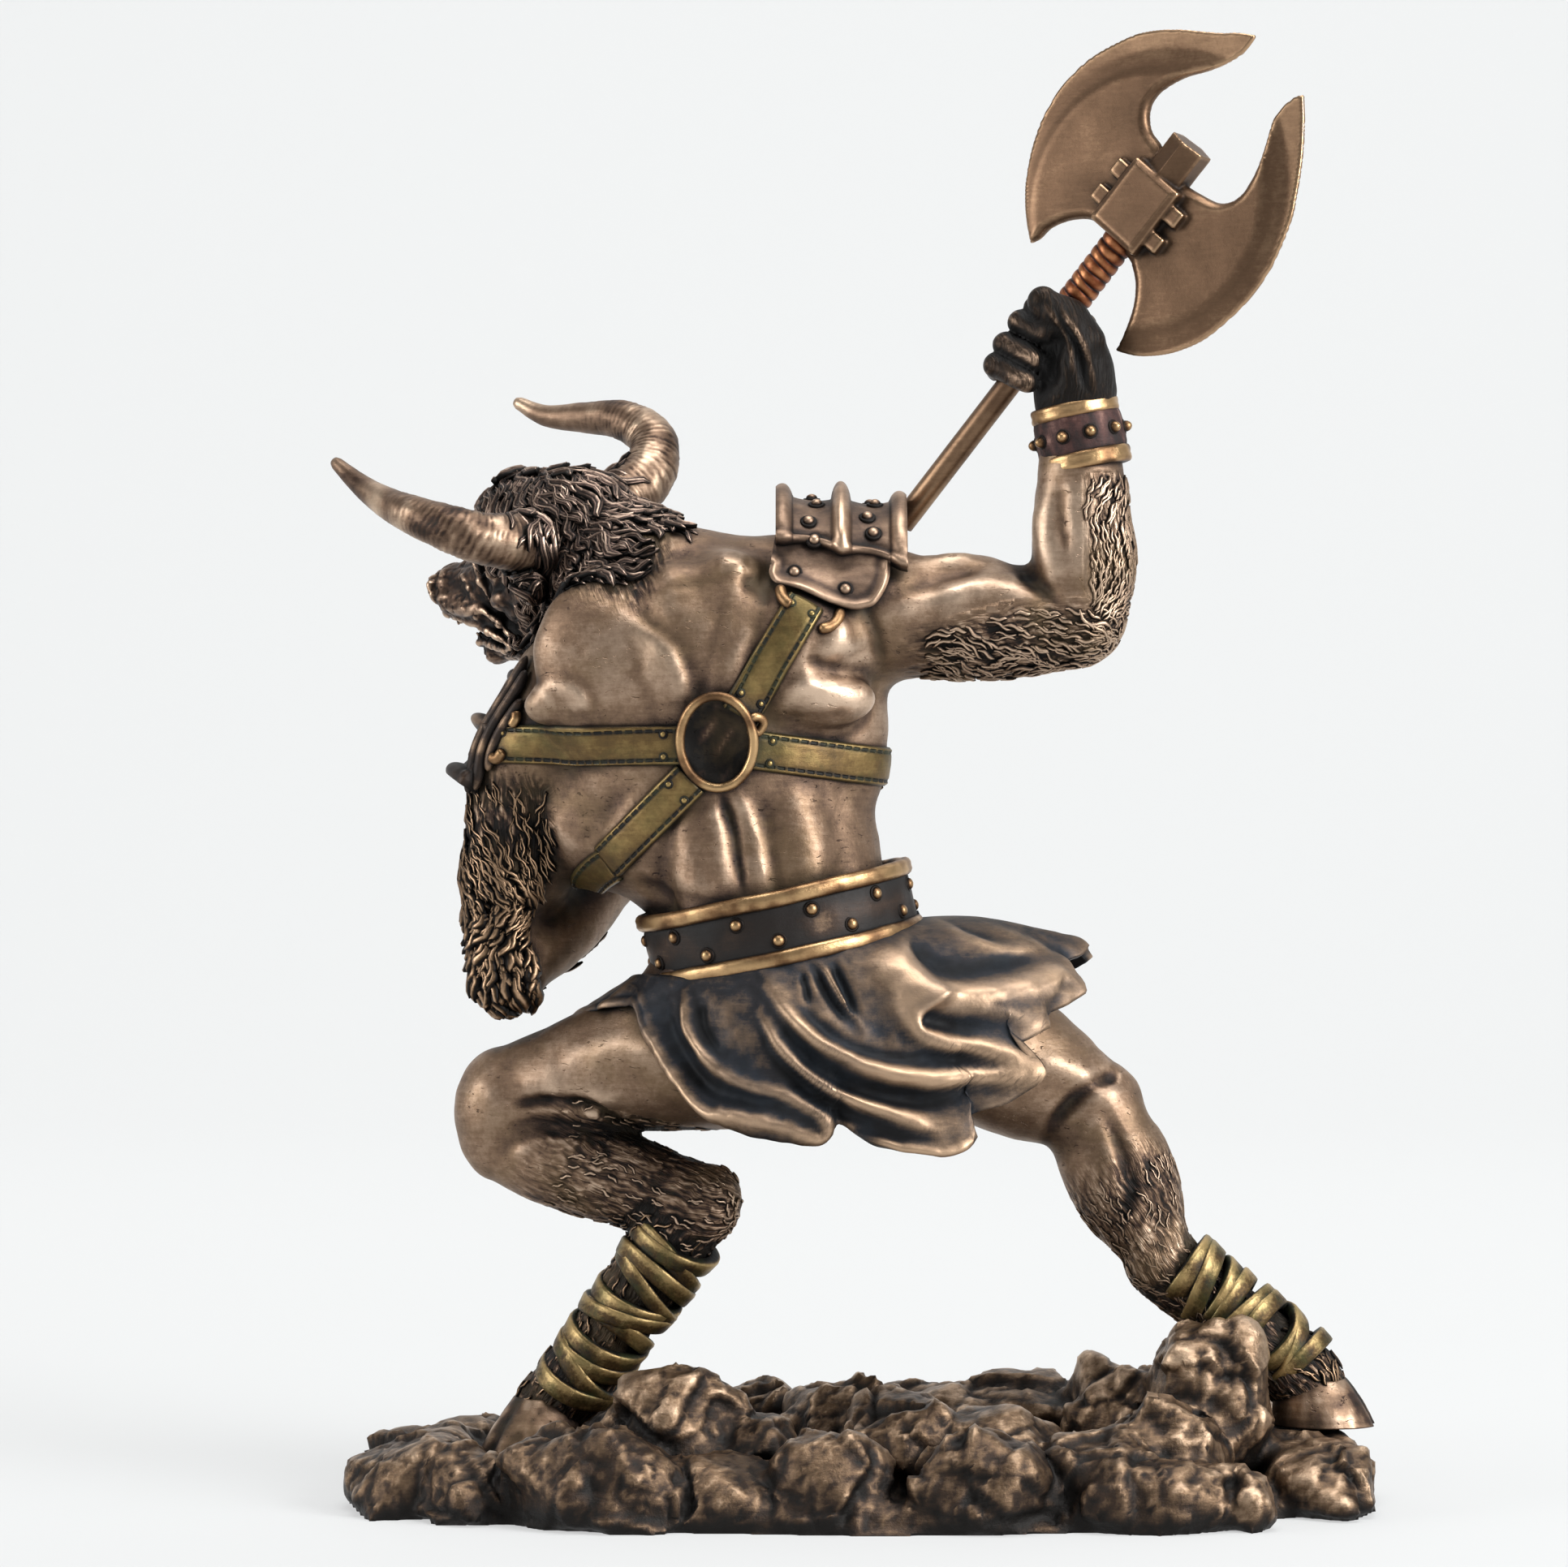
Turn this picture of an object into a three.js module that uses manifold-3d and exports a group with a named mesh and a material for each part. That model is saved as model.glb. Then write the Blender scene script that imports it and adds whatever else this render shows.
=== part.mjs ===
// Minotaur statue: a bull-headed warrior seen from behind, lunging with a raised double axe on a rocky base.
// Millimetres, +Z up, the origin under the middle of the base. The figure's back faces -Y.
import * as THREE from 'three';
import { mergeVertices } from 'three/addons/utils/BufferGeometryUtils.js';
import { ConvexGeometry } from 'three/addons/geometries/ConvexGeometry.js';
import Module from 'manifold-3d';

const wasm = await Module();
wasm.setup();

// Driving dimensions
const CAST_GAP = 0.35;          // clearance between two castings
const BASE_HALF_LENGTH = 106;
const BASE_HALF_DEPTH = 53;
const GRID = 1.5;               // spacing of the sampled body
const BODY_FACES = 9000;         // the bare body after the first thinning
const CAST_FACES = 6380;         // the body with all that is cast on it
const ROCK_FACES = 1420;
const STRAP_WIDTH = 8;
const STRAP_LIFT = 1.1;
const STRAP_SINK = 1.6;
const RING_RADIUS = 8.9;
const RING_WIRE = 1.5;
const SHAFT_RADIUS = 2.5;
const BINDING_RADIUS = 3.4;
const BLADE_THICKNESS = 4.2;
const BLADE_SHIFT = 1.8;         // the blades sit a little to one side of the shaft
const PAULDRON_RADIUS = 20;
const WRAP_BANDS = 5;

// Landmarks of the pose; left and right are the viewer's, looking at the back
const SPINE = {
  pelvis: [-16.4, 2, 109.1], waist: [-19.4, 3, 126.7], ribs: [-29.8, 7, 153.3], chest: [-36.1, 7, 173.1],
  neck: [-40.3, 6, 182.2], nape: [-57.4, 18, 195.4],
};
const LEFT = {
  shoulder: [-72.9, 13, 157.5], elbow: [-74.5, 9, 106.3], wrist: [-53.8, 38, 127.9], fist: [-44.9, 49, 137],
  hip: [-32.7, 2, 94.1], knee: [-76.6, 11, 78.8], hock: [-35.2, 0, 60.2], fetlock: [-59.6, 6, 24.5],
};
const RIGHT = {
  shoulder: [1.5, 2, 183.1], elbow: [44.2, -6, 181.6], wrist: [42.8, -5, 224.9],
  hip: [5.7, 2, 103.3], knee: [47.1, 1, 80.8], hock: [60.6, -3, 51.1], fetlock: [88.2, 1, 27],
};
const HEAD = {
  centre: [-62, 18, 199.5], right: [0.674, 0.663, 0.326], fore: [-0.649, 0.742, -0.169], up: [-0.354, -0.098, 0.93],
};
const AXE = { centre: [56.6, -8, 264.8], foot: [5.9, 14, 198.7], normal: [-0.26, -0.906, 0.33] };
const RING_CENTRE = [-30.3, -20, 156.3];

// Small vector tools on plain triples
const add = (a, b, s = 1) => [a[0] + b[0] * s, a[1] + b[1] * s, a[2] + b[2] * s];
const sub = (a, b) => [a[0] - b[0], a[1] - b[1], a[2] - b[2]];
const dot = (a, b) => a[0] * b[0] + a[1] * b[1] + a[2] * b[2];
const cross = (a, b) => [a[1] * b[2] - a[2] * b[1], a[2] * b[0] - a[0] * b[2], a[0] * b[1] - a[1] * b[0]];
const scale = (a, s) => [a[0] * s, a[1] * s, a[2] * s];
const size = (a) => Math.hypot(a[0], a[1], a[2]);
const unit = (a) => scale(a, 1 / size(a));
const mix = (a, b, t) => add(a, sub(b, a), t);
const vector = (a) => new THREE.Vector3(a[0], a[1], a[2]);
const hash = (n) => {
  const s = Math.sin(n * 127.1 + 311.7) * 43758.5453;
  return s - Math.floor(s);
};
// Three axes with z along the given direction and x as near as possible to the hint
function axes(hint, along) {
  const z = unit(along);
  const x = unit(add(hint, z, -dot(hint, z)));
  return [x, cross(z, x), z];
}

// The body as one blended form: rounded cones, bellied muscles and ellipsoids
const smoothMin = (a, b, k) => {
  const h = Math.max(k - Math.abs(a - b), 0) / k;
  return Math.min(a, b) - h * h * k * 0.25;
};
class Form {
  constructor() { this.items = []; }
  // A tapered limb; with a belly radius it swells in the middle
  limb(soft, a, b, ra, rb, belly = null, cut = false) {
    const ab = sub(b, a);
    const inv = 1 / dot(ab, ab);
    const bulge = belly === null ? null : 2 * belly - (ra + rb) / 2;
    this.items.push({
      soft, cut, centre: mix(a, b, 0.5), reach: size(ab) / 2 + Math.max(ra, rb, belly ?? 0) * 1.2,
      distance: (p) => {
        const ap = sub(p, a);
        const t = Math.min(1, Math.max(0, dot(ap, ab) * inv));
        const r = bulge === null ? ra + (rb - ra) * t
          : ra * (1 - t) * (1 - t) + rb * t * t + 2 * t * (1 - t) * bulge;
        return size(add(ap, ab, -t)) - r;
      },
    });
    return this;
  }
  ball(soft, c, r, ax = [[1, 0, 0], [0, 1, 0], [0, 0, 1]], cut = false) {
    this.items.push({
      soft, cut, centre: c, reach: Math.max(...r),
      distance: (p) => {
        const d = sub(p, c);
        const q = [dot(d, ax[0]) / r[0], dot(d, ax[1]) / r[1], dot(d, ax[2]) / r[2]];
        const k0 = size(q) + 1e-9;
        const k1 = Math.hypot(q[0] / r[0], q[1] / r[1], q[2] / r[2]) + 1e-9;
        return k0 * (k0 - 1) / k1;
      },
    });
    return this;
  }
  near(c, reach) {
    return this.items.filter((i) => size(sub(i.centre, c)) - i.reach < reach + i.soft);
  }
  value(p, items = this.items) {
    let d = 60;
    for (const i of items) {
      const v = i.distance(p);
      d = i.cut ? -smoothMin(-d, v, i.soft) : smoothMin(d, v, i.soft);
    }
    return d;
  }
  slope(p, items = this.items) {
    const e = 0.3;
    const g = [0, 0, 0];
    for (let a = 0; a < 3; a += 1) {
      const q = [...p];
      const r = [...p];
      q[a] += e;
      r[a] -= e;
      g[a] = this.value(q, items) - this.value(r, items);
    }
    return unit(g);
  }
  // The nearest point of the skin, and the direction out of it
  skin(p) {
    let q = p;
    for (let n = 0; n < 6; n += 1) {
      q = add(q, this.slope(q), -0.9 * this.value(q));
    }
    return { point: q, normal: this.slope(q) };
  }
}

const headAxes = [HEAD.right, HEAD.fore, HEAD.up];
const head = (r, f, u) => add(add(add(HEAD.centre, HEAD.right, r), HEAD.fore, f), HEAD.up, u);
const shaftAxis = unit(sub(AXE.centre, AXE.foot));
const onShaft = (t) => add(AXE.centre, shaftAxis, t);

function trunk(form) {
  const lean = axes([1, 0, 0.15], [-0.27, 0, 0.96]);
  form.ball(8, SPINE.pelvis, [27, 22, 18], axes([1, 0, 0.2], [-0.15, 0, 1]));
  form.ball(8, SPINE.waist, [23.5, 20, 21], lean);
  form.ball(8, SPINE.ribs, [33, 25, 33], lean);
  form.ball(7, SPINE.chest, [33, 24, 21], axes([1, 0, 0.25], [-0.2, 0, 1]));
  form.ball(6, [-38.6, 5, 137.5], [18, 18, 14], lean);
  form.ball(6, [-11, 4, 180.1], [18, 18, 16]);
  form.ball(6, [-57, 13, 163], [17, 17, 17], axes([1, 0, 0.2], [0, 0, 1]));
  form.limb(6, [-38, 4, 187.5], [-15, 4, 187], 10.5, 11);
  form.limb(5, [-5, 2, 175.1], [-3.6, 2, 151.8], 7.5, 7, 8.6);
  form.limb(8, SPINE.neck, SPINE.nape, 17, 13);
  // Shoulder blades, the ridges between them and the columns beside the spine
  form.ball(3, [-52, -12, 174.5], [14, 9, 16.5], axes([1, 0, 0.3], [-0.2, 0, 1]));
  form.limb(3, [-39.1, -13, 188.3], [-37.8, -15, 163.6], 5, 4, 8);
  form.limb(3, [-27.6, -11, 189.2], [-30.9, -15, 163.6], 6, 4, 8);
  form.ball(3, [-16, -12, 175.1], [13, 9, 14], axes([1, 0, 0.3], [0.3, 0, 1]));
  form.ball(3, [-6.9, -8, 175.1], [8, 7, 7]);
  form.ball(3, [-10.3, -11, 164.9], [12, 8, 6], axes([1, 0, -0.1], [0, 0, 1]));
  form.ball(2, [-62.1, -8, 163.9], [5, 5, 4]);
  form.limb(3, [-26.8, -13, 142.2], [-23.5, -15, 123.2], 3, 4, 4.5);
  form.limb(3, [-34.2, -11, 142.1], [-31.7, -13, 123.2], 5, 6, 7);
  form.limb(3, [-15.2, -11, 142.1], [-12.4, -12, 124.8], 5, 6, 7);
  // Breast and belly, on the side turned away
  form.ball(3, [-52, 25, 171], [15, 9, 12], axes([1, 0, 0.2], [0, 0, 1]));
  form.ball(3, [-22, 24, 175], [15, 9, 12], axes([1, 0, 0.2], [0, 0, 1]));
  for (let row = 0; row < 3; row += 1) {
    form.ball(2, [-41 + 4 * row, 24 - 1.5 * row, 153 - 10.5 * row], [6.5, 6, 5.2]);
    form.ball(2, [-28 + 4 * row, 24 - 1.5 * row, 154 - 10.5 * row], [6.5, 6, 5.2]);
  }
}

function arms(form) {
  form.ball(6, LEFT.shoulder, [12, 14, 14]);
  form.limb(5, [-72, 12, 151.6], [-73, 11, 127.2], 8.9, 8.2, 9.8);
  form.limb(4, [-73.2, 11, 128], LEFT.elbow, 8.6, 6.6);
  form.limb(5, [-71, 11, 109], LEFT.wrist, 6, 6.3, 8.2);
  form.limb(3, LEFT.wrist, [-47.1, 46, 134.5], 6.2, 5.8);
  form.ball(3, LEFT.fist, [8.5, 7, 8]);
  for (let f = 0; f < 4; f += 1) {
    form.limb(1, [-44 + 1.5 * f, 44, 142.5 - 3.4 * f], [-40 + 1.5 * f, 53.5, 142 - 3.4 * f], 2.6, 2.4);
  }
  form.ball(6, RIGHT.shoulder, [15, 16, 13.5]);
  form.limb(5, [4.8, 1, 181.3], [41, -5, 180.4], 10.3, 9, 11.8);
  form.limb(3, [9, 2, 187.1], [30.5, -2, 188.1], 4, 4, 7);
  form.ball(4, RIGHT.elbow, [7.4, 7.5, 7.6]);
  form.limb(4, [44.2, -6, 183.4], [43.8, -6, 209.9], 8, 7.6, 10);
  form.ball(4, [48.8, -6, 191.7], [5, 7, 9]);
  form.limb(4, [44.1, -6, 208.3], RIGHT.wrist, 8.2, 8);
  // The right hand closed round the shaft, fingers stacked towards the viewer's left
  form.ball(3, [42.2, -7, 230.1], [8, 7.5, 9], axes([1, 0, 0], [-0.2, 0, 1]));
  form.limb(3, [44.4, -6, 228.1], [41, -9, 242], 5.5, 4.5, 6.5);
  const knuckles = [[37.2, 243.4], [33.9, 240.4], [30.9, 235.9], [28.9, 231.7]];
  for (const [x, z] of knuckles) {
    form.limb(0.7, [x - 2, -4, z + 1.4], [x + 4, -11, z - 2.2], 2.6, 2.5);
    form.limb(0.7, [x - 1.4, 4, z + 1.1], [x - 2, -4, z + 1.4], 2.6, 2.6);
    form.limb(0.7, [x - 1.4, 4, z + 1.1], [x + 8, 7, z - 1.5], 2.6, 2.6);
  }
  form.limb(2, [44.2, -11, 237.8], [36, -10, 245.8], 4.2, 3.2, 4.2);
}

function legs(form) {
  form.limb(7, LEFT.hip, [-72.6, 10, 83], 18.5, 10, 13.4);
  form.ball(5, LEFT.knee, [8.5, 10.5, 11]);
  form.limb(2.5, [-74.9, 10, 72.5], [-34.4, 0, 61.6], 8, 6.8, 9.8);
  form.ball(3, [-31, -1, 61.7], [5, 5.5, 7], axes([1, 0, 0], [0.3, 0, 1]));
  form.limb(4, LEFT.hock, LEFT.fetlock, 8, 7);
  form.limb(3, LEFT.fetlock, [-64.6, 7.6, 18.8], 7.4, 7.6);
  form.limb(7, RIGHT.hip, [46.2, 2, 81], 20, 10, 14.6);
  form.ball(4, RIGHT.knee, [9, 10, 8.8]);
  form.limb(3, [46.8, 1, 79.1], [59.6, -2, 51.8], 9, 6.2, 11.2);
  form.ball(3, RIGHT.hock, [6, 6.5, 7]);
  form.limb(3, [61.5, -2, 48.4], RIGHT.fetlock, 7.2, 7.2);
  form.limb(3, RIGHT.fetlock, [91.4, 1.5, 24], 7.2, 7.2);
}

function bullHead(form) {
  form.ball(5, head(0, -3, 0), [12, 15, 12.5], headAxes);
  form.ball(4, head(0, 10, 1), [10.5, 10, 8.5], headAxes);
  form.limb(3, head(0, 14, -3), head(0, 34, -7), 9, 6.6);
  form.ball(2, head(0, 38, -6.5), [7, 4.5, 4.8], headAxes);
  form.limb(2, head(-3.5, 30, -10.5), head(3.5, 30, -10.5), 4.6, 4.6);
  form.limb(3, head(0, 6, -15), head(0, 33.5, -20.5), 7.5, 4.2);
  for (const side of [-1, 1]) {
    form.ball(3, head(7.5 * side, 6, -7), [4.5, 10, 8], headAxes);
  }
  form.limb(1.2, head(0, 44, -16), head(0, 14, -13), 3, 1.6, null, true);
  for (const side of [-1, 1]) {
    form.limb(1.5, head(4 * side, 19, 3.5), head(10.5 * side, 9, 4), 2, 2, 3);
    form.ball(1, head(8.4 * side, 14, 0), [2.6, 2.6, 2.6], headAxes);
    form.ball(0.8, head(4 * side, 40.5, -6.5), [1.7, 1.9, 1.7], headAxes, true);
    const out = unit(add(add(scale(HEAD.right, 0.9 * side), HEAD.up, -0.5), HEAD.fore, -0.3));
    form.ball(1.5, head(15 * side, -2, -5), [2, 3.2, 6.5], axes(HEAD.fore, out));
  }
  const nearHorn = [[-68.6, 5.8, 197], [-76, -0.3, 197.4], [-84, -2.7, 199.4], [-91.6, 1.2, 202.2],
    [-98.4, 8.4, 205.2], [-104.6, 15.8, 209.2], [-110.8, 21.5, 214.6]];
  const farHorn = [[-50.4, 23.8, 206.2], [-44.8, 29.4, 212.3], [-44.4, 35.1, 219.4], [-51, 41.2, 223.6],
    [-59, 47.1, 224.4], [-67.5, 51.8, 225], [-74.5, 55.8, 228.3]];
  const hornRadius = [5.6, 5.3, 4.8, 4.2, 3.3, 2.4, 1.2];
  for (const horn of [nearHorn, farHorn]) {
    for (let i = 0; i < horn.length - 1; i += 1) {
      form.limb(i ? 1.5 : 2, horn[i], horn[i + 1], hornRadius[i], hornRadius[i + 1]);
    }
  }
}

// Shaggy locks: rows of pointed tufts that lie down the back of the skull and the nape
function mane(form) {
  const crown = head(0, -5, 1.5);
  form.ball(3, crown, [14.5, 13.5, 14], headAxes);
  form.ball(4, [-51, 9, 191.5], [11, 12, 9.5]);
  const rows = 6;
  for (let row = 0; row < rows; row += 1) {
    const count = 7 + (row % 2);
    for (let i = 0; i < count; i += 1) {
      const n = row * 17 + i;
      const turn = (-115 + 230 * (i + 0.5) / count + 10 * (hash(n) - 0.5)) * Math.PI / 180;
      const rise = (68 - 25 * row) * Math.PI / 180;
      const fall = rise - 0.62;
      const place = (lat, r) => add(add(add(crown, HEAD.right, r * Math.sin(turn) * Math.cos(lat)),
        HEAD.fore, -r * Math.cos(turn) * Math.cos(lat)), HEAD.up, r * Math.sin(lat));
      form.limb(0.8, place(rise, 12.6), place(fall, 15.8 + hash(n + 5)), 3, 0.9, 2.6);
    }
  }
  // The nape's fringe, ending in points on the back
  for (let i = 0; i < 8; i += 1) {
    const from = [-60 + 3.2 * i, -3.5 + 0.4 * i, 190 - 0.4 * i];
    const to = add(from, [1.5 + 2 * hash(i), -3.2, -7.5 - 3 * hash(i + 9)]);
    form.limb(0.8, from, to, 3, 0.8, 2.4);
  }
  for (let i = 0; i < 7; i += 1) {
    form.limb(0.8, head(-7 + 2.3 * i, 4, -20), head(-6 + 2 * i, 10 + 4 * hash(i), -27 - 2 * hash(i + 3)), 2.6, 0.8, 2.2);
  }
}

// Tufts of fur down a limb's outer side: each row's tips stand over the next row
function tufts(form, from, to, facing, radius, rows, across, length) {
  const along = unit(sub(to, from));
  const frame = axes(facing, along);
  for (let row = 0; row < rows; row += 1) {
    const t = (row + 0.3) / rows;
    const root = mix(from, to, t);
    for (let i = 0; i < across; i += 1) {
      const angle = ((i + (row % 2) * 0.5) / (across - 1) - 0.5) * 2.2;
      const out = add(scale(frame[0], Math.cos(angle)), frame[1], Math.sin(angle));
      const start = add(root, out, radius - 1.6);
      const tip = add(add(start, along, length), out, 1.3);
      form.limb(0.8, start, tip, 2.2, 0.7, 2);
    }
  }
}

function bodyForm() {
  const form = new Form();
  trunk(form);
  arms(form);
  legs(form);
  bullHead(form);
  mane(form);
  tufts(form, [-73, 12, 142], [-74, 9.5, 110], [-0.7, -0.7, 0], 8.8, 6, 5, 6);
  tufts(form, [20, -2, 179.5], [40, -6, 179], [0, -0.5, -0.85], 10.4, 4, 4, 6);
  tufts(form, [44, -6, 207], [44.5, -6, 184], [0.95, -0.3, 0], 9, 4, 3, 5.5);
  tufts(form, [-52, 5, 66], [-36, 0, 62], [0.2, -0.5, -0.85], 8, 2, 3, 5);
  const eye = form.skin(RING_CENTRE);
  form.ball(1.5, add(eye.point, eye.normal, 1.5), [6.8, 6.8, 3.4], axes([1, 0, 0], eye.normal), true);
  return form;
}

// Samples the form on a grid and nets its surface: one point in each crossed cell, one quad for each crossed edge
function netSurface(form, low, high, step) {
  const n = [0, 1, 2].map((a) => Math.ceil((high[a] - low[a]) / step) + 1);
  const at = (i, j, k) => (i * n[1] + j) * n[2] + k;
  const field = new Float32Array(n[0] * n[1] * n[2]).fill(60);
  const block = 6;
  const half = block * step * 0.87;
  for (let bi = 0; bi < n[0]; bi += block) {
    for (let bj = 0; bj < n[1]; bj += block) {
      for (let bk = 0; bk < n[2]; bk += block) {
        const c = [low[0] + (bi + block / 2) * step, low[1] + (bj + block / 2) * step, low[2] + (bk + block / 2) * step];
        const items = form.near(c, half + 6);
        const middle = items.length ? form.value(c, items) : 60;
        const solid = Math.abs(middle) > half * 1.6;
        for (let i = bi; i < Math.min(bi + block, n[0]); i += 1) {
          for (let j = bj; j < Math.min(bj + block, n[1]); j += 1) {
            for (let k = bk; k < Math.min(bk + block, n[2]); k += 1) {
              field[at(i, j, k)] = solid ? middle
                : form.value([low[0] + i * step, low[1] + j * step, low[2] + k * step], items);
            }
          }
        }
      }
    }
  }
  for (let pass = 0; pass < 12; pass += 1) {
    const net = netOnce(field, n, low, step, at);
    const counts = new Map();
    for (let f = 0; f < net.faces.length; f += 1) {
      const t = net.faces[f];
      for (let e = 0; e < 3; e += 1) {
        const key = Math.min(t[e], t[(e + 1) % 3]) * 4194304 + Math.max(t[e], t[(e + 1) % 3]);
        counts.set(key, (counts.get(key) ?? 0) + 1);
      }
    }
    const torn = [...counts].filter(([, c]) => c !== 2);
    if (!torn.length) return net;
    // Where two sheets meet in a cell, its corners are filled so that they join
    for (const [key] of torn) {
      for (const v of [Math.floor(key / 4194304), key % 4194304]) {
        const [i, j, k] = net.cells[v];
        for (let c = 0; c < 8; c += 1) {
          const q = at(i + (c >> 2), j + ((c >> 1) & 1), k + (c & 1));
          field[q] = Math.min(field[q], -0.05);
        }
      }
    }
  }
  throw new Error('the sampled body stays torn');
}

function netOnce(field, n, low, step, at) {
  const ids = new Map();
  const points = [];
  const cells = [];
  const corner = [];
  for (let c = 0; c < 8; c += 1) corner.push([c >> 2, (c >> 1) & 1, c & 1]);
  const pairs = [];
  for (let a = 0; a < 8; a += 1) {
    for (const bit of [1, 2, 4]) if (!(a & bit)) pairs.push([a, a | bit]);
  }
  for (let i = 0; i < n[0] - 1; i += 1) {
    for (let j = 0; j < n[1] - 1; j += 1) {
      for (let k = 0; k < n[2] - 1; k += 1) {
        const v = corner.map(([a, b, c]) => field[at(i + a, j + b, k + c)]);
        const inside = v.filter((x) => x < 0).length;
        if (inside === 0 || inside === 8) continue;
        const sum = [0, 0, 0];
        let hits = 0;
        for (const [a, b] of pairs) {
          if ((v[a] < 0) === (v[b] < 0)) continue;
          const t = v[a] / (v[a] - v[b]);
          for (let d = 0; d < 3; d += 1) sum[d] += corner[a][d] + t * (corner[b][d] - corner[a][d]);
          hits += 1;
        }
        ids.set(at(i, j, k), points.length);
        cells.push([i, j, k]);
        points.push([low[0] + (i + sum[0] / hits) * step, low[1] + (j + sum[1] / hits) * step,
          low[2] + (k + sum[2] / hits) * step]);
      }
    }
  }
  const faces = [];
  const stride = [n[1] * n[2], n[2], 1];
  for (let i = 1; i < n[0] - 1; i += 1) {
    for (let j = 1; j < n[1] - 1; j += 1) {
      for (let k = 1; k < n[2] - 1; k += 1) {
        const here = at(i, j, k);
        const a = field[here] < 0;
        for (let d = 0; d < 3; d += 1) {
          if (a === (field[here + stride[d]] < 0)) continue;
          const u = stride[(d + 1) % 3];
          const w = stride[(d + 2) % 3];
          let q = [here, here - u, here - u - w, here - w].map((c) => ids.get(c));
          if (!a) q = q.reverse();
          const straight = size(sub(points[q[0]], points[q[2]])) <= size(sub(points[q[1]], points[q[3]]));
          if (straight) faces.push([q[0], q[1], q[2]], [q[0], q[2], q[3]]);
          else faces.push([q[1], q[2], q[3]], [q[1], q[3], q[0]]);
        }
      }
    }
  }
  return { points, faces, cells };
}

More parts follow.
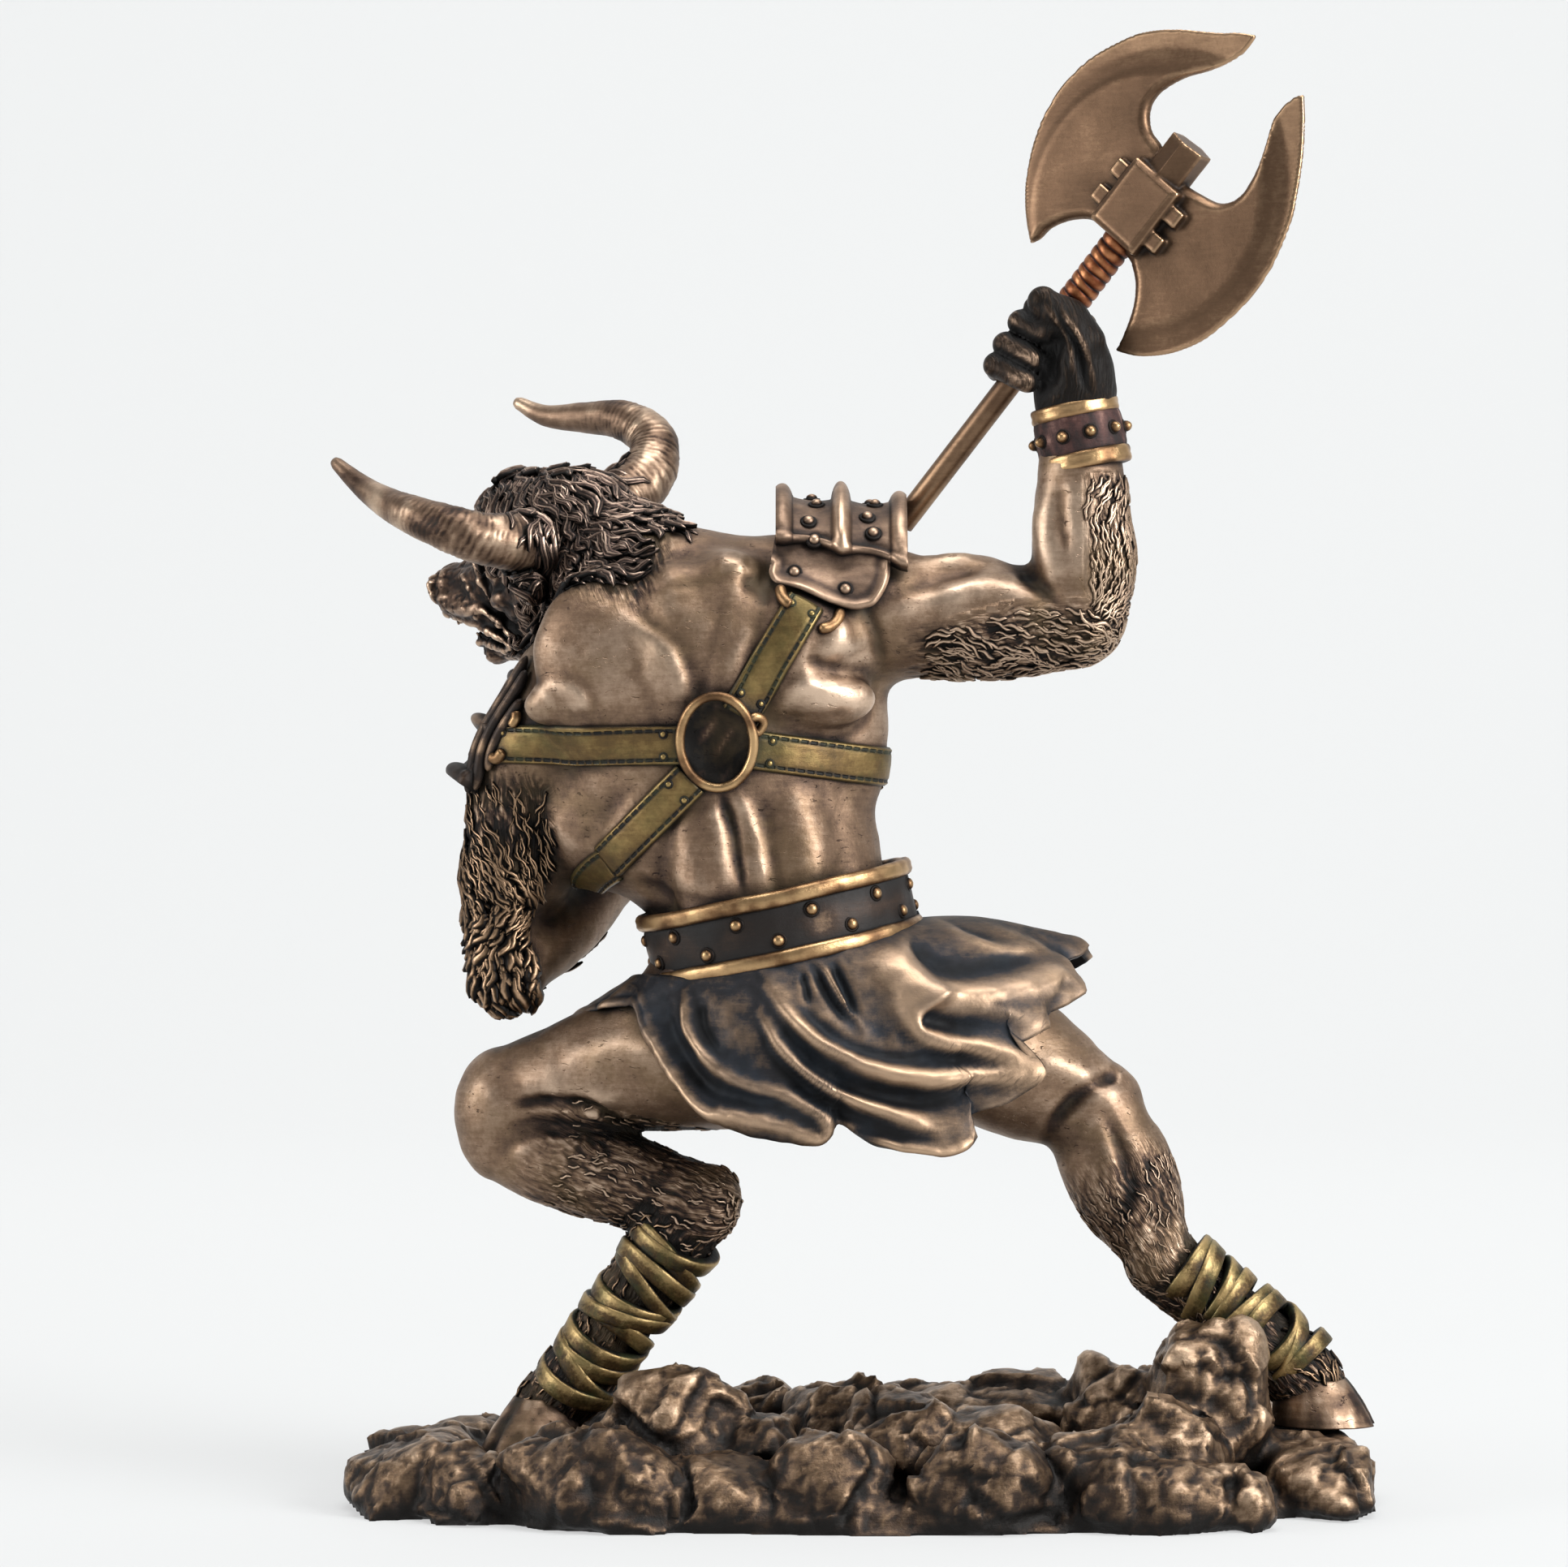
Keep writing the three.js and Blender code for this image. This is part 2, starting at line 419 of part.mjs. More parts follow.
// Thins a closed mesh by folding its cheapest edges, and keeps it closed, simple and free of slivers
function thin(net, target, detail = () => 1) {
  const points = net.points.map((p) => [...p]);
  const faces = net.faces.map((f) => [...f]);
  const around = points.map(() => new Set());
  faces.forEach((f, i) => f.forEach((v) => around[v].add(i)));
  const quadric = points.map(() => new Float64Array(10));
  const normalOf = (a, b, c) => cross(sub(b, a), sub(c, a));
  for (const f of faces) {
    const raw = normalOf(points[f[0]], points[f[1]], points[f[2]]);
    const area = size(raw);
    const nrm = scale(raw, 1 / Math.max(area, 1e-12));
    const d = -dot(nrm, points[f[0]]);
    const h = [...nrm, d];
    const care = detail(points[f[0]]);
    const q = [];
    for (let i = 0; i < 4; i += 1) for (let j = i; j < 4; j += 1) q.push(h[i] * h[j] * area * care);
    for (const v of f) for (let i = 0; i < 10; i += 1) quadric[v][i] += q[i];
  }
  const version = new Int32Array(points.length);
  const heap = [];
  const less = (a, b) => heap[a][0] < heap[b][0];
  const swap = (a, b) => { [heap[a], heap[b]] = [heap[b], heap[a]]; };
  const push = (item) => {
    heap.push(item);
    let i = heap.length - 1;
    while (i > 0 && less(i, (i - 1) >> 1)) {
      swap(i, (i - 1) >> 1);
      i = (i - 1) >> 1;
    }
  };
  const pop = () => {
    const top = heap[0];
    const last = heap.pop();
    if (heap.length) {
      heap[0] = last;
      let i = 0;
      for (;;) {
        let m = i;
        if (2 * i + 1 < heap.length && less(2 * i + 1, m)) m = 2 * i + 1;
        if (2 * i + 2 < heap.length && less(2 * i + 2, m)) m = 2 * i + 2;
        if (m === i) break;
        swap(i, m);
        i = m;
      }
    }
    return top;
  };
  const consider = (a, b) => {
    const q = quadric[a].map((v, i) => v + quadric[b][i]);
    const cost = (p) => q[0] * p[0] * p[0] + 2 * q[1] * p[0] * p[1] + 2 * q[2] * p[0] * p[2] + 2 * q[3] * p[0]
      + q[4] * p[1] * p[1] + 2 * q[5] * p[1] * p[2] + 2 * q[6] * p[1] + q[7] * p[2] * p[2] + 2 * q[8] * p[2] + q[9];
    const m = [[q[0], q[1], q[2]], [q[1], q[4], q[5]], [q[2], q[5], q[7]]];
    const det = dot(m[0], cross(m[1], m[2]));
    const span = size(sub(points[a], points[b]));
    let best = mix(points[a], points[b], 0.5);
    if (Math.abs(det) > 1e-6) {
      const r = [-q[3], -q[6], -q[8]];
      const s = [dot(r, cross(m[1], m[2])), dot(m[0], cross(r, m[2])), dot(m[0], cross(m[1], r))].map((v) => v / det);
      if (size(sub(s, best)) < span) best = s;
    }
    push([cost(best) + 1e-4 * span * span, a, b, version[a], version[b], best]);
  };
  const neighbours = (v) => {
    const out = new Set();
    for (const f of around[v]) for (const w of faces[f]) if (w !== v) out.add(w);
    return out;
  };
  points.forEach((p, v) => { for (const w of neighbours(v)) if (w > v) consider(v, w); });
  let left = faces.length;
  while (left > target && heap.length) {
    const [, a, b, va, vb, at] = pop();
    if (version[a] !== va || version[b] !== vb || va < 0 || vb < 0) continue;
    const shared = [...around[a]].filter((f) => around[b].has(f));
    if (shared.length !== 2) continue;
    const nb = neighbours(b);
    const common = [...neighbours(a)].filter((v) => nb.has(v));
    if (common.length !== 2) continue;
    if (common.some((v) => around[v].size <= 3)) continue;
    let fine = true;
    for (const f of [...around[a], ...around[b]]) {
      if (shared.includes(f)) continue;
      const old = faces[f].map((v) => points[v]);
      const now = faces[f].map((v) => (v === a || v === b ? at : points[v]));
      const n0 = normalOf(...old);
      const n1 = normalOf(...now);
      const longest = Math.max(...[0, 1, 2].map((e) => size(sub(now[e], now[(e + 1) % 3]))));
      const before = Math.max(...[0, 1, 2].map((e) => size(sub(old[e], old[(e + 1) % 3]))));
      const roundness = Math.min(0.12, size(n0) / (before * before));
      const sound = size(n0) > 1e-3;
      if ((sound && dot(n0, n1) < 0.3 * size(n0) * size(n1)) || size(n1) < roundness * longest * longest) {
        fine = false;
        break;
      }
    }
    if (!fine) continue;
    points[a] = at;
    for (let i = 0; i < 10; i += 1) quadric[a][i] += quadric[b][i];
    for (const f of shared) {
      for (const v of faces[f]) around[v].delete(f);
      faces[f] = null;
      left -= 1;
    }
    for (const f of around[b]) {
      faces[f] = faces[f].map((v) => (v === b ? a : v));
      around[a].add(f);
    }
    around[b] = new Set();
    version[b] = -1;
    version[a] += 1;
    for (const w of neighbours(a)) {
      consider(a, w);
    }
  }
  const kept = new Map();
  const triangles = faces.filter((f) => f).map((f) => f.map((v) => {
    if (!kept.has(v)) kept.set(v, kept.size);
    return kept.get(v);
  }));
  return { points: [...kept.keys()].map((v) => points[v]), faces: triangles };
}

// Closed meshes to solids and back
function geometryOf(points, faces) {
  const geometry = new THREE.BufferGeometry();
  geometry.setAttribute('position', new THREE.Float32BufferAttribute(points.flat(), 3));
  geometry.setIndex(faces.flat());
  return geometry;
}
function solid(geometry, matrix = null) {
  let g = geometry.clone();
  if (matrix) g.applyMatrix4(matrix);
  g.deleteAttribute('normal');
  g.deleteAttribute('uv');
  g = mergeVertices(g, 1e-4);
  return new wasm.Manifold(new wasm.Mesh({
    numProp: 3,
    vertProperties: new Float32Array(g.attributes.position.array),
    triVerts: new Uint32Array(g.index.array),
  }));
}
const joined = (list) => list.reduce((a, b) => a.add(b));
// The outer skin alone: pockets sealed between joined pieces are filled, as a casting fills them
function outerSkin(body) {
  const m = body.getMesh();
  const points = [];
  for (let i = 0; i < m.numVert; i += 1) {
    points.push([0, 1, 2].map((d) => m.vertProperties[i * m.numProp + d]));
  }
  const root = points.map((_, i) => i);
  const find = (i) => {
    while (root[i] !== i) {
      root[i] = root[root[i]];
      i = root[i];
    }
    return i;
  };
  const faces = [];
  for (let i = 0; i < m.triVerts.length; i += 3) {
    const f = [...m.triVerts.slice(i, i + 3)];
    faces.push(f);
    root[find(f[0])] = find(f[1]);
    root[find(f[1])] = find(f[2]);
  }
  const volumes = new Map();
  for (const f of faces) {
    const key = find(f[0]);
    const [a, b, c] = f.map((v) => points[v]);
    volumes.set(key, (volumes.get(key) ?? 0) + dot(a, cross(b, c)) / 6);
  }
  const biggest = [...volumes].sort((a, b) => b[1] - a[1])[0][0];
  return { points, faces: faces.filter((f) => find(f[0]) === biggest) };
}
function thinSolid(body, target, detail = () => 1) {
  const skin = outerSkin(body);
  const used = new Map();
  const faces = skin.faces.map((f) => f.map((v) => {
    if (!used.has(v)) used.set(v, used.size);
    return used.get(v);
  }));
  const net = thin({ points: [...used.keys()].map((v) => skin.points[v]), faces }, target, detail);
  return solid(geometryOf(net.points, net.faces));
}
function meshOf(name, body, material) {
  const skin = outerSkin(body);
  const geometry = mergeVertices(geometryOf(skin.points, skin.faces), 1e-4);
  geometry.computeVertexNormals();
  const mesh = new THREE.Mesh(geometry, material);
  mesh.name = name;
  return mesh;
}
// Stands a shape whose own axis is Y (cylinders, lathes) along a line
function along(from, direction) {
  const turn = new THREE.Quaternion().setFromUnitVectors(new THREE.Vector3(0, 1, 0), vector(unit(direction)));
  return new THREE.Matrix4().compose(vector(from), turn, new THREE.Vector3(1, 1, 1));
}
function rod(from, to, r0, r1, sides) {
  const g = new THREE.CylinderGeometry(r1, r0, size(sub(to, from)), sides);
  return solid(g, along(mix(from, to, 0.5), sub(to, from)));
}

// A thick sheet over two parameters; place(u, v) gives its outer face and the direction out of it
function sheet(nu, nv, closed, place) {
  const outer = [];
  const inner = [];
  const columns = closed ? nu : nu + 1;
  for (let i = 0; i < columns; i += 1) {
    for (let j = 0; j <= nv; j += 1) {
      const { point, normal, depth } = place(i / nu, j / nv);
      outer.push(point);
      inner.push(add(point, normal, -depth));
    }
  }
  const id = (i, j) => (i % columns) * (nv + 1) + j;
  const back = outer.length;
  const faces = [];
  for (let i = 0; i < nu; i += 1) {
    for (let j = 0; j < nv; j += 1) {
      const [a, b, c, d] = [id(i, j), id(i + 1, j), id(i + 1, j + 1), id(i, j + 1)];
      faces.push([a, b, c], [a, c, d], [a + back, c + back, b + back], [a + back, d + back, c + back]);
    }
    for (const j of [0, nv]) {
      const [a, b] = j ? [id(i + 1, j), id(i, j)] : [id(i, j), id(i + 1, j)];
      faces.push([a, a + back, b + back], [a, b + back, b]);
    }
  }
  if (!closed) {
    for (let j = 0; j < nv; j += 1) {
      for (const i of [0, nu]) {
        const [a, b] = i ? [id(i, j), id(i, j + 1)] : [id(i, j + 1), id(i, j)];
        faces.push([a, a + back, b + back], [a, b + back, b]);
      }
    }
  }
  const body = solid(geometryOf([...outer, ...inner], faces));
  return body.volume() < 0 ? solid(geometryOf([...outer, ...inner], faces.map((f) => [f[0], f[2], f[1]]))) : body;
}

// Pulls a run of points tight, as a strap bridges the hollows, without letting it sink into the skin
function taut(form, points) {
  const run = points.map((p) => form.skin(p).point);
  for (let pass = 0; pass < 14; pass += 1) {
    for (let i = 1; i < run.length - 1; i += 1) {
      const q = mix(run[i], mix(run[i - 1], run[i + 1], 0.5), 0.6);
      const depth = form.value(q);
      run[i] = depth < 0 ? form.skin(q).point : q;
    }
  }
  return run;
}
// A strap laid on the skin along a few guide points
function strap(form, guides, steps, width, lift = STRAP_LIFT) {
  const curve = new THREE.CatmullRomCurve3(guides.map(vector));
  const middle = taut(form, Array.from({ length: steps + 1 }, (_, i) => curve.getPoint(i / steps).toArray()));
  const lanes = [-0.5, 0, 0.5].map((lane) => taut(form, middle.map((p, i) => {
    const run = sub(middle[Math.min(i + 1, steps)], middle[Math.max(i - 1, 0)]);
    return add(p, unit(cross(run, form.slope(p))), lane * width);
  })));
  return sheet(steps, 2, false, (u, v) => {
    const p = lanes[Math.round(v * 2)][Math.round(u * steps)];
    const normal = form.slope(p);
    return { point: add(p, normal, lift), normal, depth: lift + STRAP_SINK + Math.max(0, form.value(p)) };
  });
}

function harness(form) {
  const eye = form.skin(RING_CENTRE);
  const torus = new THREE.TorusGeometry(RING_RADIUS, RING_WIRE, 6, 22);
  const turn = new THREE.Quaternion().setFromUnitVectors(new THREE.Vector3(0, 0, 1), vector(eye.normal));
  const place = new THREE.Matrix4().compose(vector(add(eye.point, eye.normal, 0.9)), turn, new THREE.Vector3(1, 1, 1));
  return [
    solid(torus, place),
    strap(form, [[-26, -20, 163], [-18, -20, 175], [-11, -16, 186]], 6, STRAP_WIDTH),
    strap(form, [[-37.5, -20, 155.6], [-58, -14, 157], [-79, -1, 156]], 8, STRAP_WIDTH),
    strap(form, [[-36, -20, 149], [-46, -17, 139], [-56, -10, 128]], 6, STRAP_WIDTH),
    strap(form, [[-22, -20, 154.6], [-8, -18, 152.5], [3, -6, 151], [3, 8, 150]], 7, STRAP_WIDTH),
    strap(form, [[3, 8, 150], [-8, 26, 150], [-32, 34, 151], [-58, 30, 150]], 10, STRAP_WIDTH),
    strap(form, [[-6, 22, 190], [-20, 32, 174], [-40, 34, 155], [-56, 22, 132], [-57, 2, 127], [-56, -10, 128]], 14, STRAP_WIDTH),
  ];
}

// Belt: a leather band between two rolled rims, laid round the waist on a tilted plane
const WAIST = { centre: [-17.5, 2, 118.8], across: unit([1, 0, 0.22]), deep: [0, 1, 0], half: [26.6, 22.8], tall: 13 };
WAIST.axis = cross(WAIST.across, WAIST.deep);
function onWaist(angle, out, rise) {
  const p = add(add(WAIST.centre, WAIST.across, (WAIST.half[0] + out) * Math.cos(angle)),
    WAIST.deep, (WAIST.half[1] + out) * Math.sin(angle));
  return add(p, WAIST.axis, rise);
}
function belt() {
  const h = WAIST.tall / 2;
  const profile = [[0, -h], [1.3, -h], [1.6, -h + 1.4], [0.5, -h + 2.2], [0.5, h - 2.2], [1.6, h - 1.4], [1.3, h], [0, h]];
  return sheet(32, profile.length - 1, true, (u, v) => {
    const angle = 2 * Math.PI * u;
    const [out, rise] = profile[Math.round(v * (profile.length - 1))];
    return { point: onWaist(angle, out + 0.8, rise), normal: unit(sub(onWaist(angle, 1, 0), onWaist(angle, 0, 0))), depth: out + 5 };
  });
}

// Kilt: hangs from the belt to a ragged hem that is blown to the viewer's right; the folds deepen downwards
const HEM = [[22, 42, 16, 108], [48, 28, 29, 98], [78, 3, 36, 84], [106, -18, 33, 79], [136, -36, 22, 84],
  [168, -45.5, 8, 96], [202, -46.2, -8, 102.2], [212, -43.1, -12, 95], [228, -38.6, -18, 88], [241, -33.7, -23, 82.1],
  [252, -28.3, -27, 78.8], [262, -22.6, -29, 77], [272, -16.4, -31, 75.9], [281, -9.9, -32, 75.6],
  [286, -5.6, -31, 80.1], [292, -1.1, -33, 77.7], [299, 5.9, -34, 74.7], [307, 14, -34, 73.8], [313, 20.4, -33, 75.5],
  [317, 20.7, -31, 81.4], [321, 27.2, -31, 83.7], [326, 35.5, -29, 89.6], [330, 28.7, -27, 95.2],
  [336, 37.4, -23, 99.2], [343, 41.9, -16, 102.7], [347, 44.4, -12, 105.4], [353, 40.8, -4, 110.6], [362, 47.2, 4, 114.2]];
// Folds that the cloth is swept into behind: how far each stands out, its half widths above and below, and its line (x, z)
const FOLDS = [
  [1.8, 1.6, 2.2, [[-45.9, 104.6], [-42.8, 97.3], [-38.5, 88.8], [-34.3, 83.4], [-28.8, 81.3], [-18.5, 80.9]]],
  [1.5, 1.8, 1.8, [[-36.3, 104.7], [-35.9, 99.8], [-31.8, 93.1], [-24.5, 87.4], [-10, 82]]],
  [1.8, 2.2, 1.6, [[-21.2, 100.9], [-17.9, 95.2], [-11.8, 89.2], [-4.6, 84.9], [3.8, 81.9], [12.3, 79.8]]],
  [3.2, 3, 1.9, [[-19.7, 106.1], [-13, 98.6], [-6.4, 94.4], [1.4, 90.7], [11.6, 88.8], [29.1, 88.9]]],
  [2.6, 2.6, 1.6, [[5.6, 104], [9.2, 98.6], [14.6, 95.9], [21.3, 94.8], [26.7, 92.5], [34.8, 89.5]]],
  [3.2, 5, 4.5, [[2.6, 114.7], [6.8, 110.5], [9, 105.7], [12.3, 101.5]]],
  [3.4, 2.4, 3.8, [[5.7, 109.9], [11.7, 106.2], [18.9, 105.9], [27.4, 108], [35.8, 110.5], [41.2, 108.6]]],
  [1.7, 1.7, 1.7, [[11.9, 122.8], [17.9, 117.9], [25.8, 114], [39.2, 112]]],
  [-1.8, 1.7, 1.7, [[-14.8, 103.9], [-6.4, 96.1], [3.2, 92.5], [17.7, 91.9], [26.1, 92.5]]],
  [-1.8, 1.7, 1.7, [[-16, 97.9], [-10, 91.3], [-1.6, 87.1], [8.6, 84.6], [20.7, 84.6]]],
  [-2.2, 2.2, 2.4, [[9.3, 99.7], [14.7, 98.4], [23.7, 96.6]]],
  [-2.2, 2.4, 2.6, [[7.5, 115.8], [12.9, 110.4], [19, 107.9], [26.8, 108.5], [35.9, 111.3]]],
];
function foldAt(x, z, [rise, above, below, line]) {
  let best = { gap: 1e9, side: 1, run: 0 };
  for (let i = 0; i + 1 < line.length; i += 1) {
    const [ax, az] = line[i];
    const [dx, dz] = [line[i + 1][0] - ax, line[i + 1][1] - az];
    const t = Math.min(1, Math.max(0, ((x - ax) * dx + (z - az) * dz) / (dx * dx + dz * dz)));
    const gap = Math.hypot(x - ax - t * dx, z - az - t * dz);
    if (gap < best.gap) best = { gap, side: dx * (z - az) - dz * (x - ax), run: (i + t) / (line.length - 1) };
  }
  const ends = Math.min(1, 0.35 + 4 * best.run) * Math.min(1, 0.35 + 4 * (1 - best.run));
  return rise * ends * Math.exp(-((best.gap / (best.side > 0 ? above : below)) ** 2));
}
function hemAt(degrees) {
  const from = degrees < HEM[0][0] ? degrees + 360 : degrees;
  const i = HEM.findLastIndex((h) => h[0] <= from);
  const [a, b] = [HEM[i], HEM[(i + 1) % HEM.length]];
  const span = (b[0] - a[0] + 360) % 360 || 360;
  return mix(a.slice(1), b.slice(1), (from - a[0]) / span);
}
function kilt() {
  const pleats = 11;
  return sheet(120, 10, true, (u, v) => {
    const angle = 2 * Math.PI * u;
    const top = onWaist(angle, 0.6, -WAIST.tall / 2 + 1.5);
    const end = hemAt(360 * u);
    const out = unit([Math.cos(angle), Math.sin(angle), 0.1]);
    const lifted = 4 + 5 * Math.max(0, Math.cos(angle));
    const knee = add(mix(top, end, 0.45), add(scale(out, 5), [0, 0, lifted]));
    let p = mix(mix(top, knee, v), mix(knee, end, v), v);
    const behind = Math.min(1, Math.max(0, (2 - p[1]) / 12));
    const swept = FOLDS.reduce((sum, f) => sum + foldAt(p[0], p[2], f), 0);
    p = add(p, out, behind * swept * Math.min(1, 4 * v) + (1 - behind) * 2 * v * Math.sin(pleats * angle));
    return { point: p, normal: out, depth: 2.6 };
  });
}

// Shoulder guard: an arched leather shell under three standing ridges, with a flap on the near side
function pauldron(centre, run, top, radius, length, from, to, flap) {
  const near = unit(cross(run, top));
  const at = (x, angle, r) => add(add(add(centre, run, x), near, r * Math.cos(angle)), top, r * Math.sin(angle));
  const out = (angle) => add(scale(near, Math.cos(angle)), top, Math.sin(angle));
  const pieces = [sheet(2, 8, false, (u, v) => {
    const angle = from + (to - from) * v;
    return { point: at((u - 0.5) * length, angle, radius), normal: out(angle), depth: 7 };
  })];
  for (const x of [-0.5, 0, 0.5]) {
    pieces.push(sheet(1, 12, false, (u, v) => {
      const angle = from - 0.12 + (to - from + 0.24) * v;
      const crest = 1.6 + 2 * Math.exp(-(((angle - 1.35) / 0.35) ** 2)) + (v < 0.05 ? -1.2 : 0);
      return { point: at(x * length + (u - 0.5) * 2.4, angle, radius + crest), normal: out(angle), depth: crest + 3 };
    }));
  }
  for (let panel = 0; panel < 2; panel += 1) {
    for (const t of [0.08, 0.42]) {
      for (const x of [-0.12, 0.12]) {
        const angle = from + (to - from) * t * 0.6;
        const g = new THREE.SphereGeometry(0.95, 6, 4);
        g.translate(...at((panel - 0.5) * length * 0.5 + x * length, angle, radius + 0.1));
        pieces.push(solid(g));
      }
    }
  }
  if (flap) {
    pieces.push(sheet(6, 3, false, (u, v) => {
      const x = (u - 0.52) * length * 1.0;
      const drop = v * (11 - 5 * Math.abs(2 * u - 1) ** 3);
      const base = at(x, from + 0.15, radius + 0.4);
      const p = add(add(base, near, 1.2 * v + 0.6), top, -drop);
      return { point: p, normal: near, depth: 5 };
    }));
  }
  return pieces;
}

// A ring-shaped sleeve turned round a limb from a radius profile
function sleeve(from, to, profile, sides) {
  const direction = sub(to, from);
  const length = size(direction);
  const points = [new THREE.Vector2(0, 0)];
  for (const [t, r] of profile) points.push(new THREE.Vector2(r, t * length));
  points.push(new THREE.Vector2(0, length));
  return solid(new THREE.LatheGeometry(points, sides), along(from, direction));
}
function wrap(from, to, r0, r1) {
  const profile = [];
  for (let i = 0; i < WRAP_BANDS; i += 1) {
    const t = i / WRAP_BANDS;
    const r = r0 + (r1 - r0) * t;
    profile.push([t, r - (i ? 0 : 0.9)], [t + 0.35 / WRAP_BANDS, r + 1], [t + 0.9 / WRAP_BANDS, r + 0.5]);
  }
  profile.push([1, r1 - 0.8]);
  return sleeve(from, to, profile, 12);
}

// Cloven hoof: the hull of a small oval at the coronet and a larger one at the ground
function hoof(top, ground, heading, grow = 0) {
  const ahead = unit([heading[0], heading[1], 0]);
  const aside = [-ahead[1], ahead[0], 0];
  const points = [];
  const rings = [[top, 7.6, 7.2], [mix(top, ground, 0.5), 9.6, 8.6], [ground, 11, 9.4]];
  for (const [c, a, b] of rings) {
    for (let i = 0; i < 10; i += 1) {
      const angle = 2 * Math.PI * i / 10;
      points.push(vector(add(add(c, ahead, (a + grow) * Math.cos(angle)), aside, (b + grow) * Math.sin(angle))));
    }
  }
  if (grow) {
    for (const p of points) p.z += p.z > (top[2] + ground[2]) / 2 ? grow : -grow;
  }
  return solid(new ConvexGeometry(points));
}
const HOOVES = [
  { top: [-65.5, 7.5, 19], ground: [-70.5, 3, 7.5], heading: [-0.8, -0.6] },
  { top: [92, 1.5, 23.5], ground: [94.5, 1, 15.5], heading: [1, -0.1] },
];

// Rocks: faceted boulders crowded on a long oval, [x, y, z, half sizes]
const BOULDERS = [
  [-91, -3, 2, 17, 29, 15], [-81, -27, 3, 10, 15, 12], [-56, -32, 6, 19, 20, 15], [-47, -44, 4, 12, 9, 12],
  [-38, -16, 14, 15, 14, 18], [-22, -18, 10, 11, 13, 12], [-28, -37, 3, 15, 13, 12], [-8, -38, 8, 14, 14, 13],
  [-4, 4, 12, 17, 17, 13], [-22, 25, 11, 13, 15, 11], [8, -14, 12, 14, 17, 13], [31, 25, 12, 20, 18, 13],
  [51, 8, 14, 12, 16, 15], [23, -40, 6, 17, 13, 14], [25, -18, 9, 17, 16, 13], [45, -33, 8, 13, 14, 13],
  [57, -42, 3, 20, 11, 12], [70, -9, 20, 15, 16, 21], [59, -25, 11, 15, 13, 13], [76, -42, 4, 6, 8, 8],
  [91, -6, 3, 15, 30, 15], [88, 18, 5, 17, 20, 13], [66, 20, 10, 18, 20, 15], [40, 40, 5, 18, 13, 12],
  [12, 20, 9, 18, 20, 13], [12, 41, 4, 18, 12, 12], [-18, 41, 4, 18, 12, 11], [-44, 18, 7, 20, 19, 13],
  [-48, 37, 4, 20, 14, 11], [66, 37, 4, 16, 13, 12], [-76, 24, 3, 20, 20, 12],
];
function boulder([x, y, z, a, b, c], seed) {
  const points = [];
  const count = 14;
  for (let i = 0; i < count; i += 1) {
    const up = 1 - 2 * (i + 0.5) / count;
    const turn = i * 2.39996 + seed * 1.3;
    const flat = Math.sqrt(1 - up * up);
    const r = 0.86 + 0.26 * hash(seed * 31 + i);
    const p = [Math.cos(turn) * flat, Math.sin(turn) * flat, up].map((v) => Math.sign(v) * Math.abs(v) ** 0.85 * r);
    points.push(new THREE.Vector3(x + a * p[0], y + b * p[1], z + c * p[2]));
  }
  return solid(new ConvexGeometry(points));
}
function rockBase() {
  const footing = [];
  for (let i = 0; i < 28; i += 1) {
    const angle = 2 * Math.PI * i / 28;
    const r = 0.94 + 0.05 * hash(i + 60);
    const x = BASE_HALF_LENGTH * Math.cos(angle) * r;
    const y = BASE_HALF_DEPTH * Math.sin(angle) * r;
    footing.push(new THREE.Vector3(x, y, 0), new THREE.Vector3(x * 0.95, y * 0.93, 5));
  }
  let rocks = joined([solid(new ConvexGeometry(footing)), ...BOULDERS.map(boulder)]);
  const room = new THREE.BoxGeometry(BASE_HALF_LENGTH * 2, BASE_HALF_DEPTH * 2, 80);
  room.translate(0, 0, 40);
  rocks = thinSolid(rocks.intersect(solid(room)), ROCK_FACES);
  for (const h of HOOVES) rocks = rocks.subtract(hoof(h.top, h.ground, h.heading, CAST_GAP));
  rocks = rocks.subtract(rod(LEFT.hock, [-67.5, 8.6, 15], 10, 10.2, 14));
  rocks = rocks.subtract(rod(add(RIGHT.hock, [-2, 0, 0]), [94.5, 1.8, 19.5], 10.8, 10.2, 14));
  return rocks;
}

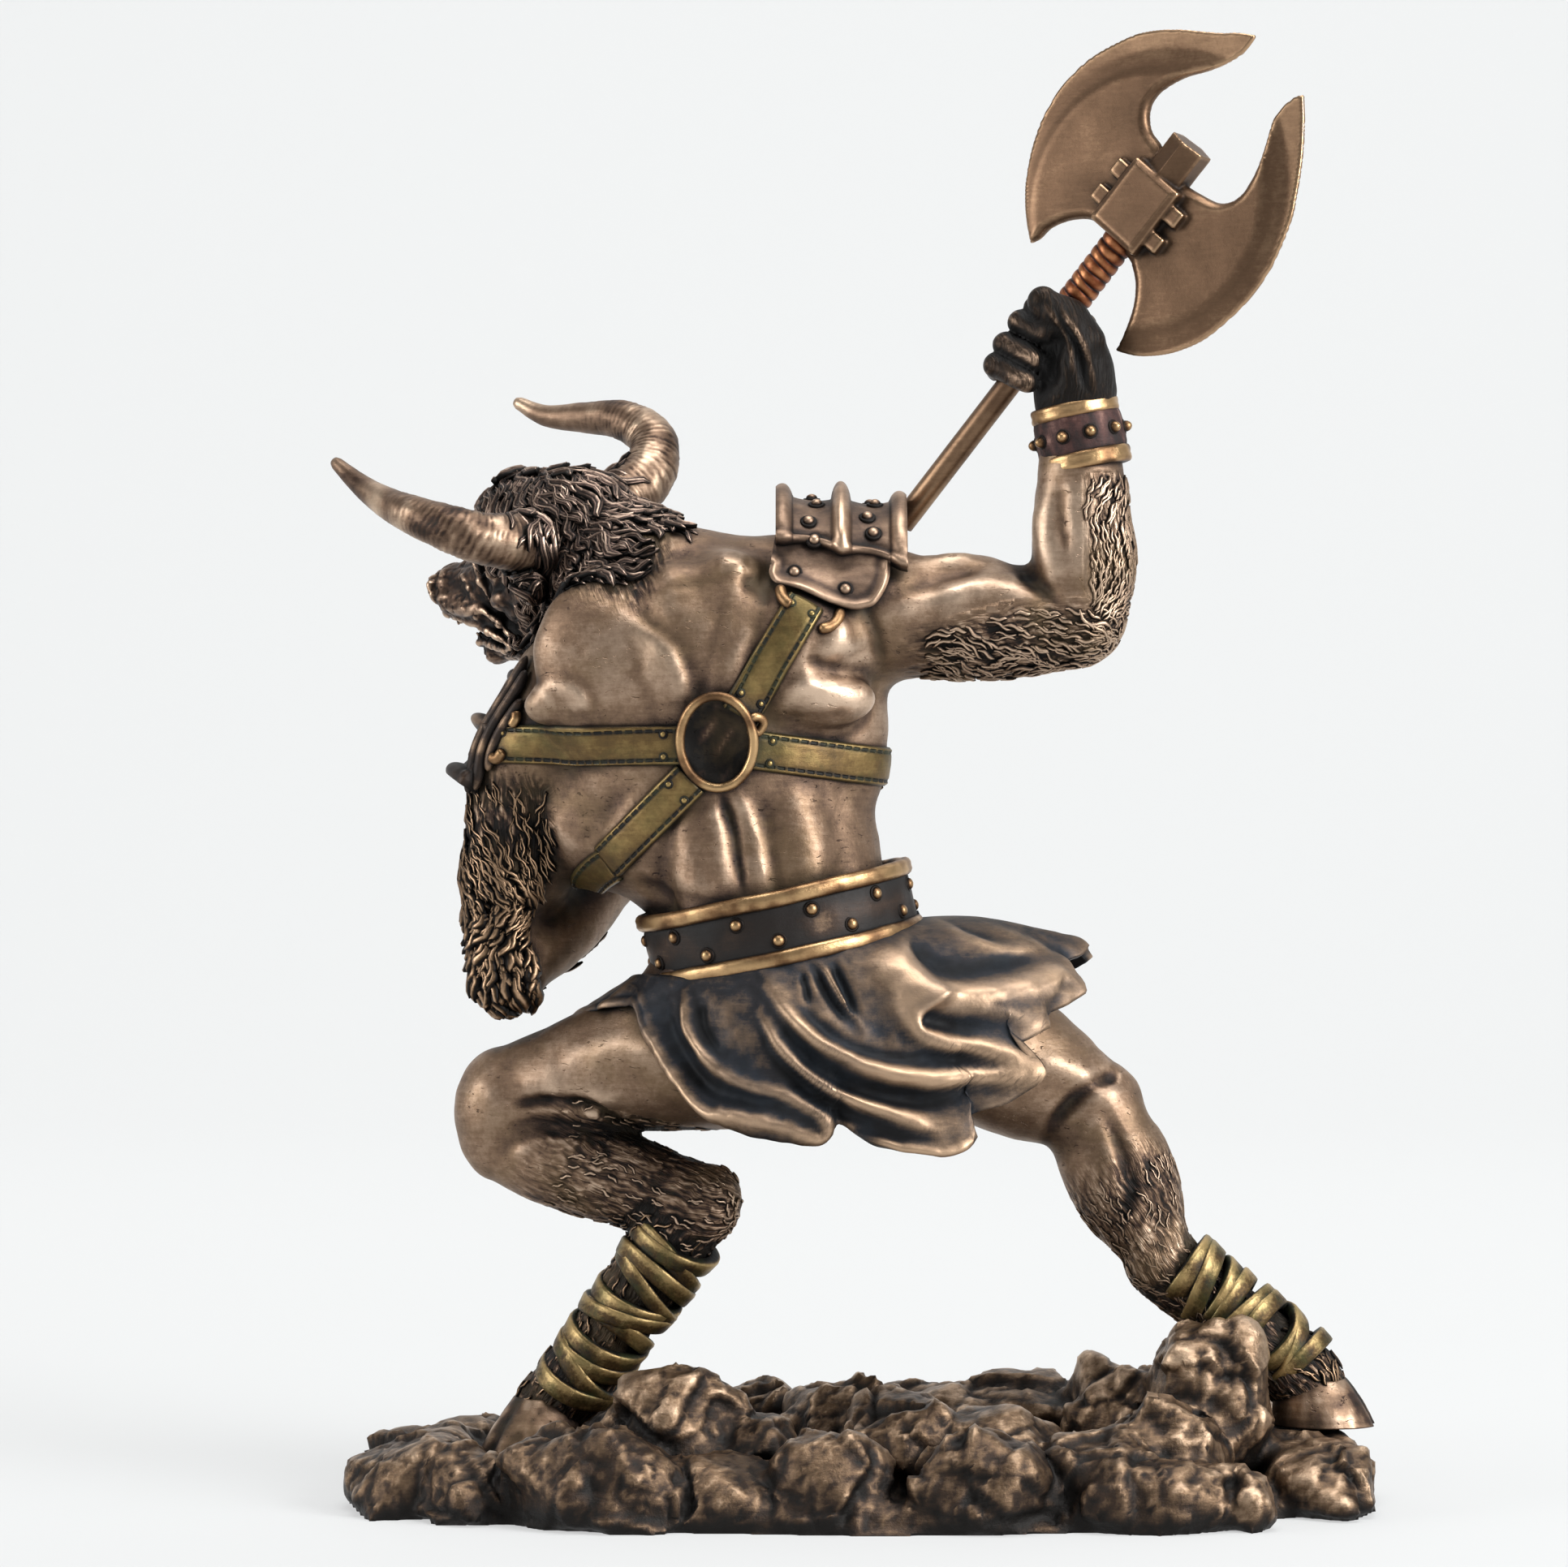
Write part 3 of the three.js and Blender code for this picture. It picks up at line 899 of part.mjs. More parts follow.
// Double axe: two crescent blades on a socket block, a bound neck and a plain shaft
function axeHead() {
  const n = unit(add(AXE.normal, shaftAxis, -dot(AXE.normal, shaftAxis)));
  const side = cross(shaftAxis, n);
  const basis = new THREE.Matrix4().makeBasis(vector(side), vector(shaftAxis), vector(n));
  const place = basis.clone().setPosition(vector(AXE.centre));
  const outline = (grow) => {
    const half = [[4, 8.5], [8.8, 11.5], [11.7, 15.3], [12.1, 21.3], [10.5, 26.4], [8.3, 32], [8.2, 39.6],
      [16.2, 34.7], [22, 29.6], [26.7, 24], [31.8, 15.4], [34.4, 5.3], [34.1, -0.5], [32, -5.7], [28.2, -13],
      [22.6, -19.3], [15.4, -23.3], [14, -18.4], [11.2, -14], [6.5, -10.3], [3.2, -9.3]];
    const points = half.map(([x, y]) => new THREE.Vector2(x, y));
    const mirrored = half.map(([x, y]) => new THREE.Vector2(-x, y)).reverse();
    return [...points, ...mirrored].map((p) => p.multiplyScalar(grow));
  };
  const plate = new THREE.ExtrudeGeometry(new THREE.Shape(outline(1)), { depth: BLADE_THICKNESS, bevelEnabled: false });
  plate.translate(BLADE_SHIFT, 0, -BLADE_THICKNESS / 2);
  let blades = solid(plate);
  // The cutting edges are ground from both faces by a wide cone about the blade's centre
  const grindCentre = new THREE.Vector3(BLADE_SHIFT, 2, 0);
  for (const face of [-1, 1]) {
    const profile = [new THREE.Vector2(25.5, BLADE_THICKNESS / 2 + 0.02), new THREE.Vector2(60, -4.2),
      new THREE.Vector2(60, 8), new THREE.Vector2(25.5, 8)];
    profile.push(profile[0].clone());
    const lathe = new THREE.LatheGeometry(profile.map((p) => p.clone()), 28);
    lathe.rotateX(face * Math.PI / 2);
    lathe.translate(grindCentre.x, grindCentre.y, 0);
    blades = blades.subtract(solid(lathe));
  }
  const block = new THREE.BoxGeometry(10.7, 14.5, 10.4);
  const parts = [blades, solid(block)];
  const collar = new THREE.CylinderGeometry(4.4, 4.4, 9.5, 6);
  collar.translate(0, 11.2, 0);
  parts.push(solid(collar));
  for (const x of [-1, 1]) {
    for (const y of [-3.1, 3.4]) {
      const stud = new THREE.BoxGeometry(3.2, 3.4, 8.2);
      stud.translate(x * 6.6, y, 0);
      parts.push(solid(stud));
    }
  }
  return joined(parts.map((p) => p.transform([...place.elements])));
}
function axe() {
  const pieces = [axeHead(), rod(onShaft(-70), onShaft(-4), SHAFT_RADIUS, SHAFT_RADIUS, 14)];
  const profile = [];
  const turns = 5;
  for (let i = 0; i < turns; i += 1) {
    profile.push([i / turns, BINDING_RADIUS - 0.5], [(i + 0.5) / turns, BINDING_RADIUS]);
  }
  profile.push([1, BINDING_RADIUS - 0.5]);
  pieces.push(sleeve(onShaft(-25), onShaft(-7), profile, 14));
  pieces.push(rod(onShaft(-83), onShaft(-69), SHAFT_RADIUS, SHAFT_RADIUS, 14));
  return joined(pieces);
}

const form = bodyForm();
const net = netSurface(form, [-118, -50, 4], [104, 66, 256], GRID);
// The head, the mane and the gripping hand are kept finer than the broad muscles
const FINE = [[HEAD.centre, 34, 4], [[36, -4, 237], 16, 9], [[-45, 49, 137], 12, 3], [[-30, -20, 156], 13, 8],
  [[-30, -16, 160], 42, 2.2], [[-48, 3, 40], 20, 2], [[78, 0, 35], 20, 2]];
const detail = (p) => FINE.reduce((m, [c, r, w]) => (size(sub(p, c)) < r ? Math.max(m, w) : m), 1);
const flesh = thin(net, BODY_FACES, detail);
let figure = solid(geometryOf(flesh.points, flesh.faces));
figure = joined([
  figure, belt(), kilt(), ...harness(form),
  ...pauldron([-5, 4, 186.5], unit([1, 0, -0.06]), [0, 0, 1], PAULDRON_RADIUS, 24, 0.36, 2.6, true),
  ...pauldron([-66, 13, 151.5], unit([0.54, 0, 0.84]), unit([-0.84, 0.05, 0.54]), 15, 23, 0.8, 2.6, false),
  sleeve([43.9, -5.6, 211.5], [42.9, -5.1, 225.6],
    [[0, 9], [0.05, 10], [0.18, 10], [0.24, 9.3], [0.76, 9.1], [0.82, 9.6], [0.95, 9.6], [1, 8.6]], 16),
  wrap([-36.5, 0.2, 57.5], LEFT.fetlock, 8.2, 7.4),
  wrap([63, -1.9, 47], [90, 1.1, 24.8], 7.4, 7.6),
]);
figure = thinSolid(figure, CAST_FACES, detail);
figure = joined([figure, ...HOOVES.map((h) => hoof(h.top, h.ground, h.heading))]);
figure = figure.subtract(rod(onShaft(-60), onShaft(-24.5), SHAFT_RADIUS + CAST_GAP, SHAFT_RADIUS + CAST_GAP, 14));
figure = figure.subtract(rod(onShaft(-25.4), onShaft(-5), BINDING_RADIUS + CAST_GAP, BINDING_RADIUS + CAST_GAP, 14));
figure = figure.subtract(rod(onShaft(-84), onShaft(-59), SHAFT_RADIUS + CAST_GAP, SHAFT_RADIUS + CAST_GAP, 14));

const bronze = new THREE.MeshStandardMaterial({ color: '#8a7355', metalness: 0.85, roughness: 0.42 });
const stone = new THREE.MeshStandardMaterial({ color: '#6d5b48', metalness: 0.7, roughness: 0.55 });
const steel = new THREE.MeshStandardMaterial({ color: '#8b7358', metalness: 0.9, roughness: 0.34 });
const statue = new THREE.Group();
statue.add(meshOf('figure', figure, bronze));
statue.add(meshOf('rock_base', rockBase(), stone));
statue.add(meshOf('axe', axe(), steel));

export default statue;
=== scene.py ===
"""Minotaur statue in cold-cast bronze, seen from behind: a bull-headed warrior with a double axe, on rocks.

All shapes are worked out in millimetres in the frame of the CAD model (+Z up, the figure's back towards -Y)
and turned to metres as they become meshes.
"""
import math

import bpy
import numpy as np
from mathutils import Matrix


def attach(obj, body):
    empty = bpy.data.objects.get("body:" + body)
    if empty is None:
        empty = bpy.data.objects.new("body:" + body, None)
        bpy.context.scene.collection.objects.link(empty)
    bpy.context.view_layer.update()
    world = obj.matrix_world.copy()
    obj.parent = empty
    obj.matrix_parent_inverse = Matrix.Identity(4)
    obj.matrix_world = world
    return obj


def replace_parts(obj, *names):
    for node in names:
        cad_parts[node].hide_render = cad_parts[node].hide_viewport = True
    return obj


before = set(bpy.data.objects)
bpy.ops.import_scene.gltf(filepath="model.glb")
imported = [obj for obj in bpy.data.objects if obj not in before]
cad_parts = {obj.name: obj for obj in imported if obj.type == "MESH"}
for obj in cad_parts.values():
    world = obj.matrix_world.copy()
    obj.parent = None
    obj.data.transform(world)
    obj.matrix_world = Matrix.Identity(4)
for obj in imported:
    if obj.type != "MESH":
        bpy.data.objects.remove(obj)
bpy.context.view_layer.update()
MM = 0.001

# Spacing of the carved surfaces
BODY_STEP = 0.82
HEAD_STEP = 0.57
HAND_STEP = 0.54
ROCK_EDGE = 1.15
ROCK_SWELL = 0.55

# Driving dimensions, the same as the CAD model's
STRAP_WIDTH = 8.0
SHAFT_RADIUS = 2.5
BINDING_RADIUS = 3.4
BLADE_THICKNESS = 4.2
BLADE_SHIFT = 1.8

# Landmarks of the pose; left and right are the viewer's, looking at the back
PELVIS, WAIST_POINT, RIBS = (-16.4, 2, 109.1), (-19.4, 3, 126.7), (-29.8, 7, 153.3)
CHEST, NECK, NAPE = (-36.1, 7, 173.1), (-40.3, 6, 182.2), (-57.4, 18, 195.4)
LEFT = {
    "shoulder": (-72.9, 13, 157.5), "elbow": (-74.5, 9, 106.3), "wrist": (-53.8, 38, 127.9),
    "fist": (-44.9, 49, 137), "hip": (-32.7, 2, 94.1), "knee": (-76.6, 11, 78.8),
    "hock": (-35.2, 0, 60.2), "fetlock": (-59.6, 6, 24.5),
}
RIGHT = {
    "shoulder": (1.5, 2, 183.1), "elbow": (44.2, -6, 181.6), "wrist": (42.8, -5, 224.9),
    "hip": (5.7, 2, 103.3), "knee": (47.1, 1, 80.8), "hock": (60.6, -3, 51.1), "fetlock": (88.2, 1, 27),
}
HEAD_CENTRE = np.array([-62, 18, 199.5])
HEAD_AXES = np.array([[0.674, 0.663, 0.326], [-0.649, 0.742, -0.169], [-0.354, -0.098, 0.93]])
AXE_CENTRE, AXE_FOOT = np.array([56.6, -8, 264.8]), np.array([5.9, 14, 198.7])
AXE_NORMAL = np.array([-0.26, -0.906, 0.33])
RING_CENTRE = np.array([-30.3, -20, 156.3])
NEAR_HORN = [(-66.5, 8, 197), (-68.6, 5.8, 197), (-76, -0.3, 197.4), (-84, -2.7, 199.4), (-91.6, 1.2, 202.2),
             (-98.4, 8.4, 205.2), (-104.6, 15.8, 209.2), (-110.8, 21.5, 214.6)]
FAR_HORN = [(-53, 21.5, 203.5), (-50.4, 23.8, 206.2), (-44.8, 29.4, 212.3), (-44.4, 35.1, 219.4),
            (-51, 41.2, 223.6),
            (-59, 47.1, 224.4), (-67.5, 51.8, 225), (-74.5, 55.8, 228.3)]
HORN_RADII = [6.2, 6.0, 5.5, 4.9, 4.2, 3.3, 2.3, 1.25]


# Vector tools on whole arrays
def unit(v):
    v = np.asarray(v, float)
    return v / np.maximum(np.linalg.norm(v, axis=-1, keepdims=True), 1e-9)


def axes(hint, along):
    """Three axes: z along the direction given, x the hint made square to it, y across both."""
    z = unit(along)
    x = unit(np.asarray(hint, float) - z * (np.asarray(hint, float) @ z))
    return np.array([x, np.cross(z, x), z])


def mix(a, b, t):
    return a + (b - a) * t


def around(count):
    """The angles of places spread evenly round a circle."""
    return 2 * np.pi * np.arange(count) / count


def length_along(path):
    """How far along a path each of its points lies."""
    return np.r_[0, np.cumsum(np.linalg.norm(np.diff(path, axis=0), axis=1))]


def evened(values, rounds):
    """A closed row blurred along itself: each value becomes half itself and a quarter of each neighbour."""
    for _ in range(rounds):
        values = (np.roll(values, 1, 0) + np.roll(values, -1, 0) + 2 * values) / 4
    return values


def ramp(x, low, high):
    """Rises smoothly from 0 at low to 1 at high."""
    t = np.clip((x - low) / (high - low), 0, 1)
    return t * t * (3 - 2 * t)


def hash01(*keys):
    """A number from 0 to 1 for each set of whole keys: the fraction of a large sine."""
    n = sum(np.asarray(k, float) * w for k, w in zip(keys, (127.1, 311.7, 74.7, 191.9)))
    s = np.sin(n + 17.3) * 43758.5453
    return s - np.floor(s)


def noise(p, size, seed=0):
    """Smooth value noise from -1 to 1: the hashes of a grid's corners, blended with an S-curve; size is in
    mm."""
    q = np.asarray(p, float) / size + seed * 7.31
    base = np.floor(q)
    t = q - base
    t = t * t * (3 - 2 * t)
    total = 0.0
    for i in (0, 1):
        for j in (0, 1):
            for k in (0, 1):
                w = abs(1 - i - t[..., 0]) * abs(1 - j - t[..., 1]) * abs(1 - k - t[..., 2])
                total = total + w * hash01(base[..., 0] + i, base[..., 1] + j, base[..., 2] + k)
    return total * 2 - 1


def smooth_path(points, n, closed=False):
    """n + 1 places along a Catmull-Rom curve through the points (n of them when the curve is closed)."""
    p = np.asarray(points, float)
    count = len(p) if closed else len(p) - 1
    u = np.arange(n if closed else n + 1) / n * count
    i = np.minimum(u.astype(int), count - 1)
    t = (u - i)[:, None]
    if closed:
        a, b, c, d = (p[(i + k) % len(p)] for k in (-1, 0, 1, 2))
    else:
        ends = np.vstack([2 * p[0] - p[1], p, 2 * p[-1] - p[-2]])
        a, b, c, d = (ends[i + k] for k in range(4))
    return 0.5 * (2 * b + (c - a) * t + (2 * a - 5 * b + 4 * c - d) * t ** 2
                  + (3 * b - a - 3 * c + d) * t ** 3)


class Form:
    """A body blended from rounded limbs and ellipsoids.

    A limb's distance is that to its axis less the radius there; an ellipsoid's is its scaled radius corrected
    by its slope. They join by a smooth minimum, min(a, b) - h*h*soft/4, with h the share of soft left by |a -
    b|.
    """

    def __init__(self):
        self.items = []

    def limb(self, soft, a, b, ra, rb, belly=None, cut=False):
        a, b = np.asarray(a, float), np.asarray(b, float)
        ab = b - a
        span = ab @ ab
        bulge = None if belly is None else 2 * belly - (ra + rb) / 2

        def distance(p):
            ap = p - a
            t = np.clip(ap @ ab / span, 0, 1)
            r = ra + (rb - ra) * t if bulge is None else ra * (1 - t) ** 2 + rb * t * t \
                + 2 * t * (1 - t) * bulge
            return np.linalg.norm(ap - t[:, None] * ab, axis=1) - r

        self.items.append((distance, soft, cut, (a + b) / 2,
                           np.sqrt(span) / 2 + max(ra, rb, belly or 0) * 1.2))
        return self

    def ball(self, soft, c, r, ax=np.eye(3), cut=False):
        c, r, ax = np.asarray(c, float), np.asarray(r, float), np.asarray(ax, float)

        def distance(p):
            q = (p - c) @ ax.T
            k0 = np.linalg.norm(q / r, axis=1) + 1e-9
            k1 = np.linalg.norm(q / (r * r), axis=1) + 1e-9
            return k0 * (k0 - 1) / k1

        self.items.append((distance, soft, cut, c, float(r.max())))
        return self

    def chain(self, soft, points, radii):
        """Limbs joined end to end."""
        for i in range(len(points) - 1):
            self.limb(soft, points[i], points[i + 1], radii[i], radii[i + 1])
        return self

    def settle(self):
        """Keeps the items' centres and reaches as arrays, to find the near ones at once."""
        self.centres = np.array([i[3] for i in self.items])
        self.reaches = np.array([i[4] + i[1] for i in self.items])
        return self

    def near(self, centre, reach):
        gap = np.linalg.norm(self.centres - centre, axis=1) - self.reaches
        return [self.items[i] for i in np.flatnonzero(gap < reach)]

    @staticmethod
    def blend(items, p):
        d = np.full(len(p), 60.0)
        for distance, soft, cut, _, _ in items:
            v = distance(p)
            if cut:
                h = np.maximum(soft - np.abs(-d - v), 0) / soft
                d = -(np.minimum(-d, v) - h * h * soft * 0.25)
            else:
                h = np.maximum(soft - np.abs(d - v), 0) / soft
                d = np.minimum(d, v) - h * h * soft * 0.25
        return d

    def part(self, points, reach=8.0):
        """The items that matter round these points, as a form of their own."""
        p = np.asarray(points, float).reshape(-1, 3)
        centre = (p.min(0) + p.max(0)) / 2
        small = Form()
        small.items = self.near(centre, np.linalg.norm(p - centre, axis=1).max() + reach)
        return small.settle()

    def value(self, p, band=7.0, cell=9.0):
        """The distance at each point; many points are sorted into cells, each with its own near items."""
        shape = np.shape(p)[:-1]
        p = np.asarray(p, float).reshape(-1, 3)
        if len(p) < 1500:
            return self.blend(self.items, p).reshape(shape)
        key = np.floor(p / cell).astype(np.int64)
        key -= key.min(0)
        n = key.max(0) + 1
        line = (key[:, 0] * n[1] + key[:, 1]) * n[2] + key[:, 2]
        order = np.argsort(line, kind="stable")
        starts = np.r_[0, np.flatnonzero(np.diff(line[order])) + 1, len(line)]
        out = np.full(len(p), 60.0)
        for i in range(len(starts) - 1):
            index = order[starts[i]:starts[i + 1]]
            q = p[index]
            middle = (q.min(0) + q.max(0)) / 2
            items = self.near(middle, np.linalg.norm(q.max(0) - q.min(0)) / 2 + band)
            if items:
                out[index] = self.blend(items, q)
        return out.reshape(shape)

    def slope(self, p, e=0.3):
        """The direction out of the body: differences at the four corners of a small tetrahedron."""
        p = np.asarray(p, float)
        total = np.zeros_like(p)
        for k in ((1, -1, -1), (-1, -1, 1), (-1, 1, -1), (1, 1, 1)):
            total = total + np.array(k, float) * self.value(p + np.array(k) * e)[..., None]
        return unit(total)

    def skin(self, p, rounds=5):
        """The nearest skin: each round steps back along the slope by the distance."""
        p = np.asarray(p, float)
        for _ in range(rounds):
            p = p - 0.9 * self.value(p)[..., None] * self.slope(p)
        return p


def carve(form, low, high, step, keep):
    """Nets the form's surface: one point in each cell it crosses, the mean of its edge crossings, and one
    quad for each crossed edge. keep gives the distance to the room that the piece is cut off at, negative
    inside."""
    low, high = np.asarray(low, float), np.asarray(high, float)
    side = 8
    count = np.maximum(1, np.ceil((high - low) / (side * step)).astype(int))
    blocks = np.stack(np.meshgrid(*[np.arange(n) for n in count], indexing="ij"), -1).reshape(-1, 3)

    def value(items, p):
        return np.maximum(form.blend(items, p), keep(p))

    middles = low + (blocks + 0.5) * side * step
    blocks = blocks[np.abs(value(form.items, middles)) < side * step * 1.3]
    corner = np.stack(np.meshgrid(*[np.arange(side + 1)] * 3, indexing="ij"), -1).reshape(-1, 3)
    values = np.empty((len(blocks), side + 1, side + 1, side + 1))
    half = side * step * 0.87
    for b, block in enumerate(blocks):
        start = low + block * side * step
        items = form.near(start + side * step / 2, half + 2)
        values[b] = value(items, start + corner * step).reshape(values[b].shape)
    values[values == 0] = 1e-6
    off = np.array([(i, j, k) for i in (0, 1) for j in (0, 1) for k in (0, 1)], float)
    cube = np.stack([values[:, i:side + i, j:side + j, k:side + k] for i in (0, 1) for j in (0, 1)
                     for k in (0, 1)], -1)
    inside = (cube < 0).sum(-1)
    found = np.nonzero((inside > 0) & (inside < 8))
    cv = cube[found]
    base = blocks[found[0]] * side + np.stack(found[1:], -1)
    total, crossed = np.zeros((len(base), 3)), np.zeros(len(base))
    for a in range(8):
        for b in range(a + 1, 8):
            if abs(off[a] - off[b]).sum() != 1:
                continue
            va, vb = cv[:, a], cv[:, b]
            hit = (va < 0) != (vb < 0)
            t = np.where(hit, va / np.where(hit, va - vb, 1), 0)
            total += np.where(hit[:, None], off[a] + t[:, None] * (off[b] - off[a]), 0)
            crossed += hit
    points = low + (base + total / crossed[:, None]) * step
    n = count * side + 1
    number = (base[:, 0] * n[1] + base[:, 1]) * n[2] + base[:, 2]
    order = np.argsort(number)
    stride = np.array([n[1] * n[2], n[2], 1])
    quads = []
    for axis in range(3):
        first = values[:, :side, :side, :side]
        second = (values[:, 1:, :side, :side], values[:, :side, 1:, :side], values[:, :side, :side, 1:])[axis]
        found = np.nonzero((first < 0) != (second < 0))
        cell = blocks[found[0]] * side + np.stack(found[1:], -1)
        out = first[found] < 0
        u, v = ((1, 2), (2, 0), (0, 1))[axis]
        sound = (cell[:, u] > 0) & (cell[:, v] > 0)
        e = (cell[sound] * stride).sum(1)
        four = np.stack([e, e - stride[u], e - stride[u] - stride[v], e - stride[v]], -1)
        place = np.clip(np.searchsorted(number[order], four), 0, len(order) - 1)
        whole = (number[order][place] == four).all(1)
        four = order[place][whole]
        quads.append(np.where(out[sound][whole][:, None], four, four[:, ::-1]))
    quads = np.concatenate(quads)
    for _ in range(2):
        normals = vertex_normals(points, quads)
        d = np.maximum(form.value(points), keep(points))
        points = points - np.clip(d, -0.4 * step, 0.4 * step)[:, None] * normals
    return points, quads


def strokes(p, lines, spread=1.0):
    """Ridges (+) and grooves (-) laid on a surface seen from behind, in millimetres. Each line is (rise, half
    width above, half width below, points (x, z)); its height falls off beside the smooth line as exp(-(gap /
    width)^2) and runs out at the line's ends. Above is the left hand of someone who walks along it."""
    total = np.zeros(p.shape[:-1])
    for rise, above, below, line in lines:
        above, below = above * spread, below * spread
        run = smooth_path(np.asarray(line, float), 8 * (len(line) - 1))
        reach = 2.4 * max(above, below)
        near = (p[..., 0] > run[:, 0].min() - reach) & (p[..., 0] < run[:, 0].max() + reach) \
            & (p[..., 2] > run[:, 1].min() - reach) & (p[..., 2] < run[:, 1].max() + reach)
        if not near.any():
            continue
        q = p[near][:, [0, 2]]
        a, d = run[:-1], np.diff(run, axis=0)
        gap = q[:, None] - a
        t = np.clip((gap * d).sum(-1) / (d * d).sum(-1), 0, 1)
        off = gap - t[..., None] * d
        best = np.hypot(off[..., 0], off[..., 1]).argmin(1)
        rows = np.arange(len(q))
        off, ahead = off[rows, best], d[best]
        side = ahead[:, 0] * off[:, 1] - ahead[:, 1] * off[:, 0]
        share = (best + t[rows, best]) / len(d)
        ends = np.minimum(1, 0.25 + 4 * share) * np.minimum(1, 0.25 + 4 * (1 - share))
        width = np.where(side > 0, above, below)
        total[near] += rise * ends * np.exp(-(np.hypot(off[:, 0], off[:, 1]) / width) ** 2)
    return total


# Meshes as arrays
def vertex_normals(points, quads, tris=None):
    """The sum of the normals of a point's faces, each as long as its face is large."""
    total = np.zeros((len(points), 3))
    sets = [f for f in (quads, tris) if f is not None and len(f)]
    for faces in sets:
        last = faces.shape[1] - 1
        a = points[faces[:, last - 1]] - points[faces[:, 0]]
        b = points[faces[:, last]] - points[faces[:, 1]]
        n = np.cross(a, b)
        for k in range(faces.shape[1]):
            for d in range(3):
                total[:, d] += np.bincount(faces[:, k], n[:, d], len(points))
    return unit(total)


def relief_of(points, quads, normals, rounds=2, gain=6.0):
    """How far a surface stands out (+1) or lies in (-1): a point's height over the mean of its neighbours,
    against the mean edge, evened over a few rounds."""
    edges = np.concatenate([quads[:, [k, (k + 1) % 4]] for k in range(4)])
    n = len(points)
    degree = np.maximum(np.bincount(edges[:, 0], minlength=n) + np.bincount(edges[:, 1], minlength=n), 1)

    def mean(values):
        return (np.bincount(edges[:, 0], values[edges[:, 1]], n)
                + np.bincount(edges[:, 1], values[edges[:, 0]], n)) / degree

    around = np.stack([mean(points[:, d]) for d in range(3)], 1)
    span = np.bincount(edges[:, 0], np.linalg.norm(points[edges[:, 0]] - points[edges[:, 1]], axis=1), n) \
        / np.maximum(np.bincount(edges[:, 0], minlength=n), 1)
    height = ((points - around) * normals).sum(1) / np.maximum(span, 1e-3)
    for _ in range(rounds):
        height = 0.5 * height + 0.5 * mean(height)
    return np.tanh(height * gain)


class Part:
    """Points, quads, triangles and the two attributes that the finishes read: relief, and lay (mm, mm,
    amount)."""

    def __init__(self, points, quads, tris=None, relief=None, lay=None, normals=None):
        self.points = np.asarray(points, float).reshape(-1, 3)
        self.quads = np.asarray(quads, int).reshape(-1, 4)
        self.tris = np.zeros((0, 3), int) if tris is None else np.asarray(tris, int).reshape(-1, 3)
        if self.volume() < 0:
            self.quads, self.tris = self.quads[:, ::-1], self.tris[:, ::-1]
        self.normals = vertex_normals(self.points, self.quads, self.tris) if normals is None else normals
        if relief is None:
            relief = relief_of(self.points, self.quads, self.normals)
        self.relief = np.broadcast_to(np.asarray(relief, float).reshape(-1), len(self.points)).copy()
        self.lay = np.zeros((len(self.points), 3)) if lay is None else np.asarray(lay, float).reshape(-1, 3)

    def volume(self):
        """Six times the room inside, negative when the faces point inwards."""
        p, q, t = self.points, self.quads, self.tris
        total = 0.0
        for a, b, c in ((0, 1, 2), (0, 2, 3)):
            total += (p[q[:, a]] * np.cross(p[q[:, b]], p[q[:, c]])).sum()
        return total + (p[t[:, 0]] * np.cross(p[t[:, 1]], p[t[:, 2]])).sum()


def swept(rings, ring_path=False, relief=None, lay=None):
    """A closed skin over rings of points (count, sides, 3); the ends are fans to their middle points."""
    n, m, _ = rings.shape
    i, j = np.meshgrid(np.arange(n if ring_path else n - 1), np.arange(m), indexing="ij")
    a, b = i * m + j, ((i + 1) % n) * m + j
    c, d = ((i + 1) % n) * m + (j + 1) % m, i * m + (j + 1) % m
    quads = np.stack([a, b, c, d], -1).reshape(-1, 4)
    points = rings.reshape(-1, 3)
    if relief is not None:
        relief = np.broadcast_to(relief, (n, m)).reshape(-1)
    if lay is not None:
        lay = np.broadcast_to(lay, (n, m, 3)).reshape(-1, 3)
    if ring_path:
        return Part(points, quads, None, relief, lay)
    points = np.vstack([points, rings[0].mean(0), rings[-1].mean(0)])
    k = np.arange(m)
    start, end = n * m, n * m + 1
    tris = np.concatenate([
        np.stack([np.full(m, start), k, (k + 1) % m], -1),
        np.stack([np.full(m, end), (n - 1) * m + (k + 1) % m, (n - 1) * m + k], -1)])
    if relief is not None:
        relief = np.concatenate([relief, [relief[0], relief[-1]]])
    if lay is not None:
        lay = np.vstack([lay, lay[0], lay[-1]])
    return Part(points, quads, tris, relief, lay)


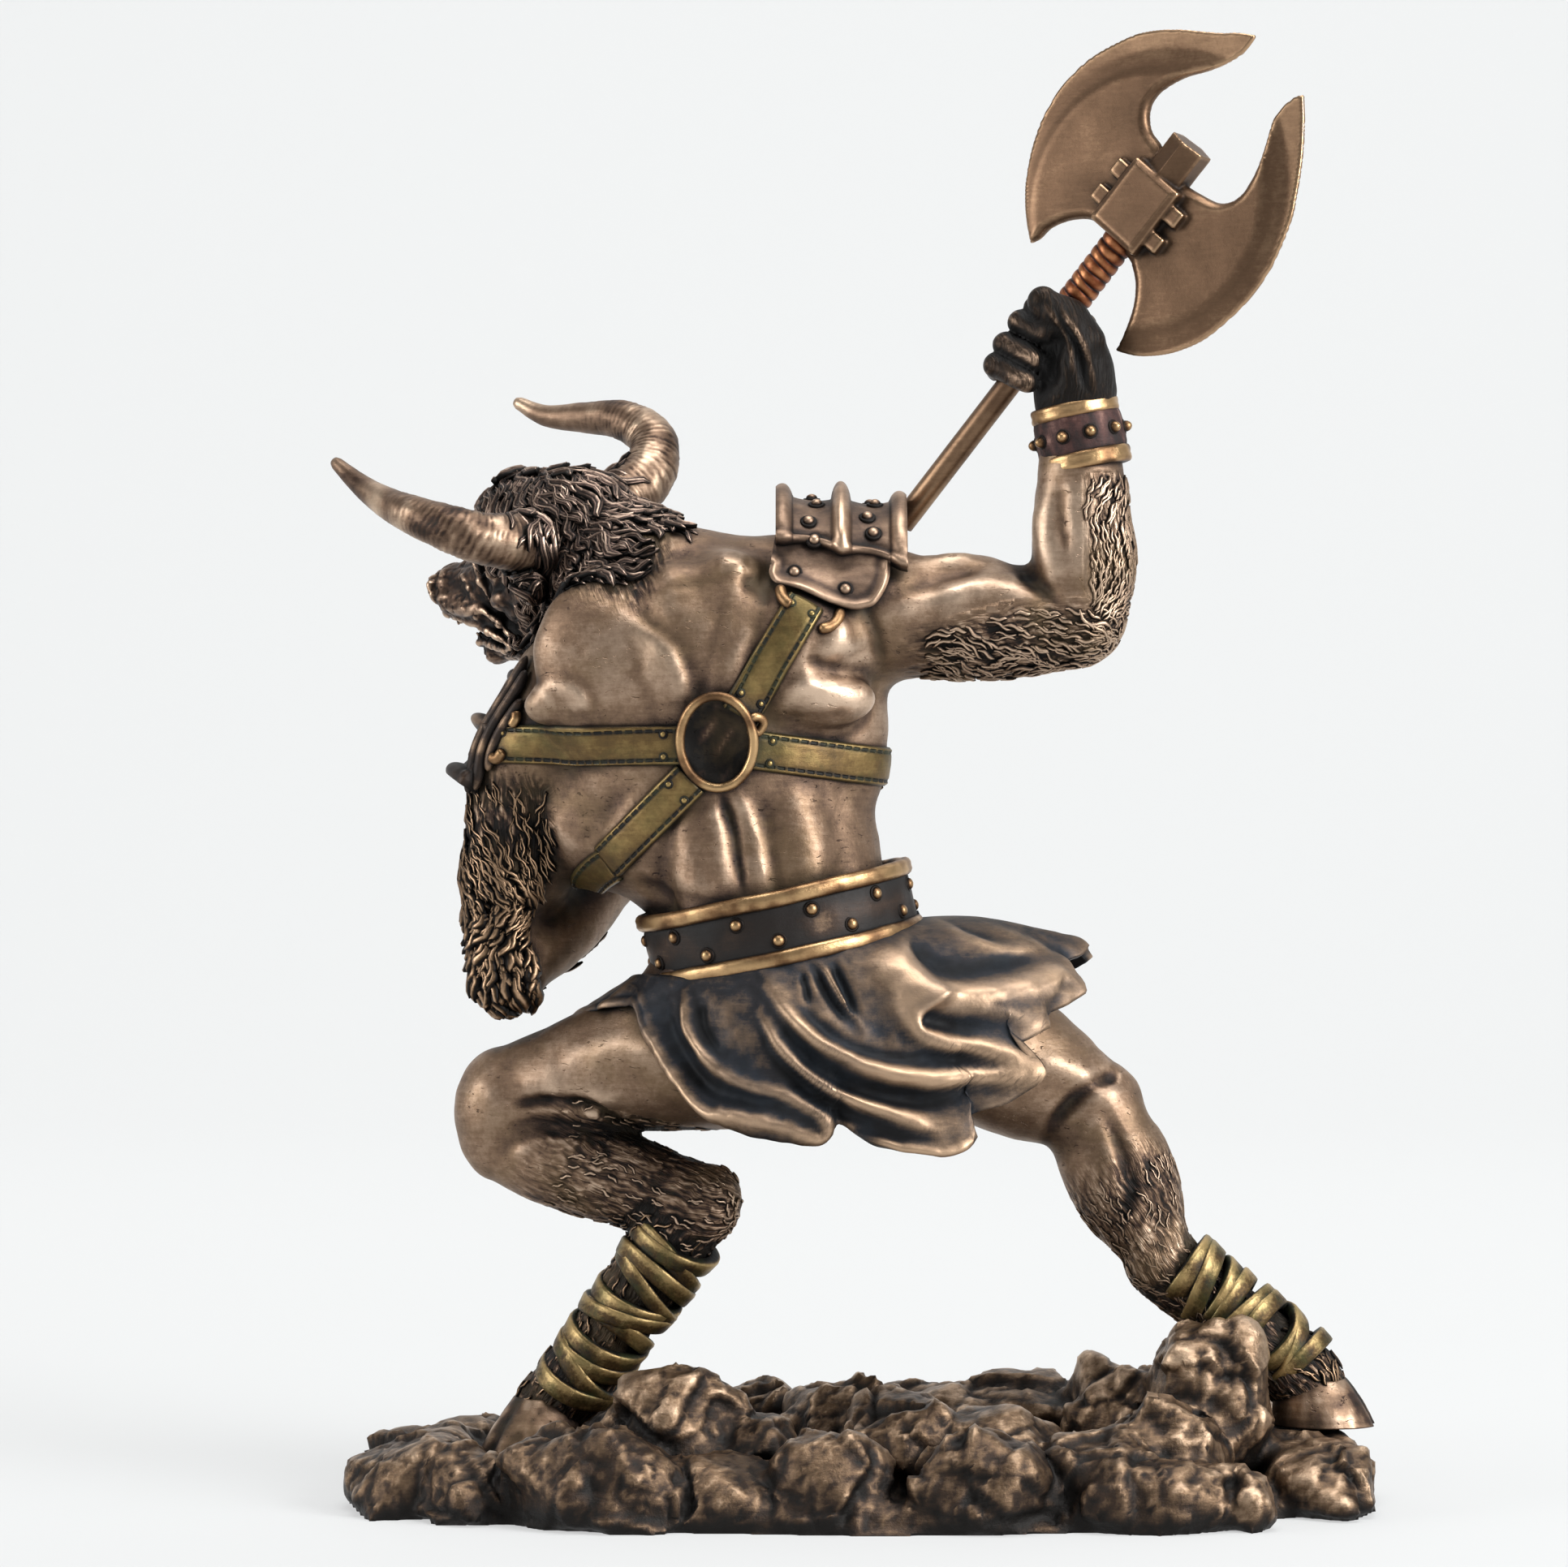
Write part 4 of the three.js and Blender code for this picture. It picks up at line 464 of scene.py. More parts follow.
def sheet(outer, inner, ring_path=False, relief=None, lay=None):
    """A closed slab between two grids of points (nu, nv, 3), joined along their borders."""
    nu, nv, _ = outer.shape
    rings = np.concatenate([outer, inner[:, ::-1]], axis=1)
    if relief is not None:
        relief = np.concatenate([np.broadcast_to(relief, (nu, nv)), np.full((nu, nv), -0.6)], axis=1)
    if lay is not None:
        lay = np.broadcast_to(lay, (nu, nv, 3))
        lay = np.concatenate([lay, lay[:, ::-1] * [1, 1, 0]], axis=1)
    if ring_path:
        return swept(rings, True, relief, lay)
    part = swept(rings, False, relief, lay)
    # The two ends are closed by rows of quads between the grids in place of the fans
    m = 2 * nv
    k = np.arange(nv - 1)
    first = np.stack([k, k + 1, m - 2 - k, m - 1 - k], -1)
    last = (nu - 1) * m + first[:, ::-1]
    top = part.quads[0]
    turned = not (top == [0, m, m + 1, 1]).all()
    ends = np.concatenate([first, last])
    ends = ends[:, ::-1] if turned else ends
    return Part(part.points[:-2], np.concatenate([part.quads, ends]), None, part.relief[:-2], part.lay[:-2])


def bar(path, radii, sides, hint=(0, 0, 1)):
    """Rings of radius radii about a path, square to it, with their first point on the side of the hint."""
    path = np.asarray(path, float)
    t = unit(np.gradient(path, axis=0))
    x = unit(np.asarray(hint, float) - t * (t @ np.asarray(hint, float))[:, None])
    y = np.cross(t, x)
    a = around(sides)
    r = np.broadcast_to(np.asarray(radii, float).reshape(len(np.atleast_1d(radii)), -1),
                        (len(path), sides))[..., None]
    return path[:, None] + r * (np.cos(a)[:, None] * x[:, None] + np.sin(a)[:, None] * y[:, None])


def domes(centres, outs, radius, height, sides=10, base=1.25):
    """Rivets: round heads that rise as a quarter ellipse from a thin washer a little wider than the head."""
    parts = []
    profile = [(base, -0.6), (base, 0.14), (1.02, 0.2), (0.98, 0.16)]
    profile += [(math.cos(a), 0.16 + height / radius * math.sin(a)) for a in np.linspace(0.15, 1.35, 4)]
    for c, out in zip(centres, outs):
        x, y, z = axes((0.3, 0.2, 1) if abs(out[2]) < 0.9 else (1, 0, 0), out)
        a = around(sides)
        circle = np.cos(a)[:, None] * x + np.sin(a)[:, None] * y
        rings = np.array([c + radius * (r * circle + h * z) for r, h in profile])
        relief = np.array([-1, -0.9, -1, -0.9, -0.2, 0.2, 0.5, 0.7])
        parts.append(swept(rings, False, np.repeat(relief[:, None], sides, 1)))
    return parts


def merged(parts):
    """The parts as one, with each one's faces numbered on from those before it."""
    starts = np.cumsum([0] + [len(p.points) for p in parts])
    whole = Part.__new__(Part)
    whole.quads = np.vstack([p.quads + start for p, start in zip(parts, starts)])
    whole.tris = np.vstack([p.tris + start for p, start in zip(parts, starts)])
    whole.relief = np.concatenate([p.relief for p in parts])
    for key in ("points", "lay", "normals"):
        setattr(whole, key, np.vstack([getattr(p, key) for p in parts]))
    return whole


def piece(name, parts, material, own_normals=False):
    """Puts the parts into one mesh in metres, smooth, with its attributes, riding on the statue."""
    whole = merged(parts if isinstance(parts, list) else [parts])
    mesh = bpy.data.meshes.new(name)
    loops = np.concatenate([whole.quads.reshape(-1), whole.tris.reshape(-1)])
    sizes = np.concatenate([np.full(len(whole.quads), 4), np.full(len(whole.tris), 3)])
    mesh.vertices.add(len(whole.points))
    mesh.vertices.foreach_set("co", (whole.points * MM).astype(np.float32).reshape(-1))
    mesh.loops.add(len(loops))
    mesh.loops.foreach_set("vertex_index", loops.astype(np.int32))
    mesh.polygons.add(len(sizes))
    mesh.polygons.foreach_set("loop_start", np.concatenate([[0], np.cumsum(sizes)[:-1]]).astype(np.int32))
    mesh.polygons.foreach_set("use_smooth", np.ones(len(sizes), bool))
    mesh.update(calc_edges=True)
    mesh.attributes.new("relief", "FLOAT", "POINT").data.foreach_set("value", whole.relief.astype(np.float32))
    mesh.attributes.new("lay", "FLOAT_VECTOR", "POINT").data.foreach_set("vector",
            whole.lay.astype(np.float32).reshape(-1))
    if own_normals:
        mesh.normals_split_custom_set_from_vertices(whole.normals.astype(np.float32))
    mesh.materials.append(material)
    obj = bpy.data.objects.new(name, mesh)
    bpy.context.scene.collection.objects.link(obj)
    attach(obj, "root")
    return obj


# The flesh
def head_at(r, f, u):
    return HEAD_CENTRE + np.array([r, f, u], float) @ HEAD_AXES


def on_head(side, places):
    """Places on the head from their right, fore and up; side -1 mirrors them to the left."""
    return [head_at(r * side, f, u) for r, f, u in places]


def trunk(form):
    lean = axes((1, 0, 0.15), (-0.27, 0, 0.96))
    form.ball(8, PELVIS, (27, 22, 18), axes((1, 0, 0.2), (-0.15, 0, 1)))
    form.ball(8, WAIST_POINT, (23.5, 20, 21), lean)
    form.ball(8, RIBS, (33, 25, 33), lean)
    form.ball(7, CHEST, (33, 24, 21), axes((1, 0, 0.25), (-0.2, 0, 1)))
    form.ball(6, (-38.6, 5, 137.5), (18, 18, 14), lean)
    form.ball(6, (-11, 4, 180.1), (18, 18, 16))
    form.ball(6, (-57, 13, 163), (17, 17, 17), axes((1, 0, 0.2), (0, 0, 1)))
    form.ball(5, (-56, 10, 140), (11, 13, 14), axes((1, 0, 0), (-0.25, 0, 1)))
    form.limb(6, (-38, 4, 187.5), (-15, 4, 187), 10.5, 11)
    form.limb(5, (-5, 2, 175.1), (-3.6, 2, 151.8), 7.5, 7, 8.6)
    form.limb(8, NECK, NAPE, 17, 13)
    # Shoulder blades, the ridges between them and the columns beside the spine
    form.ball(6, (-53.5, -8.5, 172.5), (14, 8, 16.5), axes((1, 0, 0.3), (-0.3, 0, 1)))
    form.limb(4, (-38.5, -11, 187), (-36.8, -14, 163.6), 5, 4, 7.5)
    form.limb(5, (-28, -10, 188.2), (-27.5, -14, 163.6), 7, 6, 8.5)
    form.ball(3, (-16, -12, 175.1), (13, 9, 14), axes((1, 0, 0.3), (0.3, 0, 1)))
    form.ball(3, (-6.9, -8, 175.1), (8, 7, 7))
    form.ball(3, (-10.3, -11, 164.9), (12, 8, 6), axes((1, 0, -0.1), (0, 0, 1)))
    form.ball(2, (-63, -7.5, 163.6), (6.5, 5, 4.2))
    form.limb(3, (-26.8, -13, 142.2), (-23.5, -15, 123.2), 3, 4, 4.5)
    form.limb(3, (-34.2, -11, 142.1), (-31.7, -13, 123.2), 5, 6, 7)
    form.limb(3, (-15.2, -11, 142.1), (-12.4, -12, 124.8), 5, 6, 7)
    # Breast and belly, on the side turned away
    form.ball(3, (-52, 25, 171), (15, 9, 12), axes((1, 0, 0.2), (0, 0, 1)))
    form.ball(3, (-22, 24, 175), (15, 9, 12), axes((1, 0, 0.2), (0, 0, 1)))
    for row in range(3):
        form.ball(2, (-41 + 4 * row, 24 - 1.5 * row, 153 - 10.5 * row), (6.5, 6, 5.2))
        form.ball(2, (-28 + 4 * row, 24 - 1.5 * row, 154 - 10.5 * row), (6.5, 6, 5.2))


def left_arm(form):
    form.ball(6, (-67, 13, 155.5), (11.5, 14, 13.5))
    form.limb(5, (-73, 12, 151.6), (-74.8, 11, 127.2), 8.4, 7.4, 8.7)
    form.limb(4, (-75, 11, 128), LEFT["elbow"], 7.7, 4.9)
    form.limb(5, (-71, 11, 109), LEFT["wrist"], 6, 6.3, 8.2)
    form.limb(3, LEFT["wrist"], (-47.1, 46, 134.5), 6.2, 5.8)
    form.ball(3, LEFT["fist"], (8.5, 7, 8))
    for f in range(4):
        form.limb(1, (-44 + 1.5 * f, 44, 142.5 - 3.4 * f), (-40 + 1.5 * f, 53.5, 142 - 3.4 * f), 2.6, 2.4)
    form.ball(5, (-66, 14, 132), (6.5, 7, 9.5))


def right_arm(form):
    form.ball(6, RIGHT["shoulder"], (15, 16, 13.5))
    form.limb(5, (4.8, 1, 181.3), (41, -5, 180.4), 10.3, 9, 11.8)
    form.limb(3, (9, 2, 187.1), (30.5, -2, 188.1), 4, 4, 7)
    form.ball(4, RIGHT["elbow"], (7.4, 7.5, 7.6))
    form.limb(4, (44.2, -6, 183.4), (43.8, -6, 209.9), 8, 7.6, 10)
    form.ball(4, (48.8, -6, 191.7), (5, 7, 9))
    form.limb(4, (44.1, -6, 208.3), RIGHT["wrist"], 8.2, 8)


def right_hand(form):
    """The fist closed round the shaft, its fingers stacked towards the viewer's left."""
    form.ball(3, (42.2, -7, 230.1), (8, 7.5, 9), axes((1, 0, 0), (-0.2, 0, 1)))
    form.limb(3, (44.4, -6, 228.1), (41, -9, 242), 5.5, 4.5, 6.5)
    for x, z in ((37.2, 243.4), (33.9, 240.4), (30.9, 235.9), (28.9, 231.7)):
        form.limb(0.5, (x - 2, -4, z + 1.4), (x + 4, -11, z - 2.2), 2.4, 2.3, 2.6)
        form.limb(0.5, (x - 1.4, 4, z + 1.1), (x - 2, -4, z + 1.4), 2.4, 2.4, 2.7)
        form.limb(0.5, (x - 1.4, 4, z + 1.1), (x + 8, 7, z - 1.5), 2.6, 2.6)
        form.ball(0.8, (x - 2.2, -4.2, z + 1.5), (2.7, 2.7, 2.5))
    form.limb(2, (44.2, -11, 237.8), (36, -10, 245.8), 4.2, 3.2, 4.2)


def legs(form):
    form.limb(7, LEFT["hip"], (-72.6, 10, 83), 18.5, 10, 13.4)
    form.ball(5, LEFT["knee"], (8.5, 10.5, 11))
    form.limb(2.5, (-74.9, 10, 72.5), (-34.4, 0, 61.6), 8, 6.8, 9.8)
    form.ball(3, (-31, -1, 61.7), (5, 5.5, 7), axes((1, 0, 0), (0.3, 0, 1)))
    form.limb(4, LEFT["hock"], LEFT["fetlock"], 8, 7)
    form.limb(3, LEFT["fetlock"], (-64.6, 7.6, 18.8), 7.4, 7.6)
    form.limb(7, RIGHT["hip"], (46.2, 2, 81), 15.5, 10, 15.6)
    form.ball(4, RIGHT["knee"], (9, 10, 8.8))
    form.limb(3, (46.8, 1, 79.1), (59.6, -2, 51.8), 9, 6.2, 11.2)
    form.ball(3, RIGHT["hock"], (6, 6.5, 7))
    form.limb(3, (61.5, -2, 48.4), RIGHT["fetlock"], 7.2, 7.2)
    form.limb(3, RIGHT["fetlock"], (91.4, 1.5, 24), 7.2, 7.2)


def skull(form):
    form.ball(5, head_at(-1, -1, 1), (12, 13.5, 11), HEAD_AXES)
    form.ball(4, head_at(0, 9.5, 5.5), (10.8, 10.4, 8.4), HEAD_AXES)
    form.ball(4, head_at(0, 6, -6), (10, 12, 9), HEAD_AXES)
    form.ball(4, (-51, 9, 191.5), (11, 12, 9.5))


def bull_face(form):
    """Muzzle, lips, jaw, brow, eyes and ears, set out along the head's own right, fore and up."""
    form.chain(3, [head_at(0, 12, -6.5), head_at(0, 27, -6.2), head_at(0, 38.5, -4.6)], [9.2, 6.3, 4.3])
    form.ball(2, head_at(0, 40.5, -3.8), (5.9, 3.8, 4.3), HEAD_AXES)
    form.chain(3, [head_at(0, 8, -16), head_at(0, 22, -19), head_at(0, 33, -19.6)], [8, 5.2, 3.2])
    form.ball(1.5, head_at(0, 34.6, -20), (3.6, 2.6, 3), HEAD_AXES)
    for side in (-1, 1):
        form.ball(3, head_at(6.6 * side, 11, -10), (4.2, 8, 8), HEAD_AXES)
        form.limb(1.5, head_at(4.6 * side, 38.5, -6.5), head_at(6.2 * side, 28, -10), 3.0, 2.6)
    form.limb(1.2, head_at(0, 46, -12.6), head_at(0, 24, -18), 2.7, 1.0, None, True)
    form.limb(0.8, head_at(0, 20, -17.5), head_at(0, 31.5, -17.2), 2.6, 1.9)
    form.limb(1.2, head_at(0, 27.5, -15.2), head_at(0, 15, -16.5), 4.4, 6)
    for side in (-1, 1):
        form.ball(1, head_at(5.2 * side, 26, -13), (2, 3.4, 3.2), HEAD_AXES)
        # Lips curl back round the open mouth to its corner, with a fold of cheek behind it
        form.chain(0.8, on_head(side, [(0, 43.2, -8.6), (3.6, 41.4, -9), (6.2, 33, -11.4), (7.3, 26.5, -14.6),
                                       (8, 20.5, -18.6)]), [1.1, 1.2, 1.1, 1.0, 0.9])
        form.chain(0.8, on_head(side, [(0, 36.8, -17), (2.8, 35.6, -17), (5, 29.6, -18), (7.1, 24, -19.6),
                                       (8, 20.5, -19.8)]), [1.1, 1.2, 1.0, 0.9, 0.8])
        form.chain(0.9, on_head(side, [(7.2, 26.5, -9.5), (8.4, 21, -13.5), (9.2, 16.5, -18.5)]),
                   [0.6, 0.9, 0.8])
        form.chain(0.9, on_head(side, [(5.4, 30.5, -2), (6.8, 28, -5), (7.2, 27, -8.5)]), [0.4, 0.6, 0.4])
        form.chain(0.9, on_head(side, [(6, 24.5, 0), (7.6, 22.5, -4), (8.2, 21, -9)]), [0.5, 0.75, 0.5])
        # Brow, eyeball between its lids, the swollen cheek under it, nostril with a raised rim
        form.limb(1.5, head_at(3.4 * side, 21.5, 2.4), head_at(10.4 * side, 10, -0.4), 1.9, 2.3, 3.2)
        form.ball(0.6, head_at(8.2 * side, 15.6, -3.2), (2.7, 2.7, 2.5), HEAD_AXES)
        form.chain(0.5, on_head(side, [(7.6, 19, -3.2), (9.5, 17, -1), (10.2, 12.6, -1.8)]), [0.9, 1.1, 0.9])
        form.chain(0.5, on_head(side, [(7.6, 19, -3.6), (9.6, 16, -5.6), (10.2, 12.4, -2.4)]),
                   [0.8, 1.0, 0.8])
        form.ball(0.8, head_at(8.2 * side, 15.4, -8.8), (3.6, 4.4, 3), HEAD_AXES)
        form.ball(0.8, head_at(9 * side, 8.4, -10.4), (3.2, 3.6, 4.2), HEAD_AXES)
        rim = [head_at(side * (3.9 + 2.2 * math.cos(a)), 42.2 - 1.3 * math.cos(a), -3.8 + 2.4 * math.sin(a))
               for a in np.linspace(0, 2 * np.pi, 9)]
        form.chain(0.6, rim, [0.95] * 9)
        form.ball(0.5, head_at(4.3 * side, 42, -3.8), (1.7, 2.8, 1.8), HEAD_AXES, True)
        out = unit(HEAD_AXES[0] * 0.9 * side - HEAD_AXES[2] * 0.5 - HEAD_AXES[1] * 0.3)
        form.ball(1.5, head_at(13.5 * side, -2, -5), (2, 3.2, 6.0), axes(HEAD_AXES[1], out))
    # Creases over the bridge of the muzzle
    for row in range(5):
        f = 22.5 + 3.1 * row
        form.chain(0.6, [head_at(-5.2 + 0.4 * row, f + 1.2, -1.6 - 0.3 * row),
                         head_at(0, f, 0.9 - 0.35 * row),
                         head_at(5.2 - 0.4 * row, f + 1.2, -1.6 - 0.3 * row)], [0.6, 0.85, 0.6])
    # Teeth stand in the open mouth
    for i in range(6):
        r = -3.4 + 1.36 * i
        form.limb(0.25, head_at(r, 41.2 - 0.12 * r * r, -9.6), head_at(r, 41.2 - 0.12 * r * r, -11.9), 0.72,
                  0.5)
        form.limb(0.25, head_at(r, 35.8 - 0.1 * r * r, -17), head_at(r, 36.2 - 0.1 * r * r, -15.2), 0.68, 0.5)


def horn_roots(form):
    form.limb(2, NEAR_HORN[1], NEAR_HORN[2], 5.4, 5.0)
    form.limb(2, FAR_HORN[1], FAR_HORN[2], 5.4, 5.0)


FLESH = Form()
trunk(FLESH)
left_arm(FLESH)
right_arm(FLESH)
right_hand(FLESH)
legs(FLESH)
skull(FLESH)
bull_face(FLESH)
horn_roots(FLESH)
FLESH.settle()
RING_SKIN = FLESH.part(RING_CENTRE[None], 14).skin(RING_CENTRE[None])[0]
RING_OUT = FLESH.part(RING_SKIN[None], 14).slope(RING_SKIN[None])[0]
FLESH.ball(1.5, RING_SKIN + RING_OUT * 1.5, (6.8, 6.8, 3.4), axes((1, 0, 0), RING_OUT), True)
FLESH.settle()

# Bones that share out the flesh among its pieces: (piece, from, to, thickness)
BONES = [
    ("torso", PELVIS, WAIST_POINT, 20), ("torso", WAIST_POINT, RIBS, 24), ("torso", RIBS, CHEST, 26),
    ("torso", (-60, 10, 168), (-52, 10, 150), 13), ("torso", (-12, 4, 180), (-6, 2, 160), 13),
         ("torso", NECK, NAPE, 14),
    ("left_arm", (-74, 13, 152), LEFT["elbow"], 10), ("left_arm", LEFT["elbow"], LEFT["wrist"], 8),
    ("left_arm", LEFT["wrist"], LEFT["fist"], 8),
    ("right_arm", (14, 2, 183), RIGHT["elbow"], 11), ("right_arm", RIGHT["elbow"], RIGHT["wrist"], 9),
    ("left_leg", LEFT["hip"], LEFT["knee"], 13), ("left_leg", LEFT["knee"], LEFT["hock"], 9),
    ("left_leg", LEFT["hock"], LEFT["fetlock"], 8), ("right_leg", RIGHT["hip"], RIGHT["knee"], 14),
    ("right_leg", RIGHT["knee"], RIGHT["hock"], 9), ("right_leg", RIGHT["hock"], RIGHT["fetlock"], 8),
]
CUFF_HEIGHT = 218.6


def head_room(p, spare=0.0):
    """Negative on the head's side of a plane through the neck and of one under the jaw."""
    neck = -(p - np.array([-53, 13, 191.5])) @ unit([-0.72, 0.40, 0.57])
    jaw = -(p - np.array([-73, 20, 171.5])) @ unit([0, 0.3, 0.95])
    return np.maximum(neck, jaw) - spare


def to_bone(p, a, b):
    """How far along a bone each point is (0 to 1), and its distance from the bone's line."""
    a, b = np.asarray(a, float), np.asarray(b, float)
    t = np.clip((p - a) @ (b - a) / ((b - a) @ (b - a)), 0, 1)
    foot = a + t[:, None] * (b - a)
    return t, np.linalg.norm(p - foot, axis=1)


def limb_lay(p, a, b, facing):
    """Millimetres down a bone and round it from the side it faces, the coordinates that fur is drawn in; and
    the angle round it."""
    x, y, z = axes(facing, np.asarray(b, float) - np.asarray(a, float))
    d = p - np.asarray(a, float)
    turn = np.arctan2(d @ y, d @ x)
    radius = np.hypot(d @ y, d @ x)
    return np.stack([d @ z, turn * np.minimum(radius, 12)], -1), turn


def tuft_relief(lay, length, width, seed):
    """Overlapping pointed tufts: in each jittered cell a leaf-shaped tuft rises along its length and drops at
    its tip; the height is the greatest of the nine tufts round a point."""
    s, c = lay[:, 0] / length, lay[:, 1] / width
    c = c + 0.35 * np.sin(s * 2.1 + seed) + 0.25 * np.sin(s * 5.3 + c * 0.7)
    i0, j0 = np.floor(s), np.floor(c)
    best = np.zeros(len(s))
    for di in (-1, 0, 1):
        for dj in (-1, 0, 1):
            i, j = i0 + di, j0 + dj
            cs = i + 0.2 + 0.6 * hash01(i, j, seed) + 0.5 * (j % 2)
            cc = j + 0.5 + 0.6 * (hash01(i, j, seed + 3) - 0.5)
            u = (s - cs + 0.75) / 1.35
            lean = 0.7 * (hash01(i, j, seed + 5) - 0.5)
            v = (c - cc - lean * (u - 0.5)) / (0.72 * np.sqrt(np.clip(u * 3, 1e-9, 1))
                                               * np.clip(1.15 - np.clip(u, 0, 2) ** 1.6, 0.02, 1))
            high = np.clip(u, 0, 1) ** 0.8 * np.clip(1 - v * v, 0, 1) * (0.65 + 0.35 * hash01(i, j, seed + 9))
            best = np.maximum(best, np.where((u > 0) & (u < 1.08), high, 0))
    return best


def fur(points, normals, fields):
    """Raises tufts over the skin. Each field is (amount, lay, tuft length, width, height, then the way its
    locks lie and how many, how long, how wide and how high they stand). Gives the points, the lay that the
    finish draws its strands by, and the depth between the tufts."""
    rise, lay = np.zeros(len(points)), np.zeros((len(points), 3))
    depth = np.zeros(len(points))
    for n, (amount, own, length, width, height, *_) in enumerate(fields):
        sel = amount > 0.02
        if not sel.any():
            continue
        tuft = tuft_relief(own[sel], length, width, n + 1)
        rise[sel] += amount[sel] * height * (tuft - 0.35)
        depth[sel] += amount[sel] * (tuft - 0.45) * 1.7
        stronger = amount[sel] > lay[sel, 2]
        index = np.flatnonzero(sel)[stronger]
        lay[index, :2] = own[index]
        lay[index, 2] = amount[index]
    return points + normals * rise[:, None], lay, depth


def fur_fields(p):
    """Where the fur grows: shaggy all down the left arm, along the underside and back of the right arm, short
    on the shanks."""
    fields = []
    wobble = 0.25 * noise(p, 9, 3)
    left = (p[:, 0] < -52) & (p[:, 2] < 158) & (p[:, 2] > 96)
    a, b = (-72.5, 12, 156), LEFT["elbow"]
    lay, turn = limb_lay(p, a, b, (-0.75, -0.65, 0))
    gap = to_bone(p, a, b)[1]
    amount = left * ramp(15.5 - gap, 0, 3) * ramp(152 - p[:, 2], 0, 8)
    amount = amount * ramp(np.cos(turn) + 0.55 + wobble, 0, 0.7)
    fields.append((amount, lay, 6.0, 2.4, 0.8, (0.02, -0.1, -1), 950, 5.2, 0.8, 1.1))
    t, gap = to_bone(p, LEFT["elbow"], LEFT["wrist"])
    lay, turn = limb_lay(p, LEFT["elbow"], LEFT["wrist"], (-0.7, -0.3, -0.6))
    amount = left * ramp(12 - gap, 0, 3) * ramp(0.95 - t, 0, 0.3) * ramp(np.cos(turn) + 0.1 + wobble, 0, 0.8)
    fields.append((amount, lay, 6.0, 2.4, 0.6, (0.4, 0.5, 0.1), 200, 4.0, 0.5, 0.4))
    # Right upper arm: the fur's edge runs level with the middle of the arm; it flows out to the elbow
    gap = to_bone(p, (8, 1, 182), RIGHT["elbow"])[1]
    lay = limb_lay(p, (8, 1, 182), RIGHT["elbow"], (0, -0.3, -1))[0]
    arm = (p[:, 0] > 4) & (p[:, 2] > 160) & (gap < 16)
    edge = 184.5 - 5 * ramp(p[:, 0], 30, 12) + 10 * wobble
    amount = arm * ramp(edge - p[:, 2], -1, 4) * ramp(p[:, 0], 6, 16)
    fields.append((amount, lay, 5.0, 1.7, 0.5, (0.85, -0.1, -0.42), 480, 4.4, 0.48, 0.35))
    # Right forearm: on the side towards the viewer's right and round the elbow
    lay = limb_lay(p, (43.9, -6, 214), (44.6, -6, 176), (0.85, -0.5, 0))[0]
    arm = (p[:, 0] > 30) & (p[:, 2] > 172) & (p[:, 2] < 213)
    side = (p[:, 0] - 44.5 + 6 * wobble) / 5
    amount = arm * ramp(side, 0, 1) * ramp(212 - p[:, 2], 0, 3) * ramp(p[:, 2], 180, 187)
    fields.append((amount, lay, 5.0, 1.7, 0.5, (0.42, -0.25, -0.9), 300, 4.2, 0.46, 0.3))
    for a, b, facing, low in ((LEFT["knee"], (-30, -1, 60), (0.2, -0.9, -0.4), 0.12),
                              ((47, 1, 76), (62, -3, 47), (-0.6, -0.8, 0), 0.1)):
        t, gap = to_bone(p, a, b)
        lay = limb_lay(p, a, b, facing)[0]
        amount = (gap < 15) * (p[:, 2] < 86) * ramp(t, low, low + 0.35) * (0.75 + 0.6 * wobble)
        fields.append((np.clip(amount, 0, 1), lay, 4.6, 1.7, 0.5, unit(np.subtract(b, a)), 260, 3.6, 0.32,
                       0.1))
    for a, b in ((LEFT["hock"], LEFT["fetlock"]), (RIGHT["hock"], RIGHT["fetlock"])):
        t, gap = to_bone(p, a, b)
        lay = limb_lay(p, a, b, (0, -1, 0))[0]
        amount = (gap < 12) * (p[:, 2] < 66) * ramp(t, 0, 0.12)
        fields.append((np.clip(amount, 0, 1), lay, 5.0, 1.9, 0.7, unit(np.subtract(b, a)), 120, 4.4, 0.45,
                       0.3))
    # Hair of the nape thins out over the top of the back
    d = np.linalg.norm(p - np.array([-49, -4, 188]), axis=1)
    amount = 0.8 * ramp(15 + 8 * wobble - d, 0, 9) * (p[:, 2] > 172)
    fields.append((amount, np.stack([-p[:, 2] + 0.4 * p[:, 0], p[:, 0] + 0.4 * p[:, 2]], -1), 5.0, 1.5, 0.3))
    return fields


def coats(points, normals, fields):
    """Roots of the fine locks that lie over the tufts: points of the skin picked by hash where the fur is
    full, each with its way down the limb turned by a slow swirl, a length, a width and a lift."""
    found = []
    for n, (amount, _, _, _, _, *lock) in enumerate(fields):
        if not lock:
            continue
        way, count, length, width, lift = lock
        index = np.flatnonzero(amount > 0.45)
        share = 0.2 + 0.8 * ramp(142 - points[index, 2], 0, 14) if n == 0 else 1.0
        index = index[hash01(index, n) < 1.0 * share * count / max(len(index), 1)]
        p, out = points[index], normals[index]
        side = unit(np.cross(out, way))
        turn = (1.1 * noise(p, 8, n) + 0.8 * (hash01(index, 3) - 0.5))[:, None]
        # Down the left arm the locks grow coarser and stand further out
        grow = 0.45 + 1.2 * ramp(140 - p[:, 2], 0, 28) if n == 0 else 1.0
        found.append((p - out * 0.2, np.asarray(way) + turn * side, length * (0.7 + 0.6 * hash01(index, 4)),
                      width * grow * (0.7 + 0.6 * hash01(index, 5)),
                      lift * grow * (0.3 + 1.2 * hash01(index, 6) ** 2)))
    return found


